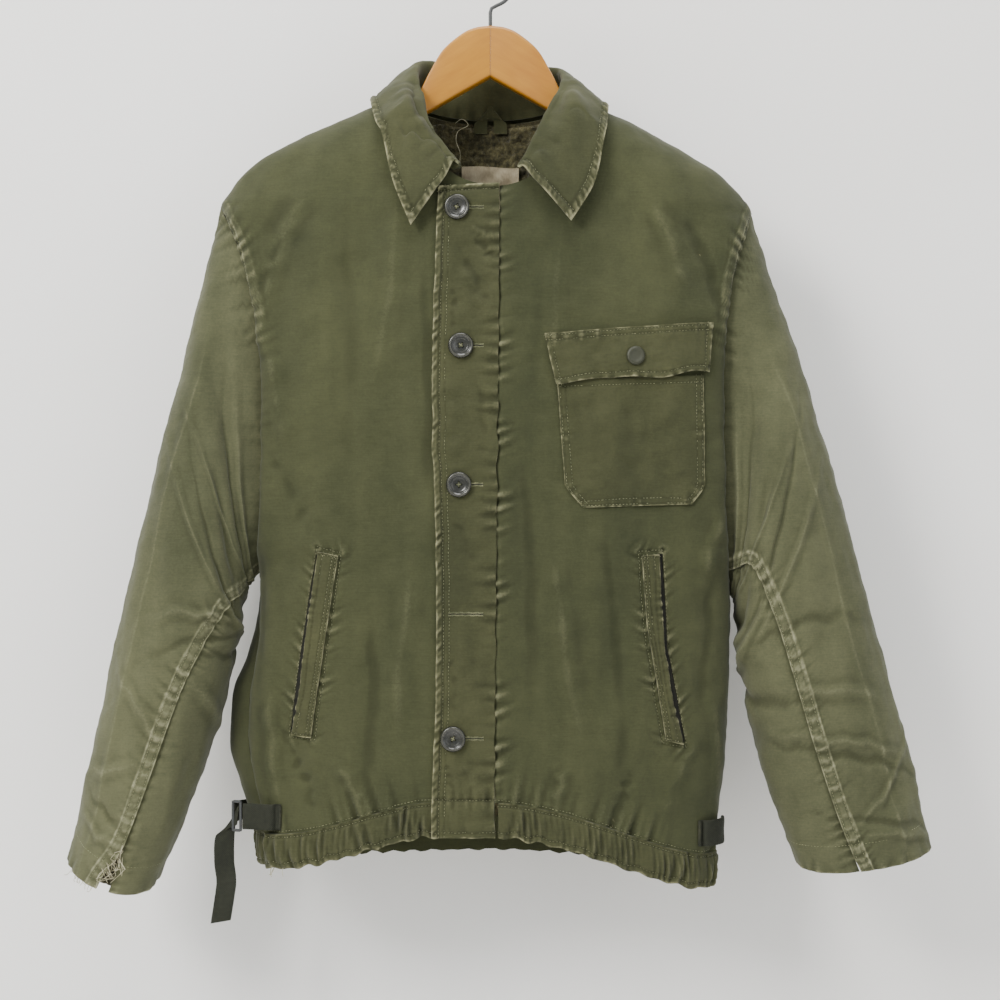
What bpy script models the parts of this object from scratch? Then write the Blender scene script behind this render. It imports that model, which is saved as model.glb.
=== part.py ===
"""A deck jacket hanging on a wooden hanger, built as its cut pieces.

The frame is in metres, +Z up. The jacket's front faces -Y, +X is the wearer's left.
The origin is the inside top of the hanger's hook, the point that holds everything up.
Right and left in names are the wearer's right and left.
"""

import math
from collections import namedtuple

import bmesh
import bpy
import numpy as np
from mathutils import Matrix, Vector
from mathutils.bvhtree import BVHTree

# Cloth and clearances
WALL = 0.0026
BAND_WALL = 0.0042
COLLAR_WALL = 0.0026
PATCH_WALL = 0.0016
WEBBING = 0.0018
SEAM_GAP = 0.0003
BAND_GAP = 0.0006
SEAT_GAP = 0.0005

# Colours as red, green, blue and alpha
OLIVE = (0.100, 0.105, 0.056, 1)
OLIVE_DARK = (0.030, 0.031, 0.022, 1)
PILE = (0.036, 0.033, 0.016, 1)
CREAM = (0.42, 0.38, 0.29, 1)
BUTTON_GREEN = (0.045, 0.045, 0.035, 1)
BEECH = (0.50, 0.27, 0.07, 1)
STEEL = (0.10, 0.10, 0.10, 1)

# Neck hole and closure
NECK_HALF_WIDTH = 0.078
NECK_SIDE_Z = -0.127
FRONT_NECK_Z = -0.2165
BACK_NECK_Z = -0.147
RIGHT_FRONT_START = -0.0045
LEFT_FRONT_START = 0.0076
CLOSURE_X = 0.0064
SPREAD_START_Z = -0.345

# Hem band
BAND_HEIGHT = 0.032
HEM_LEVEL = -0.845
GATHER_DEPTH = 0.0013
GATHER_SAMPLES = 4

TorsoRow = namedtuple(
    "TorsoRow",
    "height front_depth back_depth flatness front_roll_x front_roll_y back_roll_x"
    " back_roll_y seam_x seam_front_y seam_back_y",
)
# One row for each level of the body. Every figure is measured outwards from the middle of the
# jacket. The seam is the shoulder line, then the armhole, then the side seam.
RIGHT_BODY = [
    TorsoRow(-0.127, 0.046, 0.050, 0.55, 0.078, 0.026, 0.078, 0.028, 0.078, 0.0, 0.0),
    TorsoRow(-0.141, 0.049, 0.052, 0.55, 0.114, 0.027, 0.114, 0.029, 0.114, 0.0, 0.0),
    TorsoRow(-0.155, 0.052, 0.054, 0.56, 0.147, 0.029, 0.147, 0.030, 0.147, 0.0, 0.0),
    TorsoRow(-0.170, 0.054, 0.055, 0.57, 0.181, 0.030, 0.181, 0.030, 0.181, 0.0, 0.0),
    TorsoRow(-0.190, 0.056, 0.056, 0.58, 0.219, 0.031, 0.219, 0.031, 0.219, 0.0, 0.0),
    TorsoRow(-0.207, 0.058, 0.057, 0.60, 0.238, 0.032, 0.238, 0.032, 0.238, 0.0, 0.0),
    TorsoRow(-0.225, 0.059, 0.057, 0.62, 0.251, 0.033, 0.251, 0.033, 0.251, 0.0, 0.0),
    TorsoRow(-0.233, 0.060, 0.058, 0.63, 0.255, 0.034, 0.255, 0.034, 0.255, 0.0, 0.0),
    TorsoRow(-0.246, 0.060, 0.058, 0.64, 0.252, 0.035, 0.252, 0.035, 0.249, 0.013, 0.013),
    TorsoRow(-0.270, 0.061, 0.058, 0.66, 0.246, 0.038, 0.246, 0.038, 0.238, 0.024, 0.024),
    TorsoRow(-0.303, 0.062, 0.059, 0.68, 0.240, 0.042, 0.240, 0.042, 0.227, 0.030, 0.030),
    TorsoRow(-0.336, 0.063, 0.059, 0.70, 0.240, 0.045, 0.240, 0.044, 0.216, 0.030, 0.030),
    TorsoRow(-0.360, 0.064, 0.060, 0.71, 0.243, 0.046, 0.243, 0.044, 0.208, 0.027, 0.027),
    TorsoRow(-0.420, 0.066, 0.060, 0.72, 0.246, 0.046, 0.246, 0.044, 0.200, 0.022, 0.022),
    TorsoRow(-0.500, 0.067, 0.060, 0.73, 0.248, 0.046, 0.248, 0.044, 0.200, 0.022, 0.022),
    TorsoRow(-0.550, 0.067, 0.060, 0.74, 0.246, 0.044, 0.246, 0.042, 0.207, 0.015, 0.015),
    TorsoRow(-0.575, 0.067, 0.060, 0.75, 0.240, 0.040, 0.240, 0.040, 0.213, 0.0, 0.0),
    TorsoRow(-0.620, 0.067, 0.060, 0.76, 0.234, 0.038, 0.244, 0.034, 0.215, 0.003, -0.003),
    TorsoRow(-0.660, 0.066, 0.060, 0.77, 0.232, 0.036, 0.262, 0.026, 0.220, 0.009, -0.009),
    TorsoRow(-0.700, 0.065, 0.060, 0.78, 0.230, 0.036, 0.282, 0.018, 0.227, 0.014, -0.014),
    TorsoRow(-0.740, 0.064, 0.059, 0.78, 0.227, 0.036, 0.287, 0.015, 0.227, 0.017, -0.017),
    TorsoRow(-0.780, 0.063, 0.058, 0.79, 0.223, 0.037, 0.274, 0.015, 0.220, 0.020, -0.020),
    TorsoRow(-0.820, 0.062, 0.056, 0.80, 0.219, 0.038, 0.254, 0.018, 0.212, 0.022, -0.022),
    TorsoRow(-0.880, 0.060, 0.055, 0.80, 0.216, 0.038, 0.238, 0.020, 0.208, 0.022, -0.022),
]
LEFT_BODY = [
    TorsoRow(-0.127, 0.046, 0.050, 0.55, 0.078, 0.026, 0.078, 0.028, 0.078, 0.0, 0.0),
    TorsoRow(-0.141, 0.049, 0.052, 0.55, 0.104, 0.027, 0.104, 0.029, 0.104, 0.0, 0.0),
    TorsoRow(-0.155, 0.052, 0.054, 0.56, 0.135, 0.029, 0.135, 0.030, 0.135, 0.0, 0.0),
    TorsoRow(-0.170, 0.054, 0.055, 0.57, 0.162, 0.030, 0.162, 0.030, 0.162, 0.0, 0.0),
    TorsoRow(-0.190, 0.056, 0.056, 0.58, 0.197, 0.031, 0.197, 0.031, 0.197, 0.0, 0.0),
    TorsoRow(-0.207, 0.058, 0.057, 0.60, 0.2215, 0.032, 0.2215, 0.032, 0.2215, 0.0, 0.0),
    TorsoRow(-0.225, 0.059, 0.057, 0.62, 0.238, 0.033, 0.238, 0.033, 0.238, 0.0, 0.0),
    TorsoRow(-0.240, 0.060, 0.058, 0.63, 0.2467, 0.034, 0.2467, 0.034, 0.2467, 0.0, 0.0),
    TorsoRow(-0.253, 0.060, 0.058, 0.64, 0.247, 0.035, 0.247, 0.035, 0.243, 0.013, 0.013),
    TorsoRow(-0.275, 0.061, 0.058, 0.66, 0.243, 0.038, 0.243, 0.038, 0.235, 0.024, 0.024),
    TorsoRow(-0.308, 0.062, 0.059, 0.68, 0.240, 0.042, 0.240, 0.042, 0.225, 0.030, 0.030),
    TorsoRow(-0.343, 0.063, 0.059, 0.70, 0.242, 0.045, 0.242, 0.044, 0.216, 0.030, 0.030),
    TorsoRow(-0.370, 0.064, 0.060, 0.71, 0.246, 0.046, 0.246, 0.044, 0.210, 0.027, 0.027),
    TorsoRow(-0.430, 0.066, 0.060, 0.72, 0.250, 0.046, 0.250, 0.044, 0.205, 0.022, 0.022),
    TorsoRow(-0.510, 0.067, 0.060, 0.73, 0.253, 0.046, 0.253, 0.044, 0.205, 0.022, 0.022),
    TorsoRow(-0.562, 0.067, 0.060, 0.74, 0.251, 0.044, 0.253, 0.042, 0.212, 0.015, 0.015),
    TorsoRow(-0.590, 0.067, 0.060, 0.75, 0.246, 0.040, 0.250, 0.040, 0.219, 0.0, 0.0),
    TorsoRow(-0.640, 0.067, 0.060, 0.76, 0.240, 0.036, 0.246, 0.036, 0.224, 0.0, 0.0),
    TorsoRow(-0.700, 0.065, 0.060, 0.78, 0.234, 0.036, 0.240, 0.036, 0.224, 0.0, 0.0),
    TorsoRow(-0.760, 0.064, 0.059, 0.79, 0.228, 0.036, 0.234, 0.036, 0.220, 0.0, 0.0),
    TorsoRow(-0.820, 0.062, 0.057, 0.80, 0.220, 0.036, 0.224, 0.036, 0.213, 0.0, 0.0),
    TorsoRow(-0.900, 0.060, 0.055, 0.80, 0.216, 0.036, 0.218, 0.036, 0.212, 0.0, 0.0),
]

# Levels where the rows of a panel meet its seam, closest at the shoulder and the underarm.
SEAM_LEVELS = [-0.127, -0.134, -0.143, -0.154, -0.167, -0.182, -0.199, -0.216, -0.233, -0.246]
SEAM_LEVELS += [-0.264, -0.290, -0.325, -0.365, -0.410, -0.455, -0.500, -0.530, -0.548, -0.559]
SEAM_LEVELS += [-0.568, -0.576, -0.610, -0.655, -0.700, -0.745, -0.785, -0.825]
UNDERARM_DROP = {"right": 0.0, "left": 0.015}

HemRow = namedtuple("HemRow", "x height")
# The hem rides up at the closure and drops towards the sides.
FRONT_HEM = [
    HemRow(-0.230, -0.857),
    HemRow(-0.206, -0.857),
    HemRow(-0.176, -0.854),
    HemRow(-0.139, -0.845),
    HemRow(-0.102, -0.834),
    HemRow(-0.055, -0.824),
    HemRow(0.006, -0.824),
    HemRow(0.060, -0.833),
    HemRow(0.102, -0.846),
    HemRow(0.139, -0.859),
    HemRow(0.176, -0.871),
    HemRow(0.200, -0.876),
    HemRow(0.230, -0.876),
]
BACK_HEM = [
    HemRow(-0.230, -0.857),
    HemRow(-0.205, -0.857),
    HemRow(-0.120, -0.855),
    HemRow(0.000, -0.853),
    HemRow(0.120, -0.860),
    HemRow(0.200, -0.875),
    HemRow(0.230, -0.876),
]

SleeveRow = namedtuple(
    "SleeveRow", "share outer_x outer_z inner_x inner_z half_depth forward seam_turn"
)
# Rings down the sleeve, from the armhole at 0 to the cuff at 1. seam_turn is where the
# felled inner seam lies, as a share of the half turn from the outer fold to the inner one.
RIGHT_SLEEVE = [
    SleeveRow(0.00, 0.2550, -0.233, 0.215, -0.575, 0.022, 0.000, 0.97),
    SleeveRow(0.10, 0.2650, -0.272, 0.219, -0.580, 0.036, 0.000, 0.96),
    SleeveRow(0.22, 0.2770, -0.322, 0.225, -0.588, 0.046, 0.000, 0.95),
    SleeveRow(0.36, 0.2920, -0.388, 0.231, -0.600, 0.051, 0.002, 0.92),
    SleeveRow(0.50, 0.3130, -0.470, 0.235, -0.622, 0.054, 0.004, 0.80),
    SleeveRow(0.62, 0.3360, -0.565, 0.240, -0.656, 0.056, 0.006, 0.70),
    SleeveRow(0.74, 0.3580, -0.668, 0.253, -0.708, 0.057, 0.008, 0.61),
    SleeveRow(0.87, 0.3800, -0.764, 0.280, -0.792, 0.056, 0.009, 0.555),
    SleeveRow(1.00, 0.3975, -0.845, 0.314, -0.870, 0.052, 0.010, 0.51),
]
LEFT_SLEEVE = [
    SleeveRow(0.00, 0.2467, -0.240, 0.219, -0.590, 0.022, 0.000, 0.93),
    SleeveRow(0.10, 0.2580, -0.276, 0.223, -0.594, 0.036, 0.000, 0.88),
    SleeveRow(0.22, 0.2740, -0.324, 0.228, -0.602, 0.046, 0.000, 0.80),
    SleeveRow(0.36, 0.2940, -0.385, 0.232, -0.614, 0.050, 0.002, 0.72),
    SleeveRow(0.50, 0.3200, -0.470, 0.234, -0.638, 0.050, 0.004, 0.67),
    SleeveRow(0.62, 0.3460, -0.565, 0.238, -0.680, 0.048, 0.006, 0.62),
    SleeveRow(0.74, 0.3730, -0.668, 0.248, -0.740, 0.045, 0.008, 0.59),
    SleeveRow(0.87, 0.3970, -0.757, 0.269, -0.800, 0.041, 0.009, 0.58),
    SleeveRow(1.00, 0.4165, -0.838, 0.291, -0.856, 0.036, 0.010, 0.55),
]
OUTER_SEAM_TURN = -0.12
SLEEVE_HEAD_SHARE = 0.20
SLEEVE_STANDOFF = 0.0012
RIGHT_CUFF_DIP = 0.016
LEFT_CUFF_DIP = 0.010

CollarRow = namedtuple(
    "CollarRow", "face neck_share roll_x roll_y roll_z edge_x edge_y edge_z"
)
# Stations round the neck, from the right front end over the back to the left front end.
COLLAR = [
    CollarRow("right_front", 0.30, -0.0286, -0.0650, -0.2030, -0.0727, -0.0690, -0.2600),
    CollarRow("right_front", 0.50, -0.0440, -0.0560, -0.1815, -0.0880, -0.0660, -0.2230),
    CollarRow("right_front", 0.72, -0.0588, -0.0410, -0.1590, -0.0965, -0.0590, -0.1920),
    CollarRow("right_front", 0.90, -0.0640, -0.0220, -0.1330, -0.1060, -0.0460, -0.1620),
    CollarRow("right_back", 0.985, -0.0700, 0.0050, -0.1040, -0.1130, -0.0080, -0.1350),
    CollarRow("right_back", 0.72, -0.0640, 0.0330, -0.0890, -0.1080, 0.0520, -0.1330),
    CollarRow("right_back", 0.36, -0.0350, 0.0500, -0.0930, -0.0620, 0.0800, -0.1600),
    CollarRow("left_back", 0.00, 0.0000, 0.0540, -0.0960, 0.0000, 0.0860, -0.1680),
    CollarRow("left_back", 0.36, 0.0350, 0.0500, -0.0950, 0.0620, 0.0800, -0.1620),
    CollarRow("left_back", 0.72, 0.0640, 0.0330, -0.0960, 0.1060, 0.0520, -0.1420),
    CollarRow("left_back", 0.985, 0.0695, 0.0050, -0.1090, 0.1110, -0.0080, -0.1440),
    CollarRow("left_front", 0.90, 0.0650, -0.0220, -0.1270, 0.1080, -0.0460, -0.1660),
    CollarRow("left_front", 0.72, 0.0540, -0.0410, -0.1500, 0.1030, -0.0590, -0.1920),
    CollarRow("left_front", 0.50, 0.0405, -0.0560, -0.1790, 0.0950, -0.0660, -0.2230),
    CollarRow("left_front", 0.32, 0.0262, -0.0660, -0.2060, 0.0745, -0.0700, -0.2560),
]
COLLAR_FOLD_RADIUS = 0.0036
COLLAR_LIFT = 0.0038
COLLAR_CLEARANCE = 0.0060

FoldRow = namedtuple("FoldRow", "x_top z_top x_low z_low width rise")
# The broad drapes of the fronts and the back: a line down the cloth, how wide the fold is to
# each side of it, and how far it stands out (or sinks, when negative).
FRONT_FOLDS = [
    FoldRow(-0.110, -0.180, -0.122, -0.360, 0.022, -0.0040),
    FoldRow(-0.150, -0.200, -0.158, -0.480, 0.028, 0.0035),
    FoldRow(-0.206, -0.240, -0.190, -0.380, 0.020, -0.0040),
    FoldRow(-0.100, -0.360, -0.090, -0.700, 0.032, -0.0035),
    FoldRow(-0.160, -0.560, -0.120, -0.790, 0.032, 0.0040),
    FoldRow(-0.190, -0.720, -0.200, -0.840, 0.020, -0.0045),
    FoldRow(0.112, -0.190, 0.120, -0.310, 0.022, -0.0035),
    FoldRow(0.200, -0.240, 0.196, -0.330, 0.020, -0.0040),
    FoldRow(0.060, -0.360, 0.050, -0.640, 0.028, -0.0030),
    FoldRow(0.078, -0.640, 0.120, -0.830, 0.024, -0.0045),
    FoldRow(0.150, -0.620, 0.095, -0.790, 0.026, 0.0040),
    FoldRow(0.150, -0.740, 0.175, -0.840, 0.022, -0.0040),
]
BACK_FOLDS = [
    FoldRow(-0.150, -0.250, -0.120, -0.700, 0.030, 0.0050),
    FoldRow(-0.060, -0.300, -0.070, -0.780, 0.028, -0.0045),
    FoldRow(0.040, -0.220, 0.050, -0.620, 0.030, 0.0040),
    FoldRow(0.130, -0.260, 0.110, -0.760, 0.030, -0.0050),
    FoldRow(0.190, -0.420, 0.160, -0.820, 0.026, 0.0045),
]
SleeveFoldRow = namedtuple("SleeveFoldRow", "share turn slant length width rise")
# Creases of a sleeve: where they lie down and round the sleeve, and how far they stand out.
RIGHT_SLEEVE_FOLDS = [
    SleeveFoldRow(0.40, 0.86, 0.10, 0.30, 0.045, -0.0080),
    SleeveFoldRow(0.55, 0.80, -0.06, 0.22, 0.040, 0.0060),
    SleeveFoldRow(0.66, 0.50, 0.08, 0.30, 0.040, -0.0035),
    SleeveFoldRow(0.90, 0.42, -0.05, 0.35, 0.035, -0.0045),
    SleeveFoldRow(0.50, 1.40, 0.06, 0.40, 0.045, 0.0050),
    SleeveFoldRow(0.62, 1.45, -0.06, 0.35, 0.040, -0.0050),
]
LEFT_SLEEVE_FOLDS = [
    SleeveFoldRow(0.42, 0.84, 0.10, 0.30, 0.045, -0.0090),
    SleeveFoldRow(0.56, 0.86, -0.06, 0.24, 0.040, 0.0070),
    SleeveFoldRow(0.70, 0.74, 0.05, 0.30, 0.035, -0.0045),
    SleeveFoldRow(0.86, 0.45, -0.09, 0.40, 0.030, -0.0040),
    SleeveFoldRow(0.93, 0.30, 0.05, 0.30, 0.026, 0.0030),
    SleeveFoldRow(0.50, 1.40, 0.06, 0.40, 0.045, 0.0050),
    SleeveFoldRow(0.64, 1.45, -0.06, 0.35, 0.040, -0.0050),
]


class Table:
    """A table of rows read at any value of its first column, along smooth monotone curves."""

    def __init__(self, rows, samples=600):
        data = np.array([list(row) for row in rows], float)
        data = data[np.argsort(data[:, 0])]
        self.columns = {name: i for i, name in enumerate(rows[0]._fields)}
        self.keys = np.linspace(data[0, 0], data[-1, 0], samples)
        self.values = [self.smooth(data[:, 0], column) for column in data.T]

    def smooth(self, keys, column):
        steps = np.diff(keys)
        slopes = np.diff(column) / steps
        tangents = np.zeros(len(keys))
        same_way = slopes[1:] * slopes[:-1] > 0
        total = np.where(same_way, slopes[1:] + slopes[:-1], 1.0)
        tangents[1:-1] = np.where(same_way, 2 * slopes[1:] * slopes[:-1] / total, 0.0)
        tangents[0], tangents[-1] = slopes[0], slopes[-1]
        cell = np.clip(np.searchsorted(keys, self.keys) - 1, 0, len(steps) - 1)
        u = (self.keys - keys[cell]) / steps[cell]
        rise = u * u * (3 - 2 * u)
        return (
            column[cell] * (1 - rise)
            + column[cell + 1] * rise
            + tangents[cell] * steps[cell] * u * (1 - u) ** 2
            - tangents[cell + 1] * steps[cell] * u * u * (1 - u)
        )

    def at(self, name, key):
        return np.interp(key, self.keys, self.values[self.columns[name]])


BODY = {"right": Table(RIGHT_BODY), "left": Table(LEFT_BODY)}
SLEEVE = {"right": Table(RIGHT_SLEEVE), "left": Table(LEFT_SLEEVE)}
HEM = {"front": Table(FRONT_HEM), "back": Table(BACK_HEM)}
SIGN = {"right": -1.0, "left": 1.0}
FACING = {"front": -1.0, "back": 1.0}
START = {
    ("right", "front"): RIGHT_FRONT_START,
    ("left", "front"): LEFT_FRONT_START,
    ("right", "back"): 0.0,
    ("left", "back"): 0.0,
}
SLEEVE_FOLDS = {"right": RIGHT_SLEEVE_FOLDS, "left": LEFT_SLEEVE_FOLDS}
CUFF_DIP = {"right": RIGHT_CUFF_DIP, "left": LEFT_CUFF_DIP}


def smooth_step(low, high, value):
    share = np.clip((value - low) / (high - low), 0, 1)
    return share * share * (3 - 2 * share)


def bezier(share, first, second, third, fourth):
    rest = 1 - share
    return (
        rest**3 * first
        + 3 * rest**2 * share * second
        + 3 * rest * share**2 * third
        + share**3 * fourth
    )


def section(side, face, share, height):
    """x and y of the body's cross-section at a height, from the middle (0) to the seam (1)."""
    body = BODY[side]
    start = START[side, face]
    depth = body.at(face + "_depth", height)
    roll_x = body.at(face + "_roll_x", height)
    roll_y = body.at(face + "_roll_y", height)
    seam_x = body.at("seam_x", height)
    seam_y = body.at(f"seam_{face}_y", height)
    flatness = body.at("flatness", height)
    x = bezier(share, start, start + (roll_x - start) * flatness, roll_x, seam_x)
    y = bezier(share, depth, depth, roll_y, seam_y)
    return SIGN[side] * x, FACING[face] * y


def share_at_x(side, face, x, height):
    """The share across the section where it is at x, by bisection in its rising stretch."""
    wanted = np.asarray(x) * SIGN[side]
    low = np.zeros_like(wanted * height)
    high = low + 1.0
    peak = low
    for guess in np.linspace(0.60, 1.0, 17):
        here = section(side, face, guess + low * 0, height)[0] * SIGN[side]
        best = section(side, face, peak, height)[0] * SIGN[side]
        peak = np.where(here > best, guess, peak)
    high = peak
    for _ in range(36):
        middle = (low + high) / 2
        short = section(side, face, middle, height)[0] * SIGN[side] < wanted
        low = np.where(short, middle, low)
        high = np.where(short, high, middle)
    return (low + high) / 2


def fold_rise(folds, x, z):
    """How far the drapes in a table lift the cloth at x and z."""
    total = np.zeros_like(x * z)
    for fold in folds:
        along_x, along_z = fold.x_low - fold.x_top, fold.z_low - fold.z_top
        length = math.hypot(along_x, along_z)
        share = ((x - fold.x_top) * along_x + (z - fold.z_top) * along_z) / length**2
        away = ((x - fold.x_top) * along_z - (z - fold.z_top) * along_x) / length
        taper = smooth_step(-0.12, 0.25, share) * (1 - smooth_step(0.72, 1.12, share))
        total = total + fold.rise * taper * np.exp(-((away / fold.width) ** 2))
    return total


def hem_height(side, face, share):
    """The height of the hem at a share across the section."""
    x, _ = section(side, face, share, HEM_LEVEL)
    return HEM[face].at("height", x)


def neckline(side, face, share):
    """x and z of the neck seam, from the middle (0) to the shoulder (1)."""
    middle_z = FRONT_NECK_Z if face == "front" else BACK_NECK_Z
    start = START[side, face]
    x = start + (NECK_HALF_WIDTH - start) * np.sin(share * math.pi / 2)
    z = NECK_SIDE_Z + (middle_z - NECK_SIDE_Z) * np.cos(share * math.pi / 2)
    return SIGN[side] * x, z


def body_surface(side, face, share, down, top_z=None, low_z=None):
    """Points of a body panel: share across it, and down from the neckline (0) to the band (1)."""
    neck_x, neck_z = neckline(side, face, share)
    neck_share = np.where(share > 0.999, 1.0, share_at_x(side, face, neck_x, neck_z))
    low = hem_height(side, face, share) + BAND_HEIGHT + BAND_GAP if low_z is None else low_z
    high = neck_z if top_z is None else top_z
    z = high + (low - high) * down
    spread = smooth_step(0, 1, (z - neck_z) / (SPREAD_START_Z - neck_z))
    across = neck_share + (share - neck_share) * spread
    x, y = section(side, face, across, z)
    points = np.stack([x, y, z], axis=-1)
    folds = FRONT_FOLDS if face == "front" else BACK_FOLDS
    calm = 1 - smooth_step(0.80, 0.99, across)
    points[..., 1] += FACING[face] * fold_rise(folds, x, z) * calm
    if (side, face) == ("left", "front"):
        edge = np.exp(-(((x - LEFT_FRONT_START) / 0.018) ** 2))
        points[..., 1] -= PLACKET_TOP * edge * smooth_step(0, 0.03, high - z + 0.004)
    return points


class Built:
    """The pieces built so far, met by rays, so that what lies on them is made from them."""

    def __init__(self, *names):
        points, faces = [], []
        for name in names:
            thing = bpy.data.objects[name]
            start = len(points)
            points += [thing.matrix_world @ v.co for v in thing.data.vertices]
            faces += [[start + i for i in face.vertices] for face in thing.data.polygons]
        self.tree = BVHTree.FromPolygons(points, faces)

    def met(self, start, way):
        """Where a ray first meets a piece, or None."""
        return self.tree.ray_cast(Vector(start), Vector(way))[0]


def panel_point(built, x, z, lift, face="front"):
    """The points at x and z on a face of the body, moved out by lift, and the way out there."""
    facing = FACING[face]
    x, z = np.broadcast_arrays(np.asarray(x, float), np.asarray(z, float))
    lift = np.broadcast_to(lift, x.shape)
    step = 0.006
    points, outs = np.zeros(x.shape + (3,)), np.zeros(x.shape + (3,))

    def y_at(px, pz, spare):
        hit = built.met((px, facing * 0.5, pz), (0, -facing, 0))
        return hit.y if hit is not None and abs(hit.y - spare) < 0.02 else spare

    for place in np.ndindex(x.shape):
        px, pz = x[place], z[place]
        middle = built.met((px, facing * 0.5, pz), (0, -facing, 0)).y
        slope_x = y_at(px + step, pz, middle) - y_at(px - step, pz, middle)
        slope_z = y_at(px, pz + step, middle) - y_at(px, pz - step, middle)
        out = Vector((-facing * slope_x / step / 2, facing, -facing * slope_z / step / 2))
        out = out.normalized()
        outs[place] = out
        points[place] = Vector((px, middle, pz)) + out * lift[place]
    return points, outs


def normals_of(grid):
    """The unit normal at each point of a grid of points."""
    along = np.gradient(grid, axis=0)
    down = np.gradient(grid, axis=1)
    normal = np.cross(along, down)
    length = np.linalg.norm(normal, axis=-1, keepdims=True)
    return normal / np.maximum(length, 1e-12)


def clear_scene():
    for thing in list(bpy.data.objects):
        bpy.data.objects.remove(thing, do_unlink=True)


def finish_of(name, colour, roughness=0.85, metallic=0.0):
    made = bpy.data.materials.get(name) or bpy.data.materials.new(name)
    made.use_nodes = True
    shader = made.node_tree.nodes["Principled BSDF"]
    shader.inputs["Base Color"].default_value = colour
    shader.inputs["Roughness"].default_value = roughness
    shader.inputs["Metallic"].default_value = metallic
    made.diffuse_color = colour
    return made


def add_object(name, points, faces, finish, origin=None):
    """A named object whose mesh has these points and faces, with its normals made to agree."""
    mesh = bpy.data.meshes.new(name)
    origin = Vector(origin) if origin is not None else Vector((0, 0, 0))
    mesh.from_pydata([tuple(Vector(p) - origin) for p in points], [], faces)
    shaped = bmesh.new()
    shaped.from_mesh(mesh)
    bmesh.ops.remove_doubles(shaped, verts=shaped.verts, dist=1e-7)
    bmesh.ops.recalc_face_normals(shaped, faces=shaped.faces)
    if shaped.calc_volume(signed=True) < 0:
        bmesh.ops.reverse_faces(shaped, faces=shaped.faces)
    shaped.to_mesh(mesh)
    shaped.free()
    mesh.shade_smooth()
    mesh.set_sharp_from_angle(angle=math.radians(40))
    made = bpy.data.objects.new(name, mesh)
    made.location = origin
    made.data.materials.append(finish)
    bpy.context.scene.collection.objects.link(made)
    return made


def wall(name, outer, inner, finish, closed=False):
    """A solid between two grids of points; closed joins the first and last columns."""
    columns, rows = outer.shape[:2]
    count = columns * rows
    points = np.concatenate([outer.reshape(-1, 3), inner.reshape(-1, 3)])
    spans = columns if closed else columns - 1

    def at(i, k, layer):
        return layer * count + (i % columns) * rows + k

    faces = []
    for i in range(spans):
        for k in range(rows - 1):
            faces.append((at(i, k, 0), at(i, k + 1, 0), at(i + 1, k + 1, 0), at(i + 1, k, 0)))
            faces.append((at(i, k, 1), at(i + 1, k, 1), at(i + 1, k + 1, 1), at(i, k + 1, 1)))
        for k in (0, rows - 1):
            faces.append((at(i, k, 0), at(i + 1, k, 0), at(i + 1, k, 1), at(i, k, 1)))
    if not closed:
        for i in (0, columns - 1):
            for k in range(rows - 1):
                faces.append((at(i, k, 0), at(i, k, 1), at(i, k + 1, 1), at(i, k + 1, 0)))
    return add_object(name, points, faces, finish)


def unit(vectors):
    return vectors / np.maximum(np.linalg.norm(vectors, axis=-1, keepdims=True), 1e-12)


def panel_offsets(grid, seams, low_row=True):
    """Unit vectors out of a panel, square to its seams so that neighbours share one cut."""
    out = outward(grid) * normals_of(grid)
    for column in seams:
        out[column, :, 1] = 0
    if low_row:
        out[:, -1, 2] = 0
    return unit(out)


def outward(grid, centre=(0.0, 0.0)):
    """1 or -1: the sign that makes the grid's normals point away from the middle of the body."""
    normal = normals_of(grid)
    away = grid[..., :2] - np.array(centre)
    return 1.0 if (normal[..., :2] * away).sum() > 0 else -1.0


def even_shares(side, face, count, level=-0.500):
    """Shares that space the columns of a panel evenly round the body."""
    share = np.linspace(0, 1, 400)
    x, y = section(side, face, share, level + 0 * share)
    length = np.concatenate([[0], np.cumsum(np.hypot(np.diff(x), np.diff(y)))])
    return np.interp(np.linspace(0, length[-1], count), length, share)


def row_shares(side):
    """Shares down a panel, from a list of levels of its seam."""
    top, low = SEAM_LEVELS[0], SEAM_LEVELS[-1]
    levels = np.array(SEAM_LEVELS)
    drop = UNDERARM_DROP[side] * np.interp(levels, [-0.576, -0.246], [1.0, 0.4])
    drop = np.where(levels > -0.200, 0, np.where(levels < -0.620, 0, drop))
    return (top - (levels - drop)) / (top - low)


def build_body(olive):
    for side, columns in (("right", 13), ("left", 13)):
        shares = even_shares(side, "front", columns)
        share, down = np.meshgrid(shares, row_shares(side), indexing="ij")
        grid = body_surface(side, "front", share, down)
        grid[..., 1] -= SEAM_GAP / 2
        out = panel_offsets(grid, seams=[-1])
        wall(f"front_{side}", grid, grid - out * WALL, olive)
    halves = []
    for side in ("right", "left"):
        shares = even_shares(side, "back", 10)
        share, down = np.meshgrid(shares, row_shares(side), indexing="ij")
        halves.append(body_surface(side, "back", share, down))
    grid = np.concatenate([halves[0][::-1], halves[1][1:]])
    grid[..., 1] += SEAM_GAP / 2
    out = panel_offsets(grid, seams=[0, -1])
    wall("back", grid, grid - out * WALL, olive)


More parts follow.
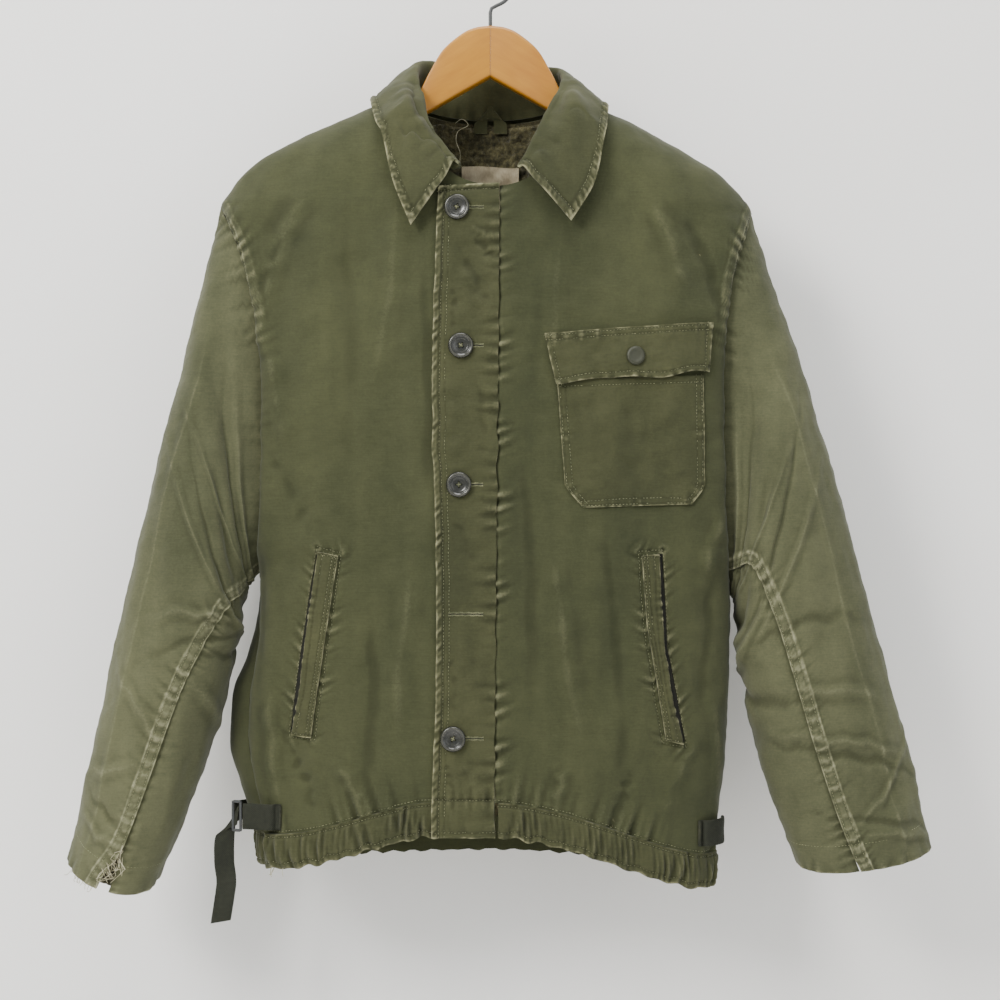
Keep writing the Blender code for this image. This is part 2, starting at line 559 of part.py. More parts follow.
def gathered(side, face, shares, gathers, quiet_until=0.0):
    """A band of the hem: the section carried down to the hem and ruffled by its gathers."""
    rows = np.array([0.0, 0.5, 1.0])
    share, down = np.meshgrid(shares, rows, indexing="ij")
    low = hem_height(side, face, share)
    z = low + BAND_HEIGHT * (1 - down)
    x, y = section(side, face, share, z)
    grid = np.stack([x, y, z], axis=-1)
    normal = normals_of(grid)
    if (normal[..., 1] * FACING[face]).sum() < 0:
        normal = -normal
    normal[-1, :, 1] = 0
    normal[..., 2] = 0
    normal = unit(normal)
    along = np.linspace(0, 1, len(shares))[:, None]
    wave = np.cos(2 * math.pi * gathers * along + 0.9 * np.sin(9.0 * along + 2 * gathers))
    calm = smooth_step(quiet_until - 0.02, quiet_until + 0.06, along)
    calm = calm * (1 - smooth_step(0.93, 1.0, along))
    ruffle = GATHER_DEPTH * wave * calm * np.array([0.6, 1.0, 0.8])
    return grid, grid + normal * (0.0008 + ruffle)[..., None], normal


def build_hem(olive):
    for side, gathers, quiet in (("right", 13, 0.22), ("left", 15, 0.0)):
        shares = even_shares(side, "front", gathers * GATHER_SAMPLES + 1, HEM_LEVEL)
        plain, outer, normal = gathered(side, "front", shares, gathers, quiet)
        if side == "left":
            step = PLACKET_TOP * np.exp(-(((plain[..., 0] - LEFT_FRONT_START) / 0.018) ** 2))
            plain[..., 1] -= step
            outer[..., 1] -= step
        inner = plain - normal * BAND_WALL
        for layer in (outer, inner):
            layer[..., 1] -= SEAM_GAP / 2
        wall(f"hem_front_{side}", outer, inner, olive)
    layers = []
    for side in ("right", "left"):
        shares = even_shares(side, "back", 12 * GATHER_SAMPLES + 1, HEM_LEVEL)
        plain, outer, normal = gathered(side, "back", shares, 12)
        layers.append((outer, plain - normal * BAND_WALL))
    outer = np.concatenate([layers[0][0][::-1], layers[1][0][1:]])
    inner = np.concatenate([layers[0][1][::-1], layers[1][1][1:]])
    for layer in (outer, inner):
        layer[..., 1] += SEAM_GAP / 2
    wall("hem_back", outer, inner, olive)


def armhole(side, turn):
    """Points of the armhole seam; turn goes 0 at the shoulder, 1 underarm, and 2 round the back."""
    sleeve, body = SLEEVE[side], BODY[side]
    top, low = sleeve.at("outer_z", 0.0), sleeve.at("inner_z", 0.0)
    z = top + (low - top) * (1 - np.cos(turn * math.pi)) / 2
    front = np.sin(turn * math.pi) >= 0
    y = np.where(front, -body.at("seam_front_y", z), body.at("seam_back_y", z))
    return np.stack([SIGN[side] * body.at("seam_x", z), y, z], axis=-1)


def sleeve_surface(side, turn, share):
    """Points of a sleeve: turn round it (0 outer fold, 1 inner fold, to 2), share down it."""
    rows = SLEEVE[side]
    outer_x, outer_z = rows.at("outer_x", share), rows.at("outer_z", share)
    inner_x, inner_z = rows.at("inner_x", share), rows.at("inner_z", share)
    swing = np.cos(turn * math.pi)
    side_step = np.sin(turn * math.pi)
    bulge = np.sign(side_step) * np.abs(side_step) ** 0.86
    middle_x, middle_z = (outer_x + inner_x) / 2, (outer_z + inner_z) / 2
    x = middle_x + (outer_x - inner_x) / 2 * swing
    z = middle_z + (outer_z - inner_z) / 2 * swing
    y = -rows.at("half_depth", share) * bulge - rows.at("forward", share)
    dip = CUFF_DIP[side] * smooth_step(0.70, 1.0, share) * np.maximum(side_step, -0.35)
    tube = np.stack([SIGN[side] * x, y, z - dip], axis=-1)
    start = armhole(side, turn)
    at_top = np.cos(turn * math.pi / 2) ** 8
    start[..., 0] += SIGN[side] * SLEEVE_STANDOFF * (1 + 1.2 * at_top)
    out = smooth_step(0, SLEEVE_HEAD_SHARE, share)[..., None]
    back = smooth_step(0, SLEEVE_HEAD_SHARE * 1.5, share)[..., None]
    blend = np.concatenate([out, back, out], axis=-1)
    return start + (tube - start) * blend


def sleeve_fold_rise(side, turn, share):
    total = np.zeros_like(share * turn)
    for fold in SLEEVE_FOLDS[side]:
        away = share - fold.share - fold.slant * (turn - fold.turn) / fold.length
        along = (turn - fold.turn) / fold.length
        total = total + fold.rise * np.exp(-((away / fold.width) ** 2) - along**2)
    return total * smooth_step(0.12, 0.35, share)


def sleeve_outward(side, turn, share):
    """Unit vectors out of the sleeve, the same for both halves at their seams."""
    step = 0.004
    share = np.clip(share, step, 1 - step)
    round_it = sleeve_surface(side, turn + step, share) - sleeve_surface(side, turn - step, share)
    down_it = sleeve_surface(side, turn, share + step) - sleeve_surface(side, turn, share - step)
    out = unit(np.cross(round_it, down_it))
    across = sleeve_surface(side, turn, share) - sleeve_surface(side, turn + 1.0, share)
    return out * np.where((out * across).sum(axis=-1, keepdims=True) < 0, -1.0, 1.0)


def build_sleeves(olive):
    for side in ("right", "left"):
        rows = np.linspace(0, 1, 22)
        seam = SLEEVE[side].at("seam_turn", rows)
        gap = 0.0013
        spans = {
            "front": (OUTER_SEAM_TURN + 0 * seam, seam - gap),
            "back": (seam + gap, 2 + OUTER_SEAM_TURN - 2 * gap + 0 * seam),
        }
        for face, (begin, end) in spans.items():
            part = np.linspace(0, 1, 10)[:, None]
            turn = begin[None, :] + (end - begin)[None, :] * part
            share = np.broadcast_to(rows[None, :], turn.shape)
            grid = sleeve_surface(side, turn, share)
            out = sleeve_outward(side, turn, share)
            calm = smooth_step(0.0, 0.25, part) * smooth_step(0.0, 0.25, 1 - part)
            rise = sleeve_fold_rise(side, turn, share) * calm
            outer = grid + out * rise[..., None]
            wall(f"sleeve_{side}_{face}", outer, outer - out * WALL, olive)


def spline(points, count):
    """count points along a smooth curve through a few given ones."""
    points = np.asarray(points, float)
    padded = np.concatenate([2 * points[:1] - points[1:2], points, 2 * points[-1:] - points[-2:-1]])
    place = np.linspace(0, len(points) - 1, count)
    cell = np.minimum(place.astype(int), len(points) - 2)
    u = (place - cell)[:, None]
    before, first, second, after = (padded[cell + i] for i in range(4))
    return 0.5 * (
        2 * first
        + (second - before) * u
        + (2 * before - 5 * first + 4 * second - after) * u**2
        + (3 * first - before - 3 * second + after) * u**3
    )


def collar_grid(stations, across):
    """The collar's middle layer: up the stand, over the fold and down the fall."""
    profiles = []
    for row in COLLAR:
        side, face = row.face.split("_")
        x, z = neckline(side, face, np.array(row.neck_share))
        share = share_at_x(side, face, x, z)
        y = section(side, face, share, z)[1]
        neck = np.array([float(x), float(y), float(z) + COLLAR_LIFT])
        roll = np.array([row.roll_x, row.roll_y, row.roll_z])
        edge = np.array([row.edge_x, row.edge_y, row.edge_z])
        out = edge - neck
        out[2] = 0
        out /= np.linalg.norm(out)
        down_in, down_out = (neck - roll), (edge - roll)
        down_in /= np.linalg.norm(down_in)
        down_out /= np.linalg.norm(down_out)
        radius = COLLAR_FOLD_RADIUS
        bulge = np.array([0, -0.003, 0.003]) if face == "front" else np.array([0, 0.006, 0.004])
        profiles.append(
            [
                neck,
                (neck + roll) / 2 - out * 0.002,
                roll - out * radius + down_in * radius * 1.6,
                roll,
                roll + out * radius + down_out * radius * 1.6,
                roll * 0.45 + edge * 0.55 + bulge,
                edge,
            ]
        )
    rings = np.array([spline(profile, across) for profile in profiles])
    return np.stack([spline(rings[:, k], stations) for k in range(across)], axis=1)


def seat_fall(built, grid, first_row):
    """Lifts the collar's fall off the shoulders, the chest and the back that it lies over."""
    for i, k in np.ndindex(grid.shape[:2]):
        if k < first_row:
            continue
        x, y, z = grid[i, k]
        facing = 1.0 if y > 0 else -1.0
        for step in (-0.009, 0.0, 0.009):
            hit = built.met((x, y + step, 0.5), (0, 0, -1))
            if hit is not None and abs(hit.z + COLLAR_CLEARANCE - z) < 0.02:
                z = max(z, hit.z + COLLAR_CLEARANCE)
        for drop, share in ((0.0, 1.0), (0.007, 0.8), (0.014, 0.6)):
            hit = built.met((x, facing * 0.5, z - drop), (0, -facing, 0))
            if hit is not None and facing * hit.y > 0:
                y = facing * max(facing * y, facing * hit.y + COLLAR_CLEARANCE * share)
        grid[i, k] = x, y, z
    return grid


def build_collar(built, olive):
    grid = seat_fall(built, collar_grid(30, 12), 6)
    normal = normals_of(grid)
    half = COLLAR_WALL / 2
    wall("collar", grid + normal * half, grid - normal * half, olive)


# The storm flap over the closure. Its edges wander a little, as worn cloth does.
PLACKET_TOP = SEAT_GAP + 0.0026
PlacketRow = namedtuple("PlacketRow", "height left_x right_x")
PLACKET = [
    PlacketRow(-0.824, -0.0545, 0.0066),
    PlacketRow(-0.752, -0.0525, 0.0064),
    PlacketRow(-0.697, -0.0497, 0.0040),
    PlacketRow(-0.600, -0.0492, 0.0010),
    PlacketRow(-0.513, -0.0505, 0.0018),
    PlacketRow(-0.440, -0.0527, 0.0028),
    PlacketRow(-0.330, -0.0515, 0.0055),
    PlacketRow(-0.222, -0.0480, 0.0064),
]
PLACKET_TABLE = Table(PLACKET)


def build_placket(built, olive):
    across, down = np.meshgrid(np.linspace(0, 1, 5), np.linspace(0, 1, 27), indexing="ij")
    top = -0.2230 + 0.0035 * across
    z = top + (-0.824 - top) * down
    left = PLACKET_TABLE.at("left_x", z)
    x = left + (CLOSURE_X - left) * across
    over_band = 0.0014 * smooth_step(-0.745, -0.785, z)
    base, out = panel_point(built, np.minimum(x, 0.0040), z, SEAT_GAP + 0.0006 + over_band)
    base[..., 0] += x - np.minimum(x, 0.0040)
    wall("placket", base + out * (PLACKET_TOP - SEAT_GAP), base, olive)


def patch(built, name, corners_left, corners_right, lift, thickness, counts, finish):
    """A piece lying on the front between a left and a right edge, each given from top to low."""
    columns, rows = counts
    left = spline_linear(corners_left, rows)
    right = spline_linear(corners_right, rows)
    share = np.linspace(0, 1, columns)[:, None, None]
    flat = left[None] * (1 - share) + right[None] * share
    base, out = panel_point(built, flat[..., 0], flat[..., 1], lift)
    return wall(name, base + out * thickness, base, finish)


def spline_linear(points, count):
    """count points spread evenly along a broken line."""
    points = np.asarray(points, float)
    lengths = np.concatenate([[0], np.cumsum(np.linalg.norm(np.diff(points, axis=0), axis=1))])
    place = np.linspace(0, lengths[-1], count)
    return np.stack([np.interp(place, lengths, points[:, k]) for k in range(2)], axis=1)


# The chest pocket, on the wearer's left: a patch with cut corners under a snapped flap.
POCKET_LEFT = [(0.0615, -0.402), (0.0690, -0.499), (0.0740, -0.506), (0.0860, -0.5195)]
POCKET_RIGHT = [(0.1975, -0.397), (0.1985, -0.498), (0.1960, -0.504), (0.1860, -0.5165)]
FLAP_LEFT = [(0.0505, -0.3590), (0.0600, -0.4040)]
FLAP_RIGHT = [(0.2055, -0.3475), (0.2020, -0.3950)]
FLAP_LIFT = SEAT_GAP + PATCH_WALL + 0.0009
SNAP_AT = (0.1340, -0.3795)
SNAP_RADIUS = 0.0085


def build_chest_pocket(built, olive, metal):
    lift = SEAT_GAP + 0.0003
    patch(built, "chest_pocket", POCKET_LEFT, POCKET_RIGHT, lift, PATCH_WALL, (12, 9), olive)
    patch(built, "chest_pocket_flap", FLAP_LEFT, FLAP_RIGHT, FLAP_LIFT, 0.0026, (12, 5), olive)
    centre, out = panel_point(built, *SNAP_AT, FLAP_LIFT + 0.0026 + 0.0004)
    profile = [(0, 0.0024), (0.0040, 0.0022), (0.0066, 0.0015), (0.0080, 0.0012)]
    profile += [(SNAP_RADIUS, 0.0006), (SNAP_RADIUS, 0.0), (0, 0.0)]
    turned("chest_snap", profile, 14, centre, out, metal)


def turned(name, profile, sides, centre, out, finish):
    """A piece turned round its axis from (radius, height) points, set on a surface."""
    mesh = bmesh.new()
    rings = []
    for radius, height in profile:
        if radius == 0:
            rings.append([mesh.verts.new((0, 0, height))])
            continue
        ring = []
        for i in range(sides):
            angle = 2 * math.pi * i / sides
            ring.append(mesh.verts.new((radius * math.cos(angle), radius * math.sin(angle), height)))
        rings.append(ring)
    for upper, lower in zip(rings, rings[1:]):
        for i in range(sides):
            j = (i + 1) % sides
            if len(upper) == 1:
                mesh.faces.new((upper[0], lower[i], lower[j]))
            elif len(lower) == 1:
                mesh.faces.new((upper[i], lower[0], upper[j]))
            else:
                mesh.faces.new((upper[i], lower[i], lower[j], upper[j]))
    bmesh.ops.recalc_face_normals(mesh, faces=mesh.faces)
    data = bpy.data.meshes.new(name)
    mesh.to_mesh(data)
    mesh.free()
    data.shade_smooth()
    data.set_sharp_from_angle(angle=math.radians(40))
    data.materials.append(finish)
    made = bpy.data.objects.new(name, data)
    made.location = Vector(centre)
    made.rotation_mode = "QUATERNION"
    made.rotation_quaternion = Vector(out).to_track_quat("Z", "Y")
    bpy.context.scene.collection.objects.link(made)
    return made


# Buttons, down the storm flap. The fourth of the five is missing, and its hole is empty.
BUTTON_RADIUS = 0.0115
BUTTON_HEIGHT = 0.0040
BUTTON_HOLE_RADIUS = 0.0010
BUTTON_HOLE_OFFSET = 0.0021
ButtonRow = namedtuple("ButtonRow", "name x height")
BUTTONS = [
    ButtonRow("button_1", -0.0304, -0.2425),
    ButtonRow("button_2", -0.0270, -0.3704),
    ButtonRow("button_3", -0.0285, -0.4983),
    ButtonRow("button_4", -0.0340, -0.7320),
]


def button_cutter():
    """Four pins that cut the sewing holes of every button."""
    mesh = bmesh.new()
    for i in range(4):
        angle = math.pi / 4 + i * math.pi / 2
        place = Vector((math.cos(angle), math.sin(angle), 0)) * BUTTON_HOLE_OFFSET * math.sqrt(2)
        bmesh.ops.create_cone(
            mesh,
            cap_ends=True,
            segments=6,
            radius1=BUTTON_HOLE_RADIUS,
            radius2=BUTTON_HOLE_RADIUS,
            depth=0.02,
            matrix=Matrix.Translation(place),
        )
    data = bpy.data.meshes.new("button_holes")
    mesh.to_mesh(data)
    mesh.free()
    made = bpy.data.objects.new("button_holes", data)
    made.hide_render = True
    made.display_type = "WIRE"
    bpy.context.scene.collection.objects.link(made)
    return made


def build_buttons(built, plastic):
    radius, height = BUTTON_RADIUS, BUTTON_HEIGHT
    profile = [(0, 0.0022), (0.0056, 0.0023), (0.0088, height), (0.0107, 0.0036)]
    profile += [(radius, 0.0020), (0.0096, 0), (0, 0)]
    for row in BUTTONS:
        centre, out = panel_point(built, row.x, row.height, SEAT_GAP)
        made = turned(row.name, profile, 14, centre, out, plastic)
        cutter = button_cutter()
        cutter.name = row.name + "_holes"
        cutter.location = made.location
        cutter.rotation_mode = "QUATERNION"
        cutter.rotation_quaternion = made.rotation_quaternion
        cut = made.modifiers.new("sewing_holes", "BOOLEAN")
        cut.object = cutter
        cut.solver = "EXACT"


# Slanted hand pockets: a stitched frame round a welt whose outer edge is the pocket's mouth.
RIGHT_WELT = [(-0.1590, -0.5600), (-0.1842, -0.7305)]
RIGHT_WELT_INNER = [(-0.1400, -0.5640), (-0.1655, -0.7330)]
LEFT_WELT = [(0.1395, -0.5640), (0.1445, -0.6300), (0.1625, -0.7350)]
LEFT_WELT_OUTER = [(0.1560, -0.5625), (0.1590, -0.6500), (0.1795, -0.7400)]


def build_hand_pockets(built, olive):
    lift = SEAT_GAP + 0.0007
    patch(built, "welt_right", RIGHT_WELT, RIGHT_WELT_INNER, lift, 0.0022, (4, 11), olive)
    patch(built, "welt_left", LEFT_WELT, LEFT_WELT_OUTER, lift, 0.0022, (4, 11), olive)


def ribbon(name, path, across, width, thickness, count, finish):
    """A flat strap along a smooth path; across gives the way its width lies at each point."""
    line = spline(path, count)
    wide = spline(across, count)
    wide /= np.linalg.norm(wide, axis=1, keepdims=True)
    along = np.gradient(line, axis=0)
    face = np.cross(along, wide)
    face /= np.linalg.norm(face, axis=1, keepdims=True)
    step = np.array([-0.5, 0.0, 0.5])[:, None, None] * width
    grid = line[None] + wide[None] * step
    return wall(name, grid + face[None] * thickness / 2, grid - face[None] * thickness / 2, finish)


# Waist adjusters at the side seams. On the right a strap hangs from its slide.
ADJUSTER_Z = -0.8085
TAB_WIDTH = 0.024
STRAP_WIDTH = 0.019


def seated(built, x, z, lift, face):
    """A point of a strap's path that lies lift away from a face of the body."""
    return tuple(panel_point(built, x, z, lift, face)[0])


def build_adjusters(built, webbing, metal):
    z = ADJUSTER_Z
    lift = SEAT_GAP + 0.0018
    tab = [seated(built, x, z, lift + 0.0001, "front") for x in (-0.1780, -0.1900)]
    tab += [(-0.2055, -0.0400, z), (-0.2190, -0.0348, z), (-0.2315, -0.0318, z)]
    ribbon("adjuster_tab_right", tab, [(0.02, 0, 1)] * 5, TAB_WIDTH, 0.0026, 11, webbing)
    slide = [(-0.2337, -0.0312, z - 0.0130), (-0.2337, -0.0312, z + 0.0130)]
    rod("adjuster_slide_right", slide, 0.0017, metal)
    strap = [
        (-0.2365, -0.0285, z + 0.0010),
        (-0.2430, -0.0265, z - 0.0050),
        (-0.2490, -0.0250, z - 0.0180),
        (-0.2500, -0.0240, z - 0.0420),
        (-0.2480, -0.0240, z - 0.0620),
        (-0.2500, -0.0250, z - 0.0800),
        (-0.2530, -0.0260, z - 0.1000),
    ]
    turn = [
        (0.10, 0.00, 1.0),
        (0.45, 0.05, 0.8),
        (0.90, 0.10, 0.25),
        (1.0, 0.35, 0.0),
        (1.0, -0.15, 0.0),
        (1.0, -0.05, 0.10),
        (1.0, 0.05, 0.16),
    ]
    ribbon("adjuster_strap_right", strap, turn, STRAP_WIDTH, WEBBING, 19, webbing)
    tail = [(-0.2400, -0.0232, z), (-0.2425, -0.0080, z), (-0.2385, 0.0090, z), (-0.2300, 0.0190, z)]
    tail += [seated(built, x, z, lift + 0.0010, "back") for x in (-0.2140, -0.2030)]
    ribbon("adjuster_tail_right", tail, [(0, 0, 1)] * 6, STRAP_WIDTH, WEBBING, 13, webbing)
    z = -0.8240
    tab = [seated(built, x, z, lift + 0.0001, "front") for x in (0.1720, 0.1860)]
    tab += [(0.2025, -0.0362, z), (0.2140, -0.0250, z), (0.2195, -0.0130, z), (0.2200, -0.0010, z)]
    ribbon("adjuster_tab_left", tab, [(0, 0, 1)] * 6, TAB_WIDTH, 0.0030, 9, webbing)


def rod(name, path, radius, finish, sides=8):
    """A round bar along a line or a smooth path of points, as a bevelled curve."""
    data = bpy.data.curves.new(name, "CURVE")
    data.dimensions = "3D"
    data.bevel_depth = radius
    data.bevel_resolution = max(0, sides // 4 - 1)
    data.use_fill_caps = True
    line = data.splines.new("POLY")
    line.points.add(len(path) - 1)
    for point, place in zip(line.points, path):
        point.co = (*place, 1)
    made = bpy.data.objects.new(name, data)
    made.data.materials.append(finish)
    bpy.context.scene.collection.objects.link(made)
    return made


# Inside the neck: the pile lining of the back, the locker loop and a bare label.
LINING_HALF_WIDTH = 0.085
LINING_LOW_Z = -0.300
LINING_WALL = 0.0040
LABEL_SIZE = (0.056, 0.040)
LABEL_TOP_Z = -0.196
LOOP_WIDTH = 0.008
LOOP_FOOT_Z = -0.164


def build_neck_inside(built, pile, cream, olive):
    columns, rows = 13, 8
    x = np.linspace(-LINING_HALF_WIDTH, LINING_HALF_WIDTH, columns)[:, None]
    share = np.abs(x) / NECK_HALF_WIDTH
    top = NECK_SIDE_Z + (BACK_NECK_Z - NECK_SIDE_Z) * np.sqrt(np.maximum(0.0, 1 - share**2))
    top = top - 0.008 - 0.020 * smooth_step(0.6, 1.1, share)
    z = top + (LINING_LOW_Z - top) * np.linspace(0, 1, rows)[None, :]
    sink = WALL + SEAT_GAP + 0.0004
    grid, out = panel_point(built, x, z, -sink, face="back")
    wall("lining_back", grid, grid - out * LINING_WALL, pile)
    sink = sink + LINING_WALL + SEAT_GAP
    x = (np.linspace(-0.5, 0.5, 5) * LABEL_SIZE[0])[:, None]
    z = np.linspace(LABEL_TOP_Z, LABEL_TOP_Z - LABEL_SIZE[1], 4)[None, :]
    grid, out = panel_point(built, x, z, -sink, face="back")
    wall("neck_label", grid, grid - out * 0.0008, cream)
    lining = Built("lining_back")
    y = lining.met((0.0145, 0, LOOP_FOOT_Z + 0.004), (0, 1, 0)).y - 0.0008 - SEAT_GAP
    loop = [
        (-0.0150, y, LOOP_FOOT_Z),
        (-0.0145, y - 0.0005, -0.1490),
        (-0.0130, y - 0.001, -0.1370),
        (-0.0085, y - 0.001, -0.1262),
        (0.0000, y - 0.001, -0.1225),
        (0.0085, y - 0.001, -0.1262),
        (0.0130, y - 0.001, -0.1370),
        (0.0145, y - 0.0005, -0.1490),
        (0.0150, y, LOOP_FOOT_Z),
    ]
    wide = [(1, 0, 0.0), (1, 0, 0.1), (1, 0, 0.25), (0.7, 0, 0.7), (0, 0, 1), (-0.7, 0, 0.7)]
    wide += [(-1, 0, 0.25), (-1, 0, 0.1), (-1, 0, 0.0)]
    ribbon("locker_loop", loop, wide, LOOP_WIDTH, 0.0016, 17, olive)


HangerRow = namedtuple("HangerRow", "x top low half_thickness y")
# One arm of the hanger, from the middle out to its tip inside the shoulder.
HANGER_ARM = [
    HangerRow(0.0002, -0.0610, -0.1102, 0.0072, 0.0060),
    HangerRow(0.0140, -0.0630, -0.1180, 0.0072, 0.0052),
    HangerRow(0.0270, -0.0690, -0.1255, 0.0072, 0.0044),
    HangerRow(0.0450, -0.0845, -0.1360, 0.0072, 0.0032),
    HangerRow(0.0575, -0.1055, -0.1435, 0.0072, 0.0025),
    HangerRow(0.0680, -0.1250, -0.1500, 0.0072, 0.0019),
    HangerRow(0.0800, -0.1375, -0.1570, 0.0070, 0.0012),
    HangerRow(0.1140, -0.1500, -0.1750, 0.0068, -0.0008),
    HangerRow(0.1500, -0.1665, -0.1920, 0.0066, -0.0020),
    HangerRow(0.1800, -0.1825, -0.2060, 0.0064, -0.0028),
    HangerRow(0.2000, -0.1960, -0.2150, 0.0060, -0.0032),
]
HOOK_WIRE_RADIUS = 0.0018
HOOK_INNER_RADIUS = 0.0200
HOOK_NECK_Z = -0.0605


def rest_under_shoulder(built, side, row):
    """The height of a hanger arm's top that brings it just under the shoulder's inside."""
    found = []
    for share in (-1.0, -0.6, 0.0, 0.6, 1.0):
        round_off = 0.0045 * (abs(share) == 1.0)
        y = row.y + share * row.half_thickness
        for step in (-0.012, 0.0, 0.012):
            hit = built.met((SIGN[side] * (row.x + step), y, row.low - 0.05), (0, 0, 1))
            if hit is not None:
                found.append(hit.z + round_off + step * 0.5)
    return min(found) - SEAT_GAP


def build_hanger(built, wood, steel):
    corner = 5
    for side in ("right", "left"):
        rings = []
        for row in HANGER_ARM:
            top, low = row.top, row.low
            if row.x > 0.10:
                rest = rest_under_shoulder(built, side, row)
                top, low = rest, rest - (row.top - row.low)
            ring = []
            for quarter, (sy, sz) in enumerate([(1, 1), (-1, 1), (-1, -1), (1, -1)]):
                for i in range(corner):
                    angle = math.pi / 2 * (quarter + i / (corner - 1))
                    radius = 0.0045
                    y = sy * (row.half_thickness - radius) + radius * math.cos(angle)
                    z = sz * ((top - low) / 2 - radius) + radius * math.sin(angle)
                    ring.append((SIGN[side] * row.x, row.y + y, (top + low) / 2 + z))
            rings.append(ring)
        rings = np.array(rings)
        count = rings.shape[1]
        faces = [tuple(range(count)), tuple(range((len(rings) - 1) * count, len(rings) * count))]
        for k in range(len(rings) - 1):
            for i in range(count):
                j = (i + 1) % count
                faces.append((k * count + i, (k + 1) * count + i, (k + 1) * count + j, k * count + j))
        add_object(f"hanger_arm_{side}", rings.reshape(-1, 3), faces, wood)
    reach = HOOK_INNER_RADIUS + HOOK_WIRE_RADIUS
    centre_z = -HOOK_INNER_RADIUS
    path = [(0, 0.006, HOOK_NECK_Z + 0.0002), (0, 0.006, centre_z - reach - 0.006)]
    path += [(0.0012, 0.006, centre_z - reach - 0.002)]
    for i in range(25):
        angle = math.radians(-72 + i * 10.2)
        path.append((reach * math.cos(angle), 0.006, centre_z + reach * math.sin(angle)))
    rod("hanger_hook", path, HOOK_WIRE_RADIUS, steel, sides=12)


def main():
    clear_scene()
    olive = finish_of("shell_cotton", OLIVE)
    olive_trim = finish_of("shell_trim", OLIVE)
    webbing = finish_of("webbing", OLIVE_DARK)
    pile = finish_of("pile_lining", PILE, roughness=1.0)
    cream = finish_of("label_tape", CREAM)
    plastic = finish_of("button_plastic", BUTTON_GREEN, roughness=0.35)
    painted = finish_of("painted_snap", OLIVE_DARK, roughness=0.4, metallic=0.4)
    wood = finish_of("beech", BEECH, roughness=0.45)
    steel = finish_of("steel_wire", STEEL, roughness=0.4, metallic=1.0)
    build_body(olive)
    build_hem(olive)
    build_sleeves(olive)
    body = Built("front_right", "front_left", "back", "hem_front_right")
    build_collar(body, olive)
    build_placket(body, olive_trim)
    build_chest_pocket(body, olive_trim, painted)
    build_hand_pockets(body, olive_trim)
    build_buttons(Built("placket"), plastic)
    build_adjusters(body, webbing, steel)
    build_neck_inside(Built("back"), pile, cream, olive_trim)
    build_hanger(body, wood, steel)


main()
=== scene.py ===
# %% [markdown]
# # A deck jacket on its hanger
# The real thing is a faded olive cotton jacket with a pile lining, hung from a wooden hanger.
# This scene loads the measured solids, keeps their size, and dresses each one in finely woven,
# creased and stitched cloth. Everything is in metres, +Z is up, and the front faces -Y.
# Right and left in names are the wearer's.

import math
from collections import namedtuple

import bmesh
import bpy
import numpy as np
from mathutils import Matrix, Vector
from mathutils.bvhtree import BVHTree
from mathutils.kdtree import KDTree


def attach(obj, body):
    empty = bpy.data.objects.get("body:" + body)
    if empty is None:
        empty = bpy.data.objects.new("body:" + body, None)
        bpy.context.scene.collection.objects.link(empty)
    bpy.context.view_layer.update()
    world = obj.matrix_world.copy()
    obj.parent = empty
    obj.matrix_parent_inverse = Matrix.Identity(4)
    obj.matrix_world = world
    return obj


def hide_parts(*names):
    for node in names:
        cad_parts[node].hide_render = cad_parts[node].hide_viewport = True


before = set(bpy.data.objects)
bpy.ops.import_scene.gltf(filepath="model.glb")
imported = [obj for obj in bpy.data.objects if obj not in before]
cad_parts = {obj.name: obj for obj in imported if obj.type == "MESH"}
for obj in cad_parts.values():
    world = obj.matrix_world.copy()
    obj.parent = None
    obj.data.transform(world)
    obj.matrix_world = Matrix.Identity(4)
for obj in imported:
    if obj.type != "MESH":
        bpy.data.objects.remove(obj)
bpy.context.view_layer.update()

# %% [markdown]
# ## Camera, room and light
# The photograph looks straight at the jacket from two metres, a little above its middle. A pale
# wall stands just behind it and turns into a floor in one sweep, as a paper roll does in a studio.
# Three big soft lamps stand in for the window and the white room round it.

# %% Stand the camera in front of the jacket
CAMERA_AT = (0.0092, -2.06, -0.5125)
CAMERA_LENS = 78.0

camera_data = bpy.data.cameras.new("camera")
camera_data.lens = CAMERA_LENS
camera_data.sensor_width = 36.0
camera = bpy.data.objects.new("camera", camera_data)
camera.location = CAMERA_AT
camera.rotation_euler = (math.pi / 2, 0, 0)
bpy.context.scene.collection.objects.link(camera)
bpy.context.scene.camera = camera
print("camera at", CAMERA_AT, "lens", CAMERA_LENS)

# %% Sweep the floor up into the wall
WALL_Y = 0.135
FLOOR_Z = -1.75


def swept_backdrop(turn_radius=0.35, steps=16):
    """The profile of a paper roll: floor, quarter turn, wall."""
    profile = [(-6.0, FLOOR_Z)]
    for i in range(steps + 1):
        angle = math.pi / 2 * i / steps
        y = WALL_Y - turn_radius + turn_radius * math.sin(angle)
        profile.append((y, FLOOR_Z + turn_radius * (1 - math.cos(angle))))
    profile.append((WALL_Y, 3.0))
    points = [(side * 5.0, y, z) for side in (-1, 1) for y, z in profile]
    count = len(profile)
    faces = [(count + i, count + i + 1, i + 1, i) for i in range(count - 1)]
    mesh = bpy.data.meshes.new("backdrop")
    mesh.from_pydata(points, [], faces)
    mesh.shade_smooth()
    made = bpy.data.objects.new("backdrop", mesh)
    bpy.context.scene.collection.objects.link(made)
    return made


backdrop = swept_backdrop()

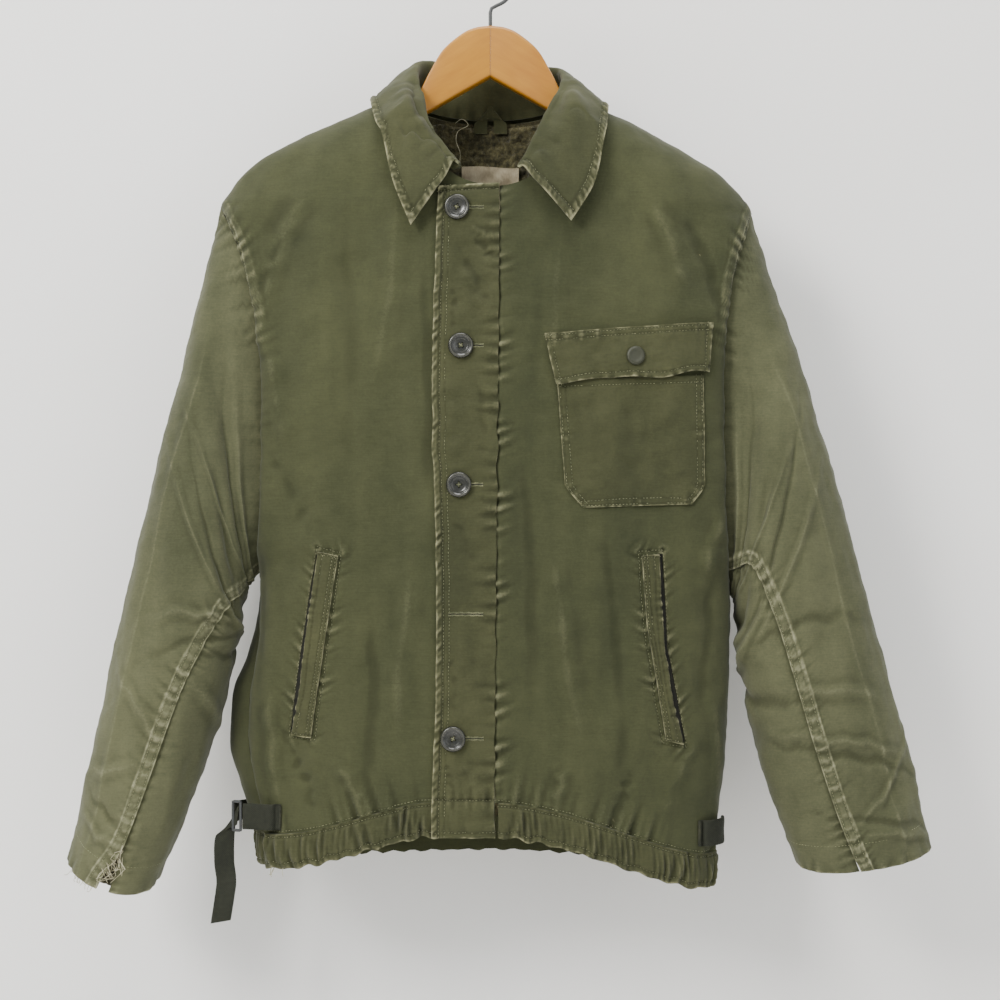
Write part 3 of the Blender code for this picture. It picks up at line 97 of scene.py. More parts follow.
# %% Hang the lamps
LampRow = namedtuple("LampRow", "name place size power colour")
LAMPS = [
    LampRow("window_lamp", (-1.9, -2.4, 1.2), 1.2, 128.0, (1.0, 0.985, 0.96)),
    LampRow("fill_lamp", (2.2, -2.6, 0.2), 2.4, 28.0, (0.97, 0.985, 1.0)),
    LampRow("top_lamp", (0.1, -1.0, 1.8), 1.4, 50.0, (1.0, 0.99, 0.97)),
]
for row in LAMPS:
    light = bpy.data.lights.new(row.name, "AREA")
    light.size = row.size
    light.energy = row.power
    light.color = row.colour
    lamp = bpy.data.objects.new(row.name, light)
    lamp.location = row.place
    aim = Vector((0, 0, -0.5)) - Vector(row.place)
    lamp.rotation_euler = aim.to_track_quat("-Z", "Y").to_euler()
    bpy.context.scene.collection.objects.link(lamp)
world = bpy.data.worlds.new("room")
world.use_nodes = True
world.node_tree.nodes["Background"].inputs["Color"].default_value = (0.93, 0.96, 1.0, 1)
world.node_tree.nodes["Background"].inputs["Strength"].default_value = 0.66
bpy.context.scene.world = world
print("lamps:", [row.name for row in LAMPS])

# %% [markdown]
# ## Writing materials as sums
# A Blender material is a web of nodes. Wired by hand it is slow to read, so this small class lets
# a socket take part in ordinary arithmetic: `a * 0.5 + b` makes the two Math nodes and their links.
# Every other node is made with the one method `node`.


# %% Let sockets take part in arithmetic
class Flow:
    """A value or colour flowing through a material's nodes."""

    def __init__(self, tree, socket):
        self.tree = tree
        self.socket = socket

    def node(self, kind, inputs, output=0, **settings):
        made = self.tree.nodes.new("ShaderNode" + kind)
        for name, value in settings.items():
            setattr(made, name, value)
        for key, value in inputs.items():
            if isinstance(value, Flow):
                self.tree.links.new(value.socket, made.inputs[key])
            else:
                made.inputs[key].default_value = value
        return Flow(self.tree, made.outputs[output])

    def math(self, operation, first, second):
        return self.node("Math", {0: first, 1: second}, operation=operation)

    def __add__(self, other):
        return self.math("ADD", self, other)

    def __radd__(self, other):
        return self.math("ADD", other, self)

    def __sub__(self, other):
        return self.math("SUBTRACT", self, other)

    def __rsub__(self, other):
        return self.math("SUBTRACT", other, self)

    def __mul__(self, other):
        return self.math("MULTIPLY", self, other)

    def __rmul__(self, other):
        return self.math("MULTIPLY", other, self)

    def __truediv__(self, other):
        return self.math("DIVIDE", self, other)

    def __rtruediv__(self, other):
        return self.math("DIVIDE", other, self)

    def __pow__(self, other):
        return self.math("POWER", self, other)

    def sine(self):
        return self.node("Math", {0: self}, operation="SINE")

    def between(self, low, high):
        """0 below low, 1 above high, and a smooth rise between."""
        ends = {"Value": self, "From Min": low, "From Max": high}
        return self.node("MapRange", ends, interpolation_type="SMOOTHSTEP")

    def blend(self, first, second):
        """The colour first where this is 0 and second where it is 1."""
        return self.node("Mix", {0: self, 6: first, 7: second}, output=2, data_type="RGBA")

    def times_colour(self, colour):
        """This colour multiplied by another one."""
        ends = {0: 1.0, 6: self, 7: colour}
        return self.node("Mix", ends, output=2, data_type="RGBA", blend_type="MULTIPLY")


# %% Start a finish and read what the mesh carries
def srgb(red, green, blue):
    """A colour given as the 0 to 255 values of a screen, as Blender's linear values."""
    channels = [value / 255 for value in (red, green, blue)]
    linear = [v / 12.92 if v <= 0.04045 else ((v + 0.055) / 1.055) ** 2.4 for v in channels]
    return (*linear, 1.0)


def start_finish(name, **constants):
    """A new material, its shader, and a Flow from which its nodes grow."""
    made = bpy.data.materials.new(name)
    made.use_nodes = True
    shader = made.node_tree.nodes["Principled BSDF"]
    for key, value in constants.items():
        shader.inputs[key.replace("_", " ")].default_value = value
    return made, shader, Flow(made.node_tree, None)


def place_of(flow, scale=(1.0, 1.0, 1.0), spot=(0.0, 0.0, 0.0)):
    """Where a point is on the object, stretched by scale."""
    coordinates = flow.tree.nodes.new("ShaderNodeTexCoord")
    place = Flow(flow.tree, coordinates.outputs["Object"])
    return flow.node("Mapping", {"Vector": place, "Scale": scale, "Location": spot})


def carried(flow, name):
    """A number that the mesh carries at each point."""
    return flow.node("Attribute", {}, output="Fac", attribute_name=name)


def noise(flow, place, scale, detail=3.0, roughness=0.55):
    inputs = {"Vector": place, "Scale": scale, "Detail": detail, "Roughness": roughness}
    return flow.node("TexNoise", inputs, output="Fac")


def plug(flow, shader, **sockets):
    for key, value in sockets.items():
        flow.tree.links.new(value.socket, shader.inputs[key.replace("_", " ")])


# %% [markdown]
# ## The cotton
# The shell is a tightly woven cotton that was dyed olive and has faded unevenly: pale along every
# edge and pucker that rubs. Shade is painted darker into its folds, grooves and seams. The mesh
# carries two numbers for this, `wear` (real wear, with a little painted highlight on raised ridges)
# and `shade` (painted shade), which each piece works out from its own seams.
# The weave is a fine bump, and long faint streaks run along the weft as they do in the real cloth.


# %% Mix the faded olive cotton
def cotton_finish(name, deep, faded, worn, grain=1.0):
    made, shader, flow = start_finish(name, Roughness=0.9, Sheen_Weight=0.08, Sheen_Roughness=0.5)
    shader.inputs["Specular IOR Level"].default_value = 0.22
    cloud = noise(flow, place_of(flow), 4.2, 2.0)
    drape = noise(flow, place_of(flow, scale=(16.0, 16.0, 2.4)), 1.0, 3.0, 0.6)
    mottle = noise(flow, place_of(flow, spot=(3.1, 0.4, 1.7)), 38.0, 5.0, 0.62)
    weft = noise(flow, place_of(flow, scale=(90.0, 90.0, 1300.0)), 1.0, 2.0)
    warp = noise(flow, place_of(flow, scale=(800.0, 800.0, 40.0)), 1.0, 2.0)
    speck = noise(flow, place_of(flow, spot=(7.7, 2.0, 0.3)), 420.0, 2.0, 0.7)
    tone = cloud * 0.55 + drape * 0.60 + mottle * 0.30 + weft * 0.22 + speck * 0.30 - 0.485
    base = tone.between(0.10, 0.95).blend(deep, faded)
    # Painted shade: the shade the mesh carries darkens the colour in grooves, creases and hollows.
    dark = carried(flow, "shade").between(0.0, 1.0) * 0.62
    base = dark.blend(base, base.times_colour((0.42, 0.43, 0.36, 1)))
    # Painted shadow: shade past 1 turns the colour nearly black in the pocket mouths.
    painted_slit_shadow = (carried(flow, "shade") - 1.0).between(0.0, 0.8) * 0.96
    base = painted_slit_shadow.blend(base, srgb(16, 16, 11))
    # The wear the mesh carries is real wear with a little painted highlight on raised ridges; both turn the
    # colour paler.
    wear_and_highlight = carried(flow, "wear") * (0.55 + 0.9 * speck) + (mottle - 0.5) * 0.10
    base = wear_and_highlight.between(0.08, 1.0).blend(base, worn)
    height = weft * 0.5 + warp * 0.5 + speck * 0.6
    bump = flow.node("Bump", {"Height": height, "Strength": 0.22 * grain, "Distance": 0.0006})
    crease = noise(flow, place_of(flow, scale=(1.0, 1.0, 0.6)), 24.0, 3.0, 0.5)
    ends = {"Height": crease, "Strength": 0.30, "Distance": 0.004, "Normal": bump}
    bump = flow.node("Bump", ends)
    rough = 0.86 + speck * 0.10
    plug(flow, shader, Base_Color=base, Roughness=rough, Normal=bump)
    return made


shell_cotton = cotton_finish(
    "shell_cotton", srgb(42, 46, 27), srgb(72, 74, 48), srgb(126, 125, 96)
)
sleeve_cotton = cotton_finish(
    "sleeve_cotton", srgb(56, 59, 39), srgb(94, 95, 69), srgb(142, 141, 112)
)
trim_cotton = cotton_finish(
    "trim_cotton", srgb(42, 45, 26), srgb(74, 75, 49), srgb(132, 130, 100), grain=1.2
)
print("cottons:", shell_cotton.name, sleeve_cotton.name, trim_cotton.name)

# %% [markdown]
# ## The other finishes
# The pile is wool-like, with shade painted almost black into its hollows: two sizes of curl, one
# colour for the tips and one for the depths. The webbing has a fine diagonal twill. The button is a
# hard dark plastic, paler along the top of its rim, and the hanger is beech under a warm varnish
# whose grain runs along each arm.


# %% Mix the pile, the webbing and the label tape
def pile_finish():
    made, shader, flow = start_finish("pile_fabric", Roughness=0.95, Sheen_Weight=0.25)
    shader.inputs["Specular IOR Level"].default_value = 0.12
    curl = noise(flow, place_of(flow), 330.0, 4.0, 0.65)
    clump = noise(flow, place_of(flow, spot=(1.0, 4.0, 2.0)), 70.0, 3.0)
    tone = curl * 0.8 + clump * 0.7 - 0.35
    # The colour follows the curl's height: painted shade darkens the hollows.
    base = tone.between(0.15, 0.95).blend(srgb(44, 42, 27), srgb(116, 110, 76))
    ends = {"Height": curl + clump * 0.8, "Strength": 0.9, "Distance": 0.0022}
    plug(flow, shader, Base_Color=base, Normal=flow.node("Bump", ends))
    return made


def webbing_finish():
    made, shader, flow = start_finish("strap_webbing", Roughness=0.8)
    shader.inputs["Specular IOR Level"].default_value = 0.25
    place = place_of(flow)
    parts = flow.node("SeparateXYZ", {"Vector": place})
    across = Flow(flow.tree, parts.socket.node.outputs["X"])
    down = Flow(flow.tree, parts.socket.node.outputs["Z"])
    twill = ((across * 1.0 + down * 1.0) * 3600.0).sine() * 0.5 + 0.5
    ribs = (down * 5200.0).sine() * 0.5 + 0.5
    speck = noise(flow, place_of(flow), 260.0, 3.0)
    tone = twill * 0.35 + ribs * 0.2 + speck * 0.6
    base = tone.between(0.2, 0.95).blend(srgb(22, 24, 18), srgb(44, 46, 35))
    # The wear the strap carries, real wear with a little painted highlight on its ridges, turns the colour
    # paler.
    dark = carried(flow, "wear").between(0.1, 1.0)
    base = dark.blend(base, srgb(80, 80, 62))
    ends = {"Height": twill * 0.6 + ribs * 0.4, "Strength": 0.5, "Distance": 0.0005}
    plug(flow, shader, Base_Color=base, Normal=flow.node("Bump", ends))
    return made


def tape_finish():
    made, shader, flow = start_finish("label_tape", Roughness=0.85)
    shader.inputs["Specular IOR Level"].default_value = 0.2
    stain = noise(flow, place_of(flow), 90.0, 4.0)
    weave = noise(flow, place_of(flow, scale=(2200.0, 60.0, 300.0)), 1.0, 2.0)
    tone = stain * 0.9 + weave * 0.35 - 0.15
    base = tone.between(0.1, 0.85).blend(srgb(120, 108, 84), srgb(182, 172, 146))
    ends = {"Height": weave, "Strength": 0.4, "Distance": 0.0003}
    plug(flow, shader, Base_Color=base, Normal=flow.node("Bump", ends))
    return made


pile_fabric = pile_finish()
strap_webbing = webbing_finish()
label_tape = tape_finish()


# %% Mix the thread, the button plastic and the painted metals
def thread_finish(name, pale, dark):
    made, shader, flow = start_finish(name, Roughness=0.7)
    shader.inputs["Specular IOR Level"].default_value = 0.3
    tone = noise(flow, place_of(flow), 160.0, 2.0)
    plug(flow, shader, Base_Color=tone.between(0.3, 0.7).blend(dark, pale))
    return made


def plastic_finish():
    made, shader, flow = start_finish("button_plastic", Roughness=0.3, Coat_Roughness=0.15)
    shader.inputs["Specular IOR Level"].default_value = 0.55
    shader.inputs["Coat Weight"].default_value = 0.3
    speck = noise(flow, place_of(flow), 240.0, 3.0)
    scuff = noise(flow, place_of(flow, scale=(1.0, 1.0, 6.0)), 700.0, 3.0)
    base = speck.between(0.35, 0.75).blend(srgb(24, 25, 19), srgb(38, 38, 29))
    # The wear the button carries makes it paler along the top of its rim.
    base = (carried(flow, "wear") + (scuff - 0.5) * 0.3).between(0.3, 1.0).blend(
        base, srgb(84, 83, 68)
    )
    ends = {"Height": scuff, "Strength": 0.12, "Distance": 0.0003}
    plug(flow, shader, Base_Color=base, Roughness=0.16 + scuff * 0.2, Normal=flow.node("Bump", ends))
    return made


def painted_finish(name, paint, bare, chips):
    """Paint on metal, chipped through to the metal where it rubs."""
    made, shader, flow = start_finish(name, Roughness=0.4)
    speck = noise(flow, place_of(flow), 420.0, 4.0, 0.7)
    mask = (carried(flow, "wear") * 0.6 + speck - chips).between(0.0, 0.12)
    base = mask.blend(paint, bare)
    ends = {"Height": speck, "Strength": 0.15, "Distance": 0.0002}
    plug(flow, shader, Base_Color=base, Metallic=mask * 0.85 + 0.1)
    plug(flow, shader, Roughness=0.50 - mask * 0.2, Normal=flow.node("Bump", ends))
    return made


sewing_thread = thread_finish("sewing_thread", srgb(138, 138, 106), srgb(84, 88, 62))
pale_thread = thread_finish("pale_thread", srgb(192, 186, 158), srgb(142, 138, 110))
button_plastic = plastic_finish()
painted_snap = painted_finish("painted_snap", srgb(46, 48, 32), srgb(92, 88, 62), 0.80)
steel_wire = painted_finish("steel_wire", srgb(58, 60, 60), srgb(120, 120, 118), 0.80)


# %% Varnish the beech of the hanger
def beech_finish():
    made, shader, flow = start_finish("varnished_beech", Roughness=0.42, Coat_Roughness=0.25)
    shader.inputs["Specular IOR Level"].default_value = 0.5
    shader.inputs["Coat Weight"].default_value = 0.2
    grain_place = flow.node("Mapping", {"Vector": carried_vector(flow, "grain"), "Scale": (9, 260, 60)})
    streak = noise(flow, grain_place, 1.0, 4.0, 0.6)
    fleck_place = flow.node("Mapping", {"Vector": carried_vector(flow, "grain"), "Scale": (60, 900, 200)})
    fleck = noise(flow, fleck_place, 1.0, 2.0)
    cloud = noise(flow, place_of(flow), 16.0, 2.0)
    tone = streak * 0.7 + cloud * 0.5 + fleck * 0.2 - 0.25
    base = tone.between(0.1, 0.9).blend(srgb(150, 94, 8), srgb(186, 130, 22))
    edge = carried(flow, "wear").between(0.0, 1.0)
    base = edge.blend(base, srgb(120, 80, 36))
    ends = {"Height": streak + fleck * 0.5, "Strength": 0.12, "Distance": 0.0004}
    plug(flow, shader, Base_Color=base, Roughness=0.36 + fleck * 0.16, Normal=flow.node("Bump", ends))
    return made


def carried_vector(flow, name):
    """Three numbers that the mesh carries at each point."""
    return flow.node("Attribute", {}, output="Vector", attribute_name=name)


def wall_paint():
    made, shader, flow = start_finish("pale_wall", Roughness=0.9)
    cloud = noise(flow, place_of(flow), 1.6, 3.0)
    grain = noise(flow, place_of(flow), 130.0, 4.0)
    plug(flow, shader, Base_Color=cloud.between(0.3, 0.7).blend(srgb(243, 241, 237), srgb(248, 247, 244)))
    ends = {"Height": grain, "Strength": 0.10, "Distance": 0.002}
    plug(flow, shader, Normal=flow.node("Bump", ends))
    nodes, link = flow.tree.nodes, flow.tree.links.new
    end = next(node for node in nodes if node.type == "OUTPUT_MATERIAL")
    mix = nodes.new("ShaderNodeMixShader")
    link(nodes.new("ShaderNodeNewGeometry").outputs["Backfacing"], mix.inputs[0])
    link(shader.outputs[0], mix.inputs[1])
    link(nodes.new("ShaderNodeBsdfTransparent").outputs[0], mix.inputs[2])
    link(mix.outputs[0], end.inputs["Surface"])
    return made


varnished_beech = beech_finish()
backdrop.data.materials.append(wall_paint())
print("finishes:", len(bpy.data.materials))

# %% [markdown]
# ## The form of the jacket
# The solids were made from short tables: sections of the body, rings of the sleeves, stations of
# the collar. The same tables are repeated here, because fine cloth needs the smooth surface behind
# the solids' flat faces. Every figure is in metres and measured from the hook of the hanger.

# %% Sizes that the cut pieces share
WALL = 0.0026
BAND_WALL = 0.0042
COLLAR_WALL = 0.0026
PATCH_WALL = 0.0016
BAND_GAP = 0.0006
SEAT_GAP = 0.0005
PLACKET_TOP = SEAT_GAP + 0.0026

NECK_HALF_WIDTH = 0.078
NECK_SIDE_Z = -0.127
FRONT_NECK_Z = -0.2215
BACK_NECK_Z = -0.147
RIGHT_FRONT_START = -0.0045
LEFT_FRONT_START = 0.0076
CLOSURE_X = 0.0064
SPREAD_START_Z = -0.345

# Hem band
BAND_HEIGHT = 0.032
HEM_LEVEL = -0.845

# %% The body's sections, level by level
TorsoRow = namedtuple(
    "TorsoRow",
    "height front_depth back_depth flatness front_roll_x front_roll_y back_roll_x"
    " back_roll_y seam_x seam_front_y seam_back_y",
)
# One row for each level of the body. Every figure is measured outwards from the middle of the
# jacket. The seam is the shoulder line, then the armhole, then the side seam.
RIGHT_BODY = [
    TorsoRow(-0.127, 0.046, 0.050, 0.55, 0.078, 0.026, 0.078, 0.028, 0.078, 0.0, 0.0),
    TorsoRow(-0.141, 0.049, 0.052, 0.55, 0.114, 0.027, 0.114, 0.029, 0.114, 0.0, 0.0),
    TorsoRow(-0.155, 0.052, 0.054, 0.56, 0.147, 0.029, 0.147, 0.030, 0.147, 0.0, 0.0),
    TorsoRow(-0.170, 0.054, 0.055, 0.57, 0.181, 0.030, 0.181, 0.030, 0.181, 0.0, 0.0),
    TorsoRow(-0.190, 0.056, 0.056, 0.58, 0.219, 0.031, 0.219, 0.031, 0.219, 0.0, 0.0),
    TorsoRow(-0.207, 0.058, 0.057, 0.60, 0.238, 0.032, 0.238, 0.032, 0.238, 0.0, 0.0),
    TorsoRow(-0.225, 0.059, 0.057, 0.62, 0.251, 0.033, 0.251, 0.033, 0.251, 0.0, 0.0),
    TorsoRow(-0.233, 0.060, 0.058, 0.63, 0.255, 0.034, 0.255, 0.034, 0.255, 0.0, 0.0),
    TorsoRow(-0.246, 0.060, 0.058, 0.64, 0.252, 0.035, 0.252, 0.035, 0.249, 0.013, 0.013),
    TorsoRow(-0.270, 0.061, 0.058, 0.66, 0.246, 0.038, 0.246, 0.038, 0.238, 0.024, 0.024),
    TorsoRow(-0.303, 0.062, 0.059, 0.68, 0.240, 0.042, 0.240, 0.042, 0.227, 0.030, 0.030),
    TorsoRow(-0.336, 0.063, 0.059, 0.70, 0.240, 0.045, 0.240, 0.044, 0.216, 0.030, 0.030),
    TorsoRow(-0.360, 0.064, 0.060, 0.71, 0.243, 0.046, 0.243, 0.044, 0.208, 0.027, 0.027),
    TorsoRow(-0.420, 0.066, 0.060, 0.72, 0.246, 0.046, 0.246, 0.044, 0.200, 0.022, 0.022),
    TorsoRow(-0.500, 0.067, 0.060, 0.73, 0.248, 0.046, 0.248, 0.044, 0.200, 0.022, 0.022),
    TorsoRow(-0.550, 0.067, 0.060, 0.74, 0.246, 0.044, 0.246, 0.042, 0.207, 0.015, 0.015),
    TorsoRow(-0.575, 0.067, 0.060, 0.75, 0.240, 0.040, 0.240, 0.040, 0.213, 0.0, 0.0),
    TorsoRow(-0.620, 0.067, 0.060, 0.76, 0.234, 0.038, 0.244, 0.034, 0.215, 0.003, -0.003),
    TorsoRow(-0.660, 0.066, 0.060, 0.77, 0.232, 0.036, 0.262, 0.026, 0.220, 0.009, -0.009),
    TorsoRow(-0.700, 0.065, 0.060, 0.78, 0.230, 0.036, 0.282, 0.018, 0.227, 0.014, -0.014),
    TorsoRow(-0.740, 0.064, 0.059, 0.78, 0.227, 0.036, 0.287, 0.015, 0.227, 0.017, -0.017),
    TorsoRow(-0.780, 0.063, 0.058, 0.79, 0.223, 0.037, 0.274, 0.015, 0.220, 0.020, -0.020),
    TorsoRow(-0.820, 0.062, 0.056, 0.80, 0.219, 0.038, 0.254, 0.018, 0.212, 0.022, -0.022),
    TorsoRow(-0.880, 0.060, 0.055, 0.80, 0.216, 0.038, 0.238, 0.020, 0.208, 0.022, -0.022),
]
LEFT_BODY = [
    TorsoRow(-0.127, 0.046, 0.050, 0.55, 0.078, 0.026, 0.078, 0.028, 0.078, 0.0, 0.0),
    TorsoRow(-0.141, 0.049, 0.052, 0.55, 0.104, 0.027, 0.104, 0.029, 0.104, 0.0, 0.0),
    TorsoRow(-0.155, 0.052, 0.054, 0.56, 0.135, 0.029, 0.135, 0.030, 0.135, 0.0, 0.0),
    TorsoRow(-0.170, 0.054, 0.055, 0.57, 0.162, 0.030, 0.162, 0.030, 0.162, 0.0, 0.0),
    TorsoRow(-0.190, 0.056, 0.056, 0.58, 0.197, 0.031, 0.197, 0.031, 0.197, 0.0, 0.0),
    TorsoRow(-0.207, 0.058, 0.057, 0.60, 0.2215, 0.032, 0.2215, 0.032, 0.2215, 0.0, 0.0),
    TorsoRow(-0.225, 0.059, 0.057, 0.62, 0.238, 0.033, 0.238, 0.033, 0.238, 0.0, 0.0),
    TorsoRow(-0.240, 0.060, 0.058, 0.63, 0.2467, 0.034, 0.2467, 0.034, 0.2467, 0.0, 0.0),
    TorsoRow(-0.253, 0.060, 0.058, 0.64, 0.247, 0.035, 0.247, 0.035, 0.243, 0.013, 0.013),
    TorsoRow(-0.275, 0.061, 0.058, 0.66, 0.243, 0.038, 0.243, 0.038, 0.235, 0.024, 0.024),
    TorsoRow(-0.308, 0.062, 0.059, 0.68, 0.240, 0.042, 0.240, 0.042, 0.225, 0.030, 0.030),
    TorsoRow(-0.343, 0.063, 0.059, 0.70, 0.242, 0.045, 0.242, 0.044, 0.216, 0.030, 0.030),
    TorsoRow(-0.370, 0.064, 0.060, 0.71, 0.246, 0.046, 0.246, 0.044, 0.210, 0.027, 0.027),
    TorsoRow(-0.430, 0.066, 0.060, 0.72, 0.250, 0.046, 0.250, 0.044, 0.205, 0.022, 0.022),
    TorsoRow(-0.510, 0.067, 0.060, 0.73, 0.253, 0.046, 0.253, 0.044, 0.205, 0.022, 0.022),
    TorsoRow(-0.562, 0.067, 0.060, 0.74, 0.251, 0.044, 0.253, 0.042, 0.212, 0.015, 0.015),
    TorsoRow(-0.590, 0.067, 0.060, 0.75, 0.246, 0.040, 0.250, 0.040, 0.219, 0.0, 0.0),
    TorsoRow(-0.640, 0.067, 0.060, 0.76, 0.240, 0.036, 0.246, 0.036, 0.224, 0.0, 0.0),
    TorsoRow(-0.700, 0.065, 0.060, 0.78, 0.234, 0.036, 0.240, 0.036, 0.224, 0.0, 0.0),
    TorsoRow(-0.760, 0.064, 0.059, 0.79, 0.228, 0.036, 0.234, 0.036, 0.220, 0.0, 0.0),
    TorsoRow(-0.820, 0.062, 0.057, 0.80, 0.220, 0.036, 0.224, 0.036, 0.213, 0.0, 0.0),
    TorsoRow(-0.900, 0.060, 0.055, 0.80, 0.216, 0.036, 0.218, 0.036, 0.212, 0.0, 0.0),
]

# %% The hem's height round the body
HemRow = namedtuple("HemRow", "x height")
# The hem rides up at the closure and drops towards the sides.
FRONT_HEM = [
    HemRow(-0.230, -0.857),
    HemRow(-0.206, -0.857),
    HemRow(-0.176, -0.854),
    HemRow(-0.139, -0.845),
    HemRow(-0.102, -0.834),
    HemRow(-0.055, -0.824),
    HemRow(0.006, -0.824),
    HemRow(0.060, -0.833),
    HemRow(0.102, -0.846),
    HemRow(0.139, -0.859),
    HemRow(0.176, -0.871),
    HemRow(0.200, -0.876),
    HemRow(0.230, -0.876),
]
BACK_HEM = [
    HemRow(-0.230, -0.857),
    HemRow(-0.205, -0.857),
    HemRow(-0.120, -0.855),
    HemRow(0.000, -0.853),
    HemRow(0.120, -0.860),
    HemRow(0.200, -0.875),
    HemRow(0.230, -0.876),
]

# %% The rings of the sleeves
SleeveRow = namedtuple(
    "SleeveRow", "share outer_x outer_z inner_x inner_z half_depth forward seam_turn"
)
# Rings down the sleeve, from the armhole at 0 to the cuff at 1. seam_turn is where the
# felled inner seam lies, as a share of the half turn from the outer fold to the inner one.
RIGHT_SLEEVE = [
    SleeveRow(0.00, 0.2550, -0.233, 0.215, -0.575, 0.022, 0.000, 0.97),
    SleeveRow(0.10, 0.2650, -0.272, 0.219, -0.580, 0.036, 0.000, 0.96),
    SleeveRow(0.22, 0.2770, -0.322, 0.225, -0.588, 0.046, 0.000, 0.95),
    SleeveRow(0.36, 0.2920, -0.388, 0.231, -0.600, 0.051, 0.002, 0.92),
    SleeveRow(0.50, 0.3130, -0.470, 0.235, -0.622, 0.054, 0.004, 0.80),
    SleeveRow(0.62, 0.3360, -0.565, 0.240, -0.656, 0.056, 0.006, 0.70),
    SleeveRow(0.74, 0.3580, -0.668, 0.253, -0.708, 0.057, 0.008, 0.61),
    SleeveRow(0.87, 0.3800, -0.764, 0.280, -0.792, 0.056, 0.009, 0.555),
    SleeveRow(1.00, 0.3975, -0.845, 0.314, -0.870, 0.052, 0.010, 0.51),
]
LEFT_SLEEVE = [
    SleeveRow(0.00, 0.2467, -0.240, 0.219, -0.590, 0.022, 0.000, 0.93),
    SleeveRow(0.10, 0.2580, -0.276, 0.223, -0.594, 0.036, 0.000, 0.88),
    SleeveRow(0.22, 0.2740, -0.324, 0.228, -0.602, 0.046, 0.000, 0.80),
    SleeveRow(0.36, 0.2940, -0.385, 0.232, -0.614, 0.050, 0.002, 0.72),
    SleeveRow(0.50, 0.3200, -0.470, 0.234, -0.638, 0.050, 0.004, 0.67),
    SleeveRow(0.62, 0.3460, -0.565, 0.238, -0.680, 0.048, 0.006, 0.62),
    SleeveRow(0.74, 0.3730, -0.668, 0.248, -0.740, 0.045, 0.008, 0.59),
    SleeveRow(0.87, 0.3970, -0.757, 0.269, -0.800, 0.041, 0.009, 0.58),
    SleeveRow(1.00, 0.4165, -0.838, 0.291, -0.856, 0.036, 0.010, 0.55),
]
OUTER_SEAM_TURN = -0.12
SLEEVE_HEAD_SHARE = 0.20
RIGHT_CUFF_DIP = 0.016
LEFT_CUFF_DIP = 0.010
SLEEVE_STANDOFF = 0.0004

# %% The collar's stations round the neck
CollarRow = namedtuple(
    "CollarRow", "face neck_share roll_x roll_y roll_z edge_x edge_y edge_z"
)
# Stations round the neck, from the right front end over the back to the left front end.
COLLAR = [
    CollarRow("right_front", 0.30, -0.0286, -0.0650, -0.2030, -0.0727, -0.0690, -0.2600),
    CollarRow("right_front", 0.50, -0.0440, -0.0560, -0.1815, -0.0880, -0.0660, -0.2230),
    CollarRow("right_front", 0.72, -0.0588, -0.0410, -0.1590, -0.0965, -0.0590, -0.1920),
    CollarRow("right_front", 0.90, -0.0640, -0.0220, -0.1330, -0.1060, -0.0460, -0.1620),
    CollarRow("right_back", 0.985, -0.0700, 0.0050, -0.1040, -0.1130, -0.0080, -0.1350),
    CollarRow("right_back", 0.72, -0.0640, 0.0330, -0.0890, -0.1080, 0.0520, -0.1330),
    CollarRow("right_back", 0.36, -0.0350, 0.0500, -0.0930, -0.0620, 0.0800, -0.1600),
    CollarRow("left_back", 0.00, 0.0000, 0.0540, -0.0960, 0.0000, 0.0860, -0.1680),
    CollarRow("left_back", 0.36, 0.0350, 0.0500, -0.0950, 0.0620, 0.0800, -0.1620),
    CollarRow("left_back", 0.72, 0.0640, 0.0330, -0.0960, 0.1060, 0.0520, -0.1420),
    CollarRow("left_back", 0.985, 0.0695, 0.0050, -0.1090, 0.1110, -0.0080, -0.1440),
    CollarRow("left_front", 0.90, 0.0650, -0.0220, -0.1270, 0.1080, -0.0460, -0.1660),
    CollarRow("left_front", 0.72, 0.0540, -0.0410, -0.1500, 0.1030, -0.0590, -0.1920),
    CollarRow("left_front", 0.50, 0.0405, -0.0560, -0.1790, 0.0950, -0.0660, -0.2230),
    CollarRow("left_front", 0.32, 0.0262, -0.0660, -0.2060, 0.0745, -0.0700, -0.2560),
]
COLLAR_FOLD_RADIUS = 0.0036
COLLAR_LIFT = 0.0038
COLLAR_CLEARANCE = 0.0060

# %% The broad drapes
FoldRow = namedtuple("FoldRow", "x_top z_top x_low z_low width rise")
# The broad drapes of the fronts and the back: a line down the cloth, how wide the fold is to
# each side of it, and how far it stands out (or sinks, when negative).
FRONT_FOLDS = [
    FoldRow(-0.110, -0.180, -0.122, -0.360, 0.022, -0.0040),
    FoldRow(-0.150, -0.200, -0.158, -0.480, 0.028, 0.0035),
    FoldRow(-0.206, -0.240, -0.190, -0.380, 0.020, -0.0040),
    FoldRow(-0.100, -0.360, -0.090, -0.700, 0.032, -0.0035),
    FoldRow(-0.160, -0.560, -0.120, -0.790, 0.032, 0.0040),
    FoldRow(-0.190, -0.720, -0.200, -0.840, 0.020, -0.0045),
    FoldRow(0.112, -0.190, 0.120, -0.310, 0.022, -0.0035),
    FoldRow(0.200, -0.240, 0.196, -0.330, 0.020, -0.0040),
    FoldRow(0.060, -0.360, 0.050, -0.640, 0.028, -0.0030),
    FoldRow(0.078, -0.640, 0.120, -0.830, 0.024, -0.0045),
    FoldRow(0.150, -0.620, 0.095, -0.790, 0.026, 0.0040),
    FoldRow(0.150, -0.740, 0.175, -0.840, 0.022, -0.0040),
]
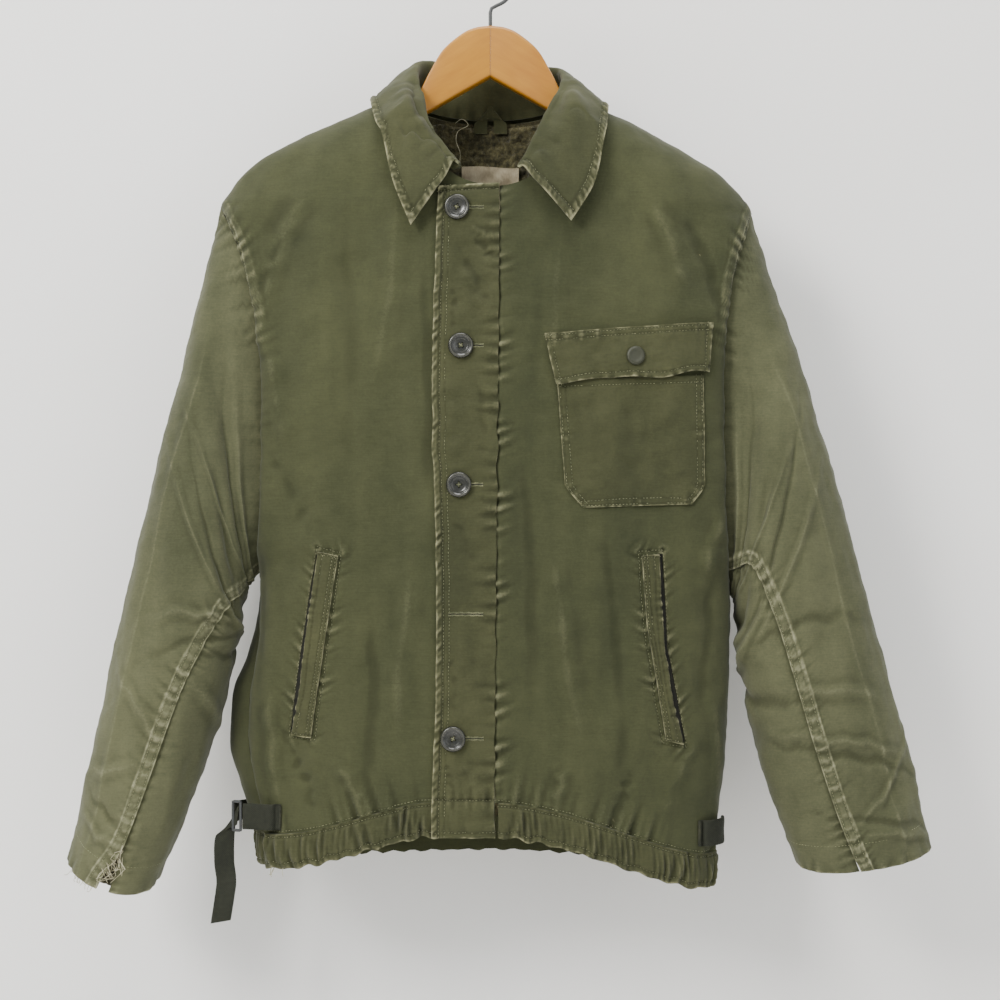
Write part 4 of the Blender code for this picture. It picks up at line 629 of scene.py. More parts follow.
BACK_FOLDS = [
    FoldRow(-0.150, -0.250, -0.120, -0.700, 0.030, 0.0050),
    FoldRow(-0.060, -0.300, -0.070, -0.780, 0.028, -0.0045),
    FoldRow(0.040, -0.220, 0.050, -0.620, 0.030, 0.0040),
    FoldRow(0.130, -0.260, 0.110, -0.760, 0.030, -0.0050),
    FoldRow(0.190, -0.420, 0.160, -0.820, 0.026, 0.0045),
]
SleeveFoldRow = namedtuple("SleeveFoldRow", "share turn slant length width rise")
# Creases of a sleeve: where they lie down and round the sleeve, and how far they stand out.
RIGHT_SLEEVE_FOLDS = [
    SleeveFoldRow(0.40, 0.86, 0.10, 0.30, 0.045, -0.0080),
    SleeveFoldRow(0.55, 0.80, -0.06, 0.22, 0.040, 0.0060),
    SleeveFoldRow(0.66, 0.50, 0.08, 0.30, 0.040, -0.0035),
    SleeveFoldRow(0.90, 0.42, -0.05, 0.35, 0.035, -0.0045),
    SleeveFoldRow(0.50, 1.40, 0.06, 0.40, 0.045, 0.0050),
    SleeveFoldRow(0.62, 1.45, -0.06, 0.35, 0.040, -0.0050),
]
LEFT_SLEEVE_FOLDS = [
    SleeveFoldRow(0.42, 0.84, 0.10, 0.30, 0.045, -0.0090),
    SleeveFoldRow(0.56, 0.86, -0.06, 0.24, 0.040, 0.0070),
    SleeveFoldRow(0.70, 0.74, 0.05, 0.30, 0.035, -0.0045),
    SleeveFoldRow(0.86, 0.45, -0.09, 0.40, 0.030, -0.0040),
    SleeveFoldRow(0.93, 0.30, 0.05, 0.30, 0.026, 0.0030),
    SleeveFoldRow(0.50, 1.40, 0.06, 0.40, 0.045, 0.0050),
    SleeveFoldRow(0.64, 1.45, -0.06, 0.35, 0.040, -0.0050),
]


# %% Read a table along smooth curves
class Table:
    """A table of rows read at any value of its first column, along smooth monotone curves."""

    def __init__(self, rows, samples=600):
        data = np.array([list(row) for row in rows], float)
        data = data[np.argsort(data[:, 0])]
        self.columns = {name: i for i, name in enumerate(rows[0]._fields)}
        self.keys = np.linspace(data[0, 0], data[-1, 0], samples)
        self.values = [self.smooth(data[:, 0], column) for column in data.T]

    def smooth(self, keys, column):
        steps = np.diff(keys)
        slopes = np.diff(column) / steps
        tangents = np.zeros(len(keys))
        same_way = slopes[1:] * slopes[:-1] > 0
        total = np.where(same_way, slopes[1:] + slopes[:-1], 1.0)
        tangents[1:-1] = np.where(same_way, 2 * slopes[1:] * slopes[:-1] / total, 0.0)
        tangents[0], tangents[-1] = slopes[0], slopes[-1]
        cell = np.clip(np.searchsorted(keys, self.keys) - 1, 0, len(steps) - 1)
        u = (self.keys - keys[cell]) / steps[cell]
        rise = u * u * (3 - 2 * u)
        return (
            column[cell] * (1 - rise)
            + column[cell + 1] * rise
            + tangents[cell] * steps[cell] * u * (1 - u) ** 2
            - tangents[cell + 1] * steps[cell] * u * u * (1 - u)
        )

    def at(self, name, key):
        return np.interp(key, self.keys, self.values[self.columns[name]])


BODY = {"right": Table(RIGHT_BODY), "left": Table(LEFT_BODY)}
SLEEVE = {"right": Table(RIGHT_SLEEVE), "left": Table(LEFT_SLEEVE)}
HEM = {"front": Table(FRONT_HEM), "back": Table(BACK_HEM)}
SIGN = {"right": -1.0, "left": 1.0}
FACING = {"front": -1.0, "back": 1.0}
START = {
    ("right", "front"): RIGHT_FRONT_START,
    ("left", "front"): LEFT_FRONT_START,
    ("right", "back"): 0.0,
    ("left", "back"): 0.0,
}
SLEEVE_FOLDS = {"right": RIGHT_SLEEVE_FOLDS, "left": LEFT_SLEEVE_FOLDS}
CUFF_DIP = {"right": RIGHT_CUFF_DIP, "left": LEFT_CUFF_DIP}


def smooth_step(low, high, value):
    share = np.clip((value - low) / (high - low), 0, 1)
    return share * share * (3 - 2 * share)


def bezier(share, first, second, third, fourth):
    rest = 1 - share
    return (
        rest**3 * first
        + 3 * rest**2 * share * second
        + 3 * rest * share**2 * third
        + share**3 * fourth
    )


# %% Points of the body's panels
def section(side, face, share, height):
    """x and y of the body's cross-section at a height, from the middle (0) to the seam (1)."""
    body = BODY[side]
    start = START[side, face]
    depth = body.at(face + "_depth", height)
    roll_x = body.at(face + "_roll_x", height)
    roll_y = body.at(face + "_roll_y", height)
    seam_x = body.at("seam_x", height)
    seam_y = body.at(f"seam_{face}_y", height)
    flatness = body.at("flatness", height)
    x = bezier(share, start, start + (roll_x - start) * flatness, roll_x, seam_x)
    y = bezier(share, depth, depth, roll_y, seam_y)
    return SIGN[side] * x, FACING[face] * y


def share_at_x(side, face, x, height):
    """The share across the section where it is at x, by bisection in its rising stretch."""
    wanted = np.asarray(x) * SIGN[side]
    low = np.zeros_like(wanted * height)
    high = low + 1.0
    peak = low
    for guess in np.linspace(0.60, 1.0, 17):
        here = section(side, face, guess + low * 0, height)[0] * SIGN[side]
        best = section(side, face, peak, height)[0] * SIGN[side]
        peak = np.where(here > best, guess, peak)
    high = peak
    for _ in range(36):
        middle = (low + high) / 2
        short = section(side, face, middle, height)[0] * SIGN[side] < wanted
        low = np.where(short, middle, low)
        high = np.where(short, high, middle)
    return (low + high) / 2


def fold_rise(folds, x, z):
    """How far the drapes in a table lift the cloth at x and z."""
    total = np.zeros_like(x * z)
    for fold in folds:
        along_x, along_z = fold.x_low - fold.x_top, fold.z_low - fold.z_top
        length = math.hypot(along_x, along_z)
        share = ((x - fold.x_top) * along_x + (z - fold.z_top) * along_z) / length**2
        away = ((x - fold.x_top) * along_z - (z - fold.z_top) * along_x) / length
        taper = smooth_step(-0.12, 0.25, share) * (1 - smooth_step(0.72, 1.12, share))
        total = total + fold.rise * taper * np.exp(-((away / fold.width) ** 2))
    return total


def hem_height(side, face, share):
    """The height of the hem at a share across the section."""
    x, _ = section(side, face, share, HEM_LEVEL)
    return HEM[face].at("height", x)


def neckline(side, face, share):
    """x and z of the neck seam, from the middle (0) to the shoulder (1)."""
    middle_z = FRONT_NECK_Z if face == "front" else BACK_NECK_Z
    start = START[side, face]
    x = start + (NECK_HALF_WIDTH - start) * np.sin(share * math.pi / 2)
    z = NECK_SIDE_Z + (middle_z - NECK_SIDE_Z) * np.cos(share * math.pi / 2)
    return SIGN[side] * x, z


def body_surface(side, face, share, down):
    """Points of a body panel: share across it, and down from the neckline (0) to the band (1)."""
    neck_x, neck_z = neckline(side, face, share)
    neck_share = np.where(share > 0.999, 1.0, share_at_x(side, face, neck_x, neck_z))
    low = hem_height(side, face, share) + BAND_HEIGHT + BAND_GAP
    high = neck_z
    z = high + (low - high) * down
    spread = smooth_step(0, 1, (z - neck_z) / (SPREAD_START_Z - neck_z))
    across = neck_share + (share - neck_share) * spread
    x, y = section(side, face, across, z)
    points = np.stack([x, y, z], axis=-1)
    folds = FRONT_FOLDS if face == "front" else BACK_FOLDS
    calm = 1 - smooth_step(0.80, 0.99, across)
    points[..., 1] += FACING[face] * fold_rise(folds, x, z) * calm
    if (side, face) == ("left", "front"):
        edge = np.exp(-(((x - LEFT_FRONT_START) / 0.018) ** 2))
        points[..., 1] -= PLACKET_TOP * edge * smooth_step(0, 0.03, high - z + 0.004)
    return points


# %% Points of the sleeves
def armhole(side, turn):
    """Points of the armhole seam; turn goes 0 at the shoulder, 1 underarm, and 2 round the back."""
    sleeve, body = SLEEVE[side], BODY[side]
    top, low = sleeve.at("outer_z", 0.0), sleeve.at("inner_z", 0.0)
    z = top + (low - top) * (1 - np.cos(turn * math.pi)) / 2
    front = np.sin(turn * math.pi) >= 0
    y = np.where(front, -body.at("seam_front_y", z), body.at("seam_back_y", z))
    return np.stack([SIGN[side] * body.at("seam_x", z), y, z], axis=-1)


def sleeve_surface(side, turn, share):
    """Points of a sleeve: turn round it (0 outer fold, 1 inner fold, to 2), share down it."""
    rows = SLEEVE[side]
    outer_x, outer_z = rows.at("outer_x", share), rows.at("outer_z", share)
    inner_x, inner_z = rows.at("inner_x", share), rows.at("inner_z", share)
    swing = np.cos(turn * math.pi)
    side_step = np.sin(turn * math.pi)
    bulge = np.sign(side_step) * np.abs(side_step) ** 0.86
    middle_x, middle_z = (outer_x + inner_x) / 2, (outer_z + inner_z) / 2
    x = middle_x + (outer_x - inner_x) / 2 * swing
    z = middle_z + (outer_z - inner_z) / 2 * swing
    y = -rows.at("half_depth", share) * bulge - rows.at("forward", share)
    dip = CUFF_DIP[side] * smooth_step(0.70, 1.0, share) * np.maximum(side_step, -0.35)
    tube = np.stack([SIGN[side] * x, y, z - dip], axis=-1)
    start = armhole(side, turn)
    at_top = np.cos(turn * math.pi / 2) ** 8
    start[..., 0] += SIGN[side] * SLEEVE_STANDOFF * (1 + 1.2 * at_top)
    out = smooth_step(0, SLEEVE_HEAD_SHARE, share)[..., None]
    back = smooth_step(0, SLEEVE_HEAD_SHARE * 1.5, share)[..., None]
    blend = np.concatenate([out, back, out], axis=-1)
    return start + (tube - start) * blend


def sleeve_fold_rise(side, turn, share):
    total = np.zeros_like(share * turn)
    for fold in SLEEVE_FOLDS[side]:
        away = share - fold.share - fold.slant * (turn - fold.turn) / fold.length
        along = (turn - fold.turn) / fold.length
        total = total + fold.rise * np.exp(-((away / fold.width) ** 2) - along**2)
    return total * smooth_step(0.12, 0.35, share)


def sleeve_outward(side, turn, share):
    """Unit vectors out of the sleeve, the same for both halves at their seams."""
    step = 0.004
    share = np.clip(share, step, 1 - step)
    round_it = sleeve_surface(side, turn + step, share) - sleeve_surface(side, turn - step, share)
    down_it = sleeve_surface(side, turn, share + step) - sleeve_surface(side, turn, share - step)
    out = unit(np.cross(round_it, down_it))
    across = sleeve_surface(side, turn, share) - sleeve_surface(side, turn + 1.0, share)
    return out * np.where((out * across).sum(axis=-1, keepdims=True) < 0, -1.0, 1.0)


# %% Points of the collar
def spline(points, count):
    """count points along a smooth curve through a few given ones."""
    points = np.asarray(points, float)
    padded = np.concatenate([2 * points[:1] - points[1:2], points, 2 * points[-1:] - points[-2:-1]])
    place = np.linspace(0, len(points) - 1, count)
    cell = np.minimum(place.astype(int), len(points) - 2)
    u = (place - cell)[:, None]
    before, first, second, after = (padded[cell + i] for i in range(4))
    return 0.5 * (
        2 * first
        + (second - before) * u
        + (2 * before - 5 * first + 4 * second - after) * u**2
        + (3 * first - before - 3 * second + after) * u**3
    )


def collar_grid(stations, across):
    """The collar's middle layer: up the stand, over the fold and down the fall."""
    profiles = []
    for row in COLLAR:
        side, face = row.face.split("_")
        x, z = neckline(side, face, np.array(row.neck_share))
        share = share_at_x(side, face, x, z)
        y = section(side, face, share, z)[1]
        neck = np.array([float(x), float(y), float(z) + COLLAR_LIFT])
        roll = np.array([row.roll_x, row.roll_y, row.roll_z])
        edge = np.array([row.edge_x, row.edge_y, row.edge_z])
        out = edge - neck
        out[2] = 0
        out /= np.linalg.norm(out)
        down_in, down_out = (neck - roll), (edge - roll)
        down_in /= np.linalg.norm(down_in)
        down_out /= np.linalg.norm(down_out)
        radius = COLLAR_FOLD_RADIUS
        bulge = np.array([0, -0.003, 0.003]) if face == "front" else np.array([0, 0.006, 0.004])
        profiles.append(
            [
                neck,
                (neck + roll) / 2 - out * 0.002,
                roll - out * radius + down_in * radius * 1.6,
                roll,
                roll + out * radius + down_out * radius * 1.6,
                roll * 0.45 + edge * 0.55 + bulge,
                edge,
            ]
        )
    rings = np.array([spline(profile, across) for profile in profiles])
    return np.stack([spline(rings[:, k], stations) for k in range(across)], axis=1)


def seat_fall(built, grid, first_row):
    """Lifts the collar's fall off the shoulders, the chest and the back that it lies over."""
    for i, k in np.ndindex(grid.shape[:2]):
        if k < first_row:
            continue
        x, y, z = grid[i, k]
        facing = 1.0 if y > 0 else -1.0
        for step in (-0.009, 0.0, 0.009):
            hit = built.met((x, y + step, 0.5), (0, 0, -1))
            if hit is not None and abs(hit.z + COLLAR_CLEARANCE - z) < 0.02:
                z = max(z, hit.z + COLLAR_CLEARANCE)
        for drop, share in ((0.0, 1.0), (0.007, 0.8), (0.014, 0.6)):
            hit = built.met((x, facing * 0.5, z - drop), (0, -facing, 0))
            if hit is not None and facing * hit.y > 0:
                y = facing * max(facing * y, facing * hit.y + COLLAR_CLEARANCE * share)
        grid[i, k] = x, y, z
    return grid


# %% [markdown]
# ## How a fine sheet of cloth is made
# Each cut piece starts as a grid of points on its smooth form. Its creases, puckers and felled
# seams only ever lift or sink those points along the way out of the cloth, so they are added up as
# one number for each point, the rise. While it does this, a seam also writes where the cloth has
# rubbed pale (wear) and where shade is painted into grooves and hollows (shade). The grid then
# becomes a thin closed shell: a fine outside, and a pile inside that needs only every third point.


# %% Measure grids and walk along their edges
def unit(vectors):
    return vectors / np.maximum(np.linalg.norm(vectors, axis=-1, keepdims=True), 1e-12)


def normals_of(grid):
    """The unit normal at each point of a grid of points."""
    return unit(np.cross(np.gradient(grid, axis=0), np.gradient(grid, axis=1)))


def lengths_along(line):
    """How far along a polyline each of its points lies."""
    steps = np.linalg.norm(np.diff(line, axis=0), axis=-1)
    return np.concatenate([np.zeros((1,) + steps.shape[1:]), np.cumsum(steps, axis=0)])


def even_line(line, pitch):
    """The same polyline with points every pitch."""
    lengths = lengths_along(line)
    places = np.arange(0, lengths[-1], pitch)
    return np.stack([np.interp(places, lengths, line[:, k]) for k in range(3)], axis=1)


def ripple(along, wave, seed):
    """An uneven wave along a seam, mostly between -1 and 1."""
    chance = np.random.default_rng(seed)
    total = np.zeros_like(np.asarray(along, float))
    for _ in range(5):
        here = wave * chance.uniform(0.68, 1.6)
        total = total + np.cos(2 * math.pi * along / here + chance.uniform(0, 6.28))
    return total / 2.4


def rumple(points, size, seed):
    """Soft uneven lumps of about that size over the cloth, mostly between -1 and 1."""
    chance = np.random.default_rng(seed)
    total = np.zeros(points.shape[:-1])
    for _ in range(16):
        way = chance.normal(size=3)
        way = way / np.linalg.norm(way) * 2 * math.pi / (size * chance.uniform(0.6, 1.8))
        total = total + np.cos(points @ way + chance.uniform(0, 6.28))
    return total / 3.4


# %% A sheet that collects its creases, seams and wear
CreaseRow = namedtuple("CreaseRow", "x_top z_top x_low z_low width rise bow")


class Sheet:
    """A grid of points on a smooth form, and what sewing and wearing do to it."""

    def __init__(self, grid, out):
        self.grid = grid
        self.out = out
        self.rise = np.zeros(grid.shape[:2])
        self.wear = np.zeros(grid.shape[:2])
        self.shade = np.zeros(grid.shape[:2])
        # slit holds the painted shadow, nearly black, in the mouths of the pockets.
        self.slit = np.zeros(grid.shape[:2])
        self.stitches = []

    def near(self, line):
        """How far each point is from a line, and how far along the line that is."""
        fine = even_line(np.asarray(line), 0.0008)
        tree = KDTree(len(fine))
        for i, point in enumerate(fine):
            tree.insert(point, i)
        tree.balance()
        flat = self.grid.reshape(-1, 3)
        found = [tree.find(point)[1:] for point in flat]
        index, away = np.array([f[0] for f in found]), np.array([f[1] for f in found])
        shape = self.grid.shape[:2]
        return away.reshape(shape), index.reshape(shape) * 0.0008

    def edge(self, side):
        """The points along one edge: first or last column, top or low row."""
        edges = {"first": self.grid[0], "last": self.grid[-1]}
        edges.update(top=self.grid[:, 0], low=self.grid[:, -1])
        return edges[side]

    def inset(self, side, distance, start=0.0, end=1.0):
        """A line that runs at a distance inside an edge, for a share of its length."""
        grid = self.grid if side in ("first", "last") else self.grid.swapaxes(0, 1)
        grid = grid[::-1] if side in ("last", "low") else grid
        lengths = lengths_along(grid)
        count = grid.shape[1]
        line = np.array(
            [
                [np.interp(distance, lengths[:, k], grid[:, k, axis]) for axis in range(3)]
                for k in range(int(start * (count - 1)), int(end * (count - 1)) + 1)
            ]
        )
        return line

    def crease(self, rows, wear=0.10):
        """Listed soft folds, each a slightly bowed line down the cloth."""
        x, z = self.grid[..., 0], self.grid[..., 2]
        for number, fold in enumerate(rows):
            along_x, along_z = fold.x_low - fold.x_top, fold.z_low - fold.z_top
            length = math.hypot(along_x, along_z)
            share = ((x - fold.x_top) * along_x + (z - fold.z_top) * along_z) / length**2
            away = ((x - fold.x_top) * along_z - (z - fold.z_top) * along_x) / length
            inside = np.clip(share, 0, 1)
            away = away + fold.bow * np.sin(inside * math.pi) + 0.0012 * ripple(share, 0.35, number)
            taper = smooth_step(-0.10, 0.25, share) * (1 - smooth_step(0.70, 1.10, share))
            width = fold.width * (0.8 + 0.4 * inside)
            bump = np.exp(-((away / width) ** 2)) * taper
            self.rise += fold.rise * 1.9 * bump * (0.85 + 0.25 * ripple(share, 0.3, number + 50))
            self.wear += wear * np.exp(-((away / width * 2.2) ** 2)) * taper * (fold.rise > 0)
            self.shade += 0.10 * np.exp(-((away / width * 1.6) ** 2)) * taper * (fold.rise < 0)

    def row_of_stitches(self, line, depth=0.0005, pitch=0.0032, groove=0.0011, shade=0.30):
        """A sewn line: the thread pulls the cloth into a narrow groove."""
        away, along = self.near(line)
        dip = np.exp(-((away / groove) ** 2))
        self.rise -= 1.3 * depth * dip * (0.8 + 0.3 * ripple(along, 0.006, 5))
        self.shade += 1.5 * shade * dip
        self.stitches.append((line, pitch))
        return away, along

    def pucker(self, line, reach, height, wave, seed, wear=0.25, slant=0.0):
        """The small gathers that a tight seam draws into the cloth on each side of it."""
        away, along = self.near(line)
        fade = np.exp(-((away / reach) ** 1.5))
        wrinkle = ripple(along + slant * away, wave, seed) * (0.75 + 0.5 * ripple(along, 0.08, seed + 9))
        self.rise += 1.5 * height * wrinkle * fade
        self.wear += 0.7 * wear * fade * np.clip(wrinkle, 0, 1.2)
        self.shade += 0.45 * fade * np.clip(-wrinkle, 0, 1.2)
        return away, along

    def worn_edge(self, line, width=0.0016, amount=0.8, seed=3):
        """An edge that has rubbed pale, more in some places than in others."""
        away, along = self.near(line)
        patchy = 0.62 + 0.45 * ripple(along, 0.030, seed) + 0.25 * ripple(along, 0.007, seed + 1)
        self.wear += 0.75 * amount * np.clip(patchy, 0.1, 1.3) * np.exp(-((away / width / 0.8) ** 2))
        return away, along

    def felled(self, side, width, height=0.0008, seed=1, start=0.0, end=1.0):
        """A flat-felled seam inside an edge: a raised strip with a row of stitches at each side."""
        line = self.inset(side, 0.0, start, end)
        away, along = self.near(line)
        strip = smooth_step(width + 0.0014, width - 0.0004, away)
        self.rise += height * strip
        self.wear += strip * (0.10 + 0.22 * np.clip(ripple(along, 0.011, seed + 4), 0, 1))
        for place in (0.0022, width - 0.0022):
            self.row_of_stitches(self.inset(side, place, start, end), 0.0006)
        self.pucker(self.inset(side, width / 2, start, end), width, 0.0005, 0.0085, seed, 0.30, 0.4)
        self.worn_edge(self.inset(side, width, start, end), 0.0013, 0.55, seed + 2)
        self.worn_edge(line, 0.0012, 0.65, seed + 3)

    def soften(self, height=0.0005, size=0.030, seed=11):
        """The slight unevenness of washed cloth, once its seams and folds have settled."""
        # First the painted shade in the hollows and the painted highlight on the ridges.
        self.paint_shade_and_highlight()
        self.rise += height * rumple(self.grid, size, seed)
        self.rise += height * 0.35 * rumple(self.grid, size * 0.38, seed + 1)

    def paint_shade_and_highlight(self):
        """Paints shade onto what lies lower than the cloth around it, and a paler painted highlight onto what
        stands higher.
        """
        blurred = self.rise
        for passes, reach, dark, pale in ((2, 0.00022, 0.60, 0.13), (10, 0.0006, 0.40, 0.03)):
            for _ in range(passes):
                padded = np.pad(blurred, 1, mode="edge")
                blurred = (padded[:-2, 1:-1] + padded[2:, 1:-1] + padded[1:-1, :-2] + padded[1:-1, 2:]) / 4
            low = (blurred - self.rise) / reach
            self.shade += dark * np.clip(low, 0, 1)
            self.wear += pale * np.clip(-low, 0, 1)
        # The painted shadow of the pocket mouths goes on top, past 1.
        self.shade = 0.85 * np.tanh(self.shade / 0.85) + self.slit

    def surface(self):
        return self.grid + self.out * self.rise[..., None]


# %% Turn a sheet into a closed shell
def add_mesh(name, points, faces, finishes, layers=None, number=None, sharp=55):
    """A piece at the origin with its finishes, and the numbers that its points carry."""
    mesh = bpy.data.meshes.new(name)
    mesh.from_pydata(points.tolist(), [], faces)
    for finish in finishes:
        mesh.materials.append(finish)
    if number is not None:
        mesh.polygons.foreach_set("material_index", np.asarray(number, np.int32))
    for key, values in (layers or {}).items():
        layer = mesh.attributes.new(key, "FLOAT", "POINT")
        layer.data.foreach_set("value", np.asarray(values, np.float32).ravel())
    mesh.shade_smooth()
    mesh.set_sharp_from_angle(angle=math.radians(sharp))
    mesh.update()
    made = bpy.data.objects.new(name, mesh)
    bpy.context.scene.collection.objects.link(made)
    return made


def quads(columns, rows, start=0, flip=False):
    """The faces of a grid of points whose numbers begin at start."""
    corner = start + np.arange(columns - 1)[:, None] * rows + np.arange(rows - 1)[None, :]
    ring = [corner, corner + 1, corner + rows + 1, corner + rows]
    ring = ring[::-1] if flip else ring
    return np.stack([part.ravel() for part in ring], axis=1).tolist()


def shell(name, sheet, thickness, finish, lining, coarse=3, follow=0.6):
    """A sheet with its inside: the inner grid keeps every coarse-th point of the outer one."""
    outer = sheet.surface()
    columns, rows = outer.shape[:2]
    inner = sheet.grid - sheet.out * thickness + sheet.out * (sheet.rise * follow)[..., None]
    inner = inner[::coarse, ::coarse]
    in_columns, in_rows = inner.shape[:2]
    count = columns * rows
    flip = (normals_of(outer) * sheet.out).sum() > 0
    faces = quads(columns, rows, 0, not flip)
    outside = len(faces)
    faces += quads(in_columns, in_rows, count, flip)
    number = [0] * outside + [1] * (len(faces) - outside)

    def rim(fine, rough, turned):
        """Faces from a fine edge to a rough one, along one side of the shell."""
        for i in range(len(rough) - 1):
            ring = [fine[i * coarse + k] for k in range(coarse + 1)] + [rough[i + 1], rough[i]]
            faces.append(ring[::-1] if turned else ring)
            number.append(0)

    fine = np.arange(count).reshape(columns, rows)
    rough = count + np.arange(in_columns * in_rows).reshape(in_columns, in_rows)
    rim(fine[0].tolist(), rough[0].tolist(), not flip)
    rim(fine[-1].tolist(), rough[-1].tolist(), flip)
    rim(fine[:, 0].tolist(), rough[:, 0].tolist(), flip)
    rim(fine[:, -1].tolist(), rough[:, -1].tolist(), not flip)
    points = np.concatenate([outer.reshape(-1, 3), inner.reshape(-1, 3)])
    layers = {}
    for key, values in (("wear", sheet.wear), ("shade", sheet.shade)):
        layers[key] = np.concatenate([values.ravel(), 0.3 * values[::coarse, ::coarse].ravel()])
    made = add_mesh(name, points, faces, [finish, lining], layers, number)
    sheet.made = made
    return made


def declare(made, sheet, node):
    """Attaches a piece to the root body and hides the solid that it replaces."""
    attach(made, "root")
    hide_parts(node)
    length = float(lengths_along(sheet.grid.swapaxes(0, 1))[-1].max())


def even_shares(side, face, count, level=-0.500, close=0.0):
    """Shares that space the columns of a panel round the body, closer by its two edges."""
    share = np.linspace(0, 1, 400)
    x, y = section(side, face, share, level + 0 * share)
    length = np.concatenate([[0], np.cumsum(np.hypot(np.diff(x), np.diff(y)))])
    edge = np.minimum(length, length[-1] - length)
    density = 0.55 + close * np.exp(-((edge / 0.016) ** 2))
    density += close * 0.75 * np.exp(-(((np.abs(x) - 0.164) / 0.028) ** 2))
    weight = np.concatenate([[0], np.cumsum((density[1:] + density[:-1]) / 2 * np.diff(length))])
    return np.interp(np.linspace(0, weight[-1], count), weight, share)


def outward(grid):
    """1 or -1: the sign that turns the grid's normals away from the middle of the body."""
    normal = normals_of(grid)
    return 1.0 if (normal[..., :2] * grid[..., :2]).sum() > 0 else -1.0


# %% [markdown]
# ## The two fronts
# A front is one flat piece of cotton on the table, cut to the neck, shoulder, armhole and side.
# Hanging, it shows broad drapes from the shoulder, pulls towards the armhole, and short gathers
# where the waistband draws it in. They are placed from a list, because a simulation would give
# folds of its own, and each one here should lie where the worn jacket has it.

# %% Creases of the fronts
FRONT_CREASES = {
    "right": [
        CreaseRow(-0.085, -0.215, -0.112, -0.420, 0.010, 0.0014, 0.006),
        CreaseRow(-0.135, -0.250, -0.140, -0.520, 0.012, -0.0013, 0.008),
        CreaseRow(-0.175, -0.235, -0.215, -0.330, 0.008, 0.0016, -0.004),
        CreaseRow(-0.190, -0.262, -0.222, -0.345, 0.006, -0.0015, -0.003),
        CreaseRow(-0.218, -0.345, -0.190, -0.480, 0.009, 0.0016, 0.006),
        CreaseRow(-0.205, -0.470, -0.170, -0.545, 0.008, -0.0012, 0.004),
        CreaseRow(-0.070, -0.560, -0.085, -0.775, 0.011, 0.0013, -0.006),
        CreaseRow(-0.110, -0.620, -0.118, -0.792, 0.009, -0.0014, 0.005),
        CreaseRow(-0.145, -0.752, -0.118, -0.800, 0.007, 0.0016, 0.003),
        CreaseRow(-0.185, -0.745, -0.162, -0.806, 0.007, -0.0016, 0.002),
        CreaseRow(-0.205, -0.690, -0.196, -0.800, 0.007, 0.0015, -0.003),
        CreaseRow(-0.215, -0.560, -0.222, -0.700, 0.007, -0.0012, 0.003),
        CreaseRow(-0.062, -0.300, -0.058, -0.520, 0.009, -0.0012, 0.003),
    ],
    "left": [
        CreaseRow(0.070, -0.235, 0.060, -0.460, 0.011, 0.0012, -0.006),
        CreaseRow(0.150, -0.235, 0.180, -0.325, 0.008, 0.0013, 0.004),
        CreaseRow(0.185, -0.255, 0.216, -0.345, 0.006, -0.0014, 0.003),
        CreaseRow(0.030, -0.480, 0.036, -0.720, 0.010, -0.0013, 0.005),
        CreaseRow(0.060, -0.560, 0.090, -0.760, 0.010, 0.0014, -0.005),
        CreaseRow(0.105, -0.545, 0.124, -0.800, 0.009, -0.0013, 0.004),
        CreaseRow(0.220, -0.520, 0.195, -0.600, 0.007, 0.0014, -0.003),
        CreaseRow(0.205, -0.585, 0.190, -0.720, 0.008, -0.0014, 0.004),
        CreaseRow(0.188, -0.742, 0.160, -0.812, 0.007, 0.0015, -0.003),
        CreaseRow(0.130, -0.765, 0.112, -0.815, 0.006, -0.0014, 0.002),
        CreaseRow(0.070, -0.760, 0.052, -0.800, 0.006, 0.0013, 0.002),
        CreaseRow(0.208, -0.700, 0.212, -0.815, 0.007, 0.0014, 0.003),
    ],
}

# Slanted hand pockets: the welt of each and the line of its mouth, in x and z.
RIGHT_WELT = [
    (-0.1588, -0.5600),
    (-0.1652, -0.6150),
    (-0.1700, -0.6550),
    (-0.1760, -0.6950),
    (-0.1838, -0.7305),
]
RIGHT_WELT_INNER = [(-0.1400, -0.5640), (-0.1655, -0.7330)]
LEFT_WELT = [(0.1395, -0.5640), (0.1445, -0.6300), (0.1625, -0.7350)]
LEFT_WELT_OUTER = [
    (0.1560, -0.5625),
    (0.1570, -0.6100),
    (0.1590, -0.6500),
    (0.1680, -0.7000),
    (0.1790, -0.7400),
]
POCKET_MOUTHS = {
    "right": [(-0.1592, -0.5640), (-0.1690, -0.6300), (-0.1842, -0.7275)],
    "left": [(0.1575, -0.5640), (0.1612, -0.6500), (0.1796, -0.7370)],
}
POCKET_FRAMES = {
    "right": [
        [(-0.1600, -0.5560), (-0.1374, -0.5615), (-0.1632, -0.7352), (-0.1876, -0.7330)],
        [(-0.1600, -0.5560), (-0.1725, -0.6300), (-0.1876, -0.7330)],
    ],
    "left": [
        [(0.1596, -0.5585), (0.1368, -0.5600), (0.1420, -0.6300), (0.1600, -0.7385), (0.1822, -0.7425)],
        [(0.1596, -0.5585), (0.1650, -0.6500), (0.1822, -0.7425)],
    ],
}


def on_front(sheet, points):
    """Points at given x and z, as far out as the sheet's nearest points."""
    flat = sheet.grid.reshape(-1, 3)
    found = [flat[np.hypot(flat[:, 0] - x, flat[:, 2] - z).argmin(), 1] for x, z in points]
    return np.stack([points[:, 0], found, points[:, 1]], axis=1)


def spread_line(points, count):
    """count points spread evenly along a broken line of x and z."""
    points = np.asarray(points, float)
    lengths = np.concatenate([[0], np.cumsum(np.linalg.norm(np.diff(points, axis=0), axis=1))])
    place = np.linspace(0, lengths[-1], count)
    return np.stack([np.interp(place, lengths, points[:, k]) for k in range(2)], axis=1)


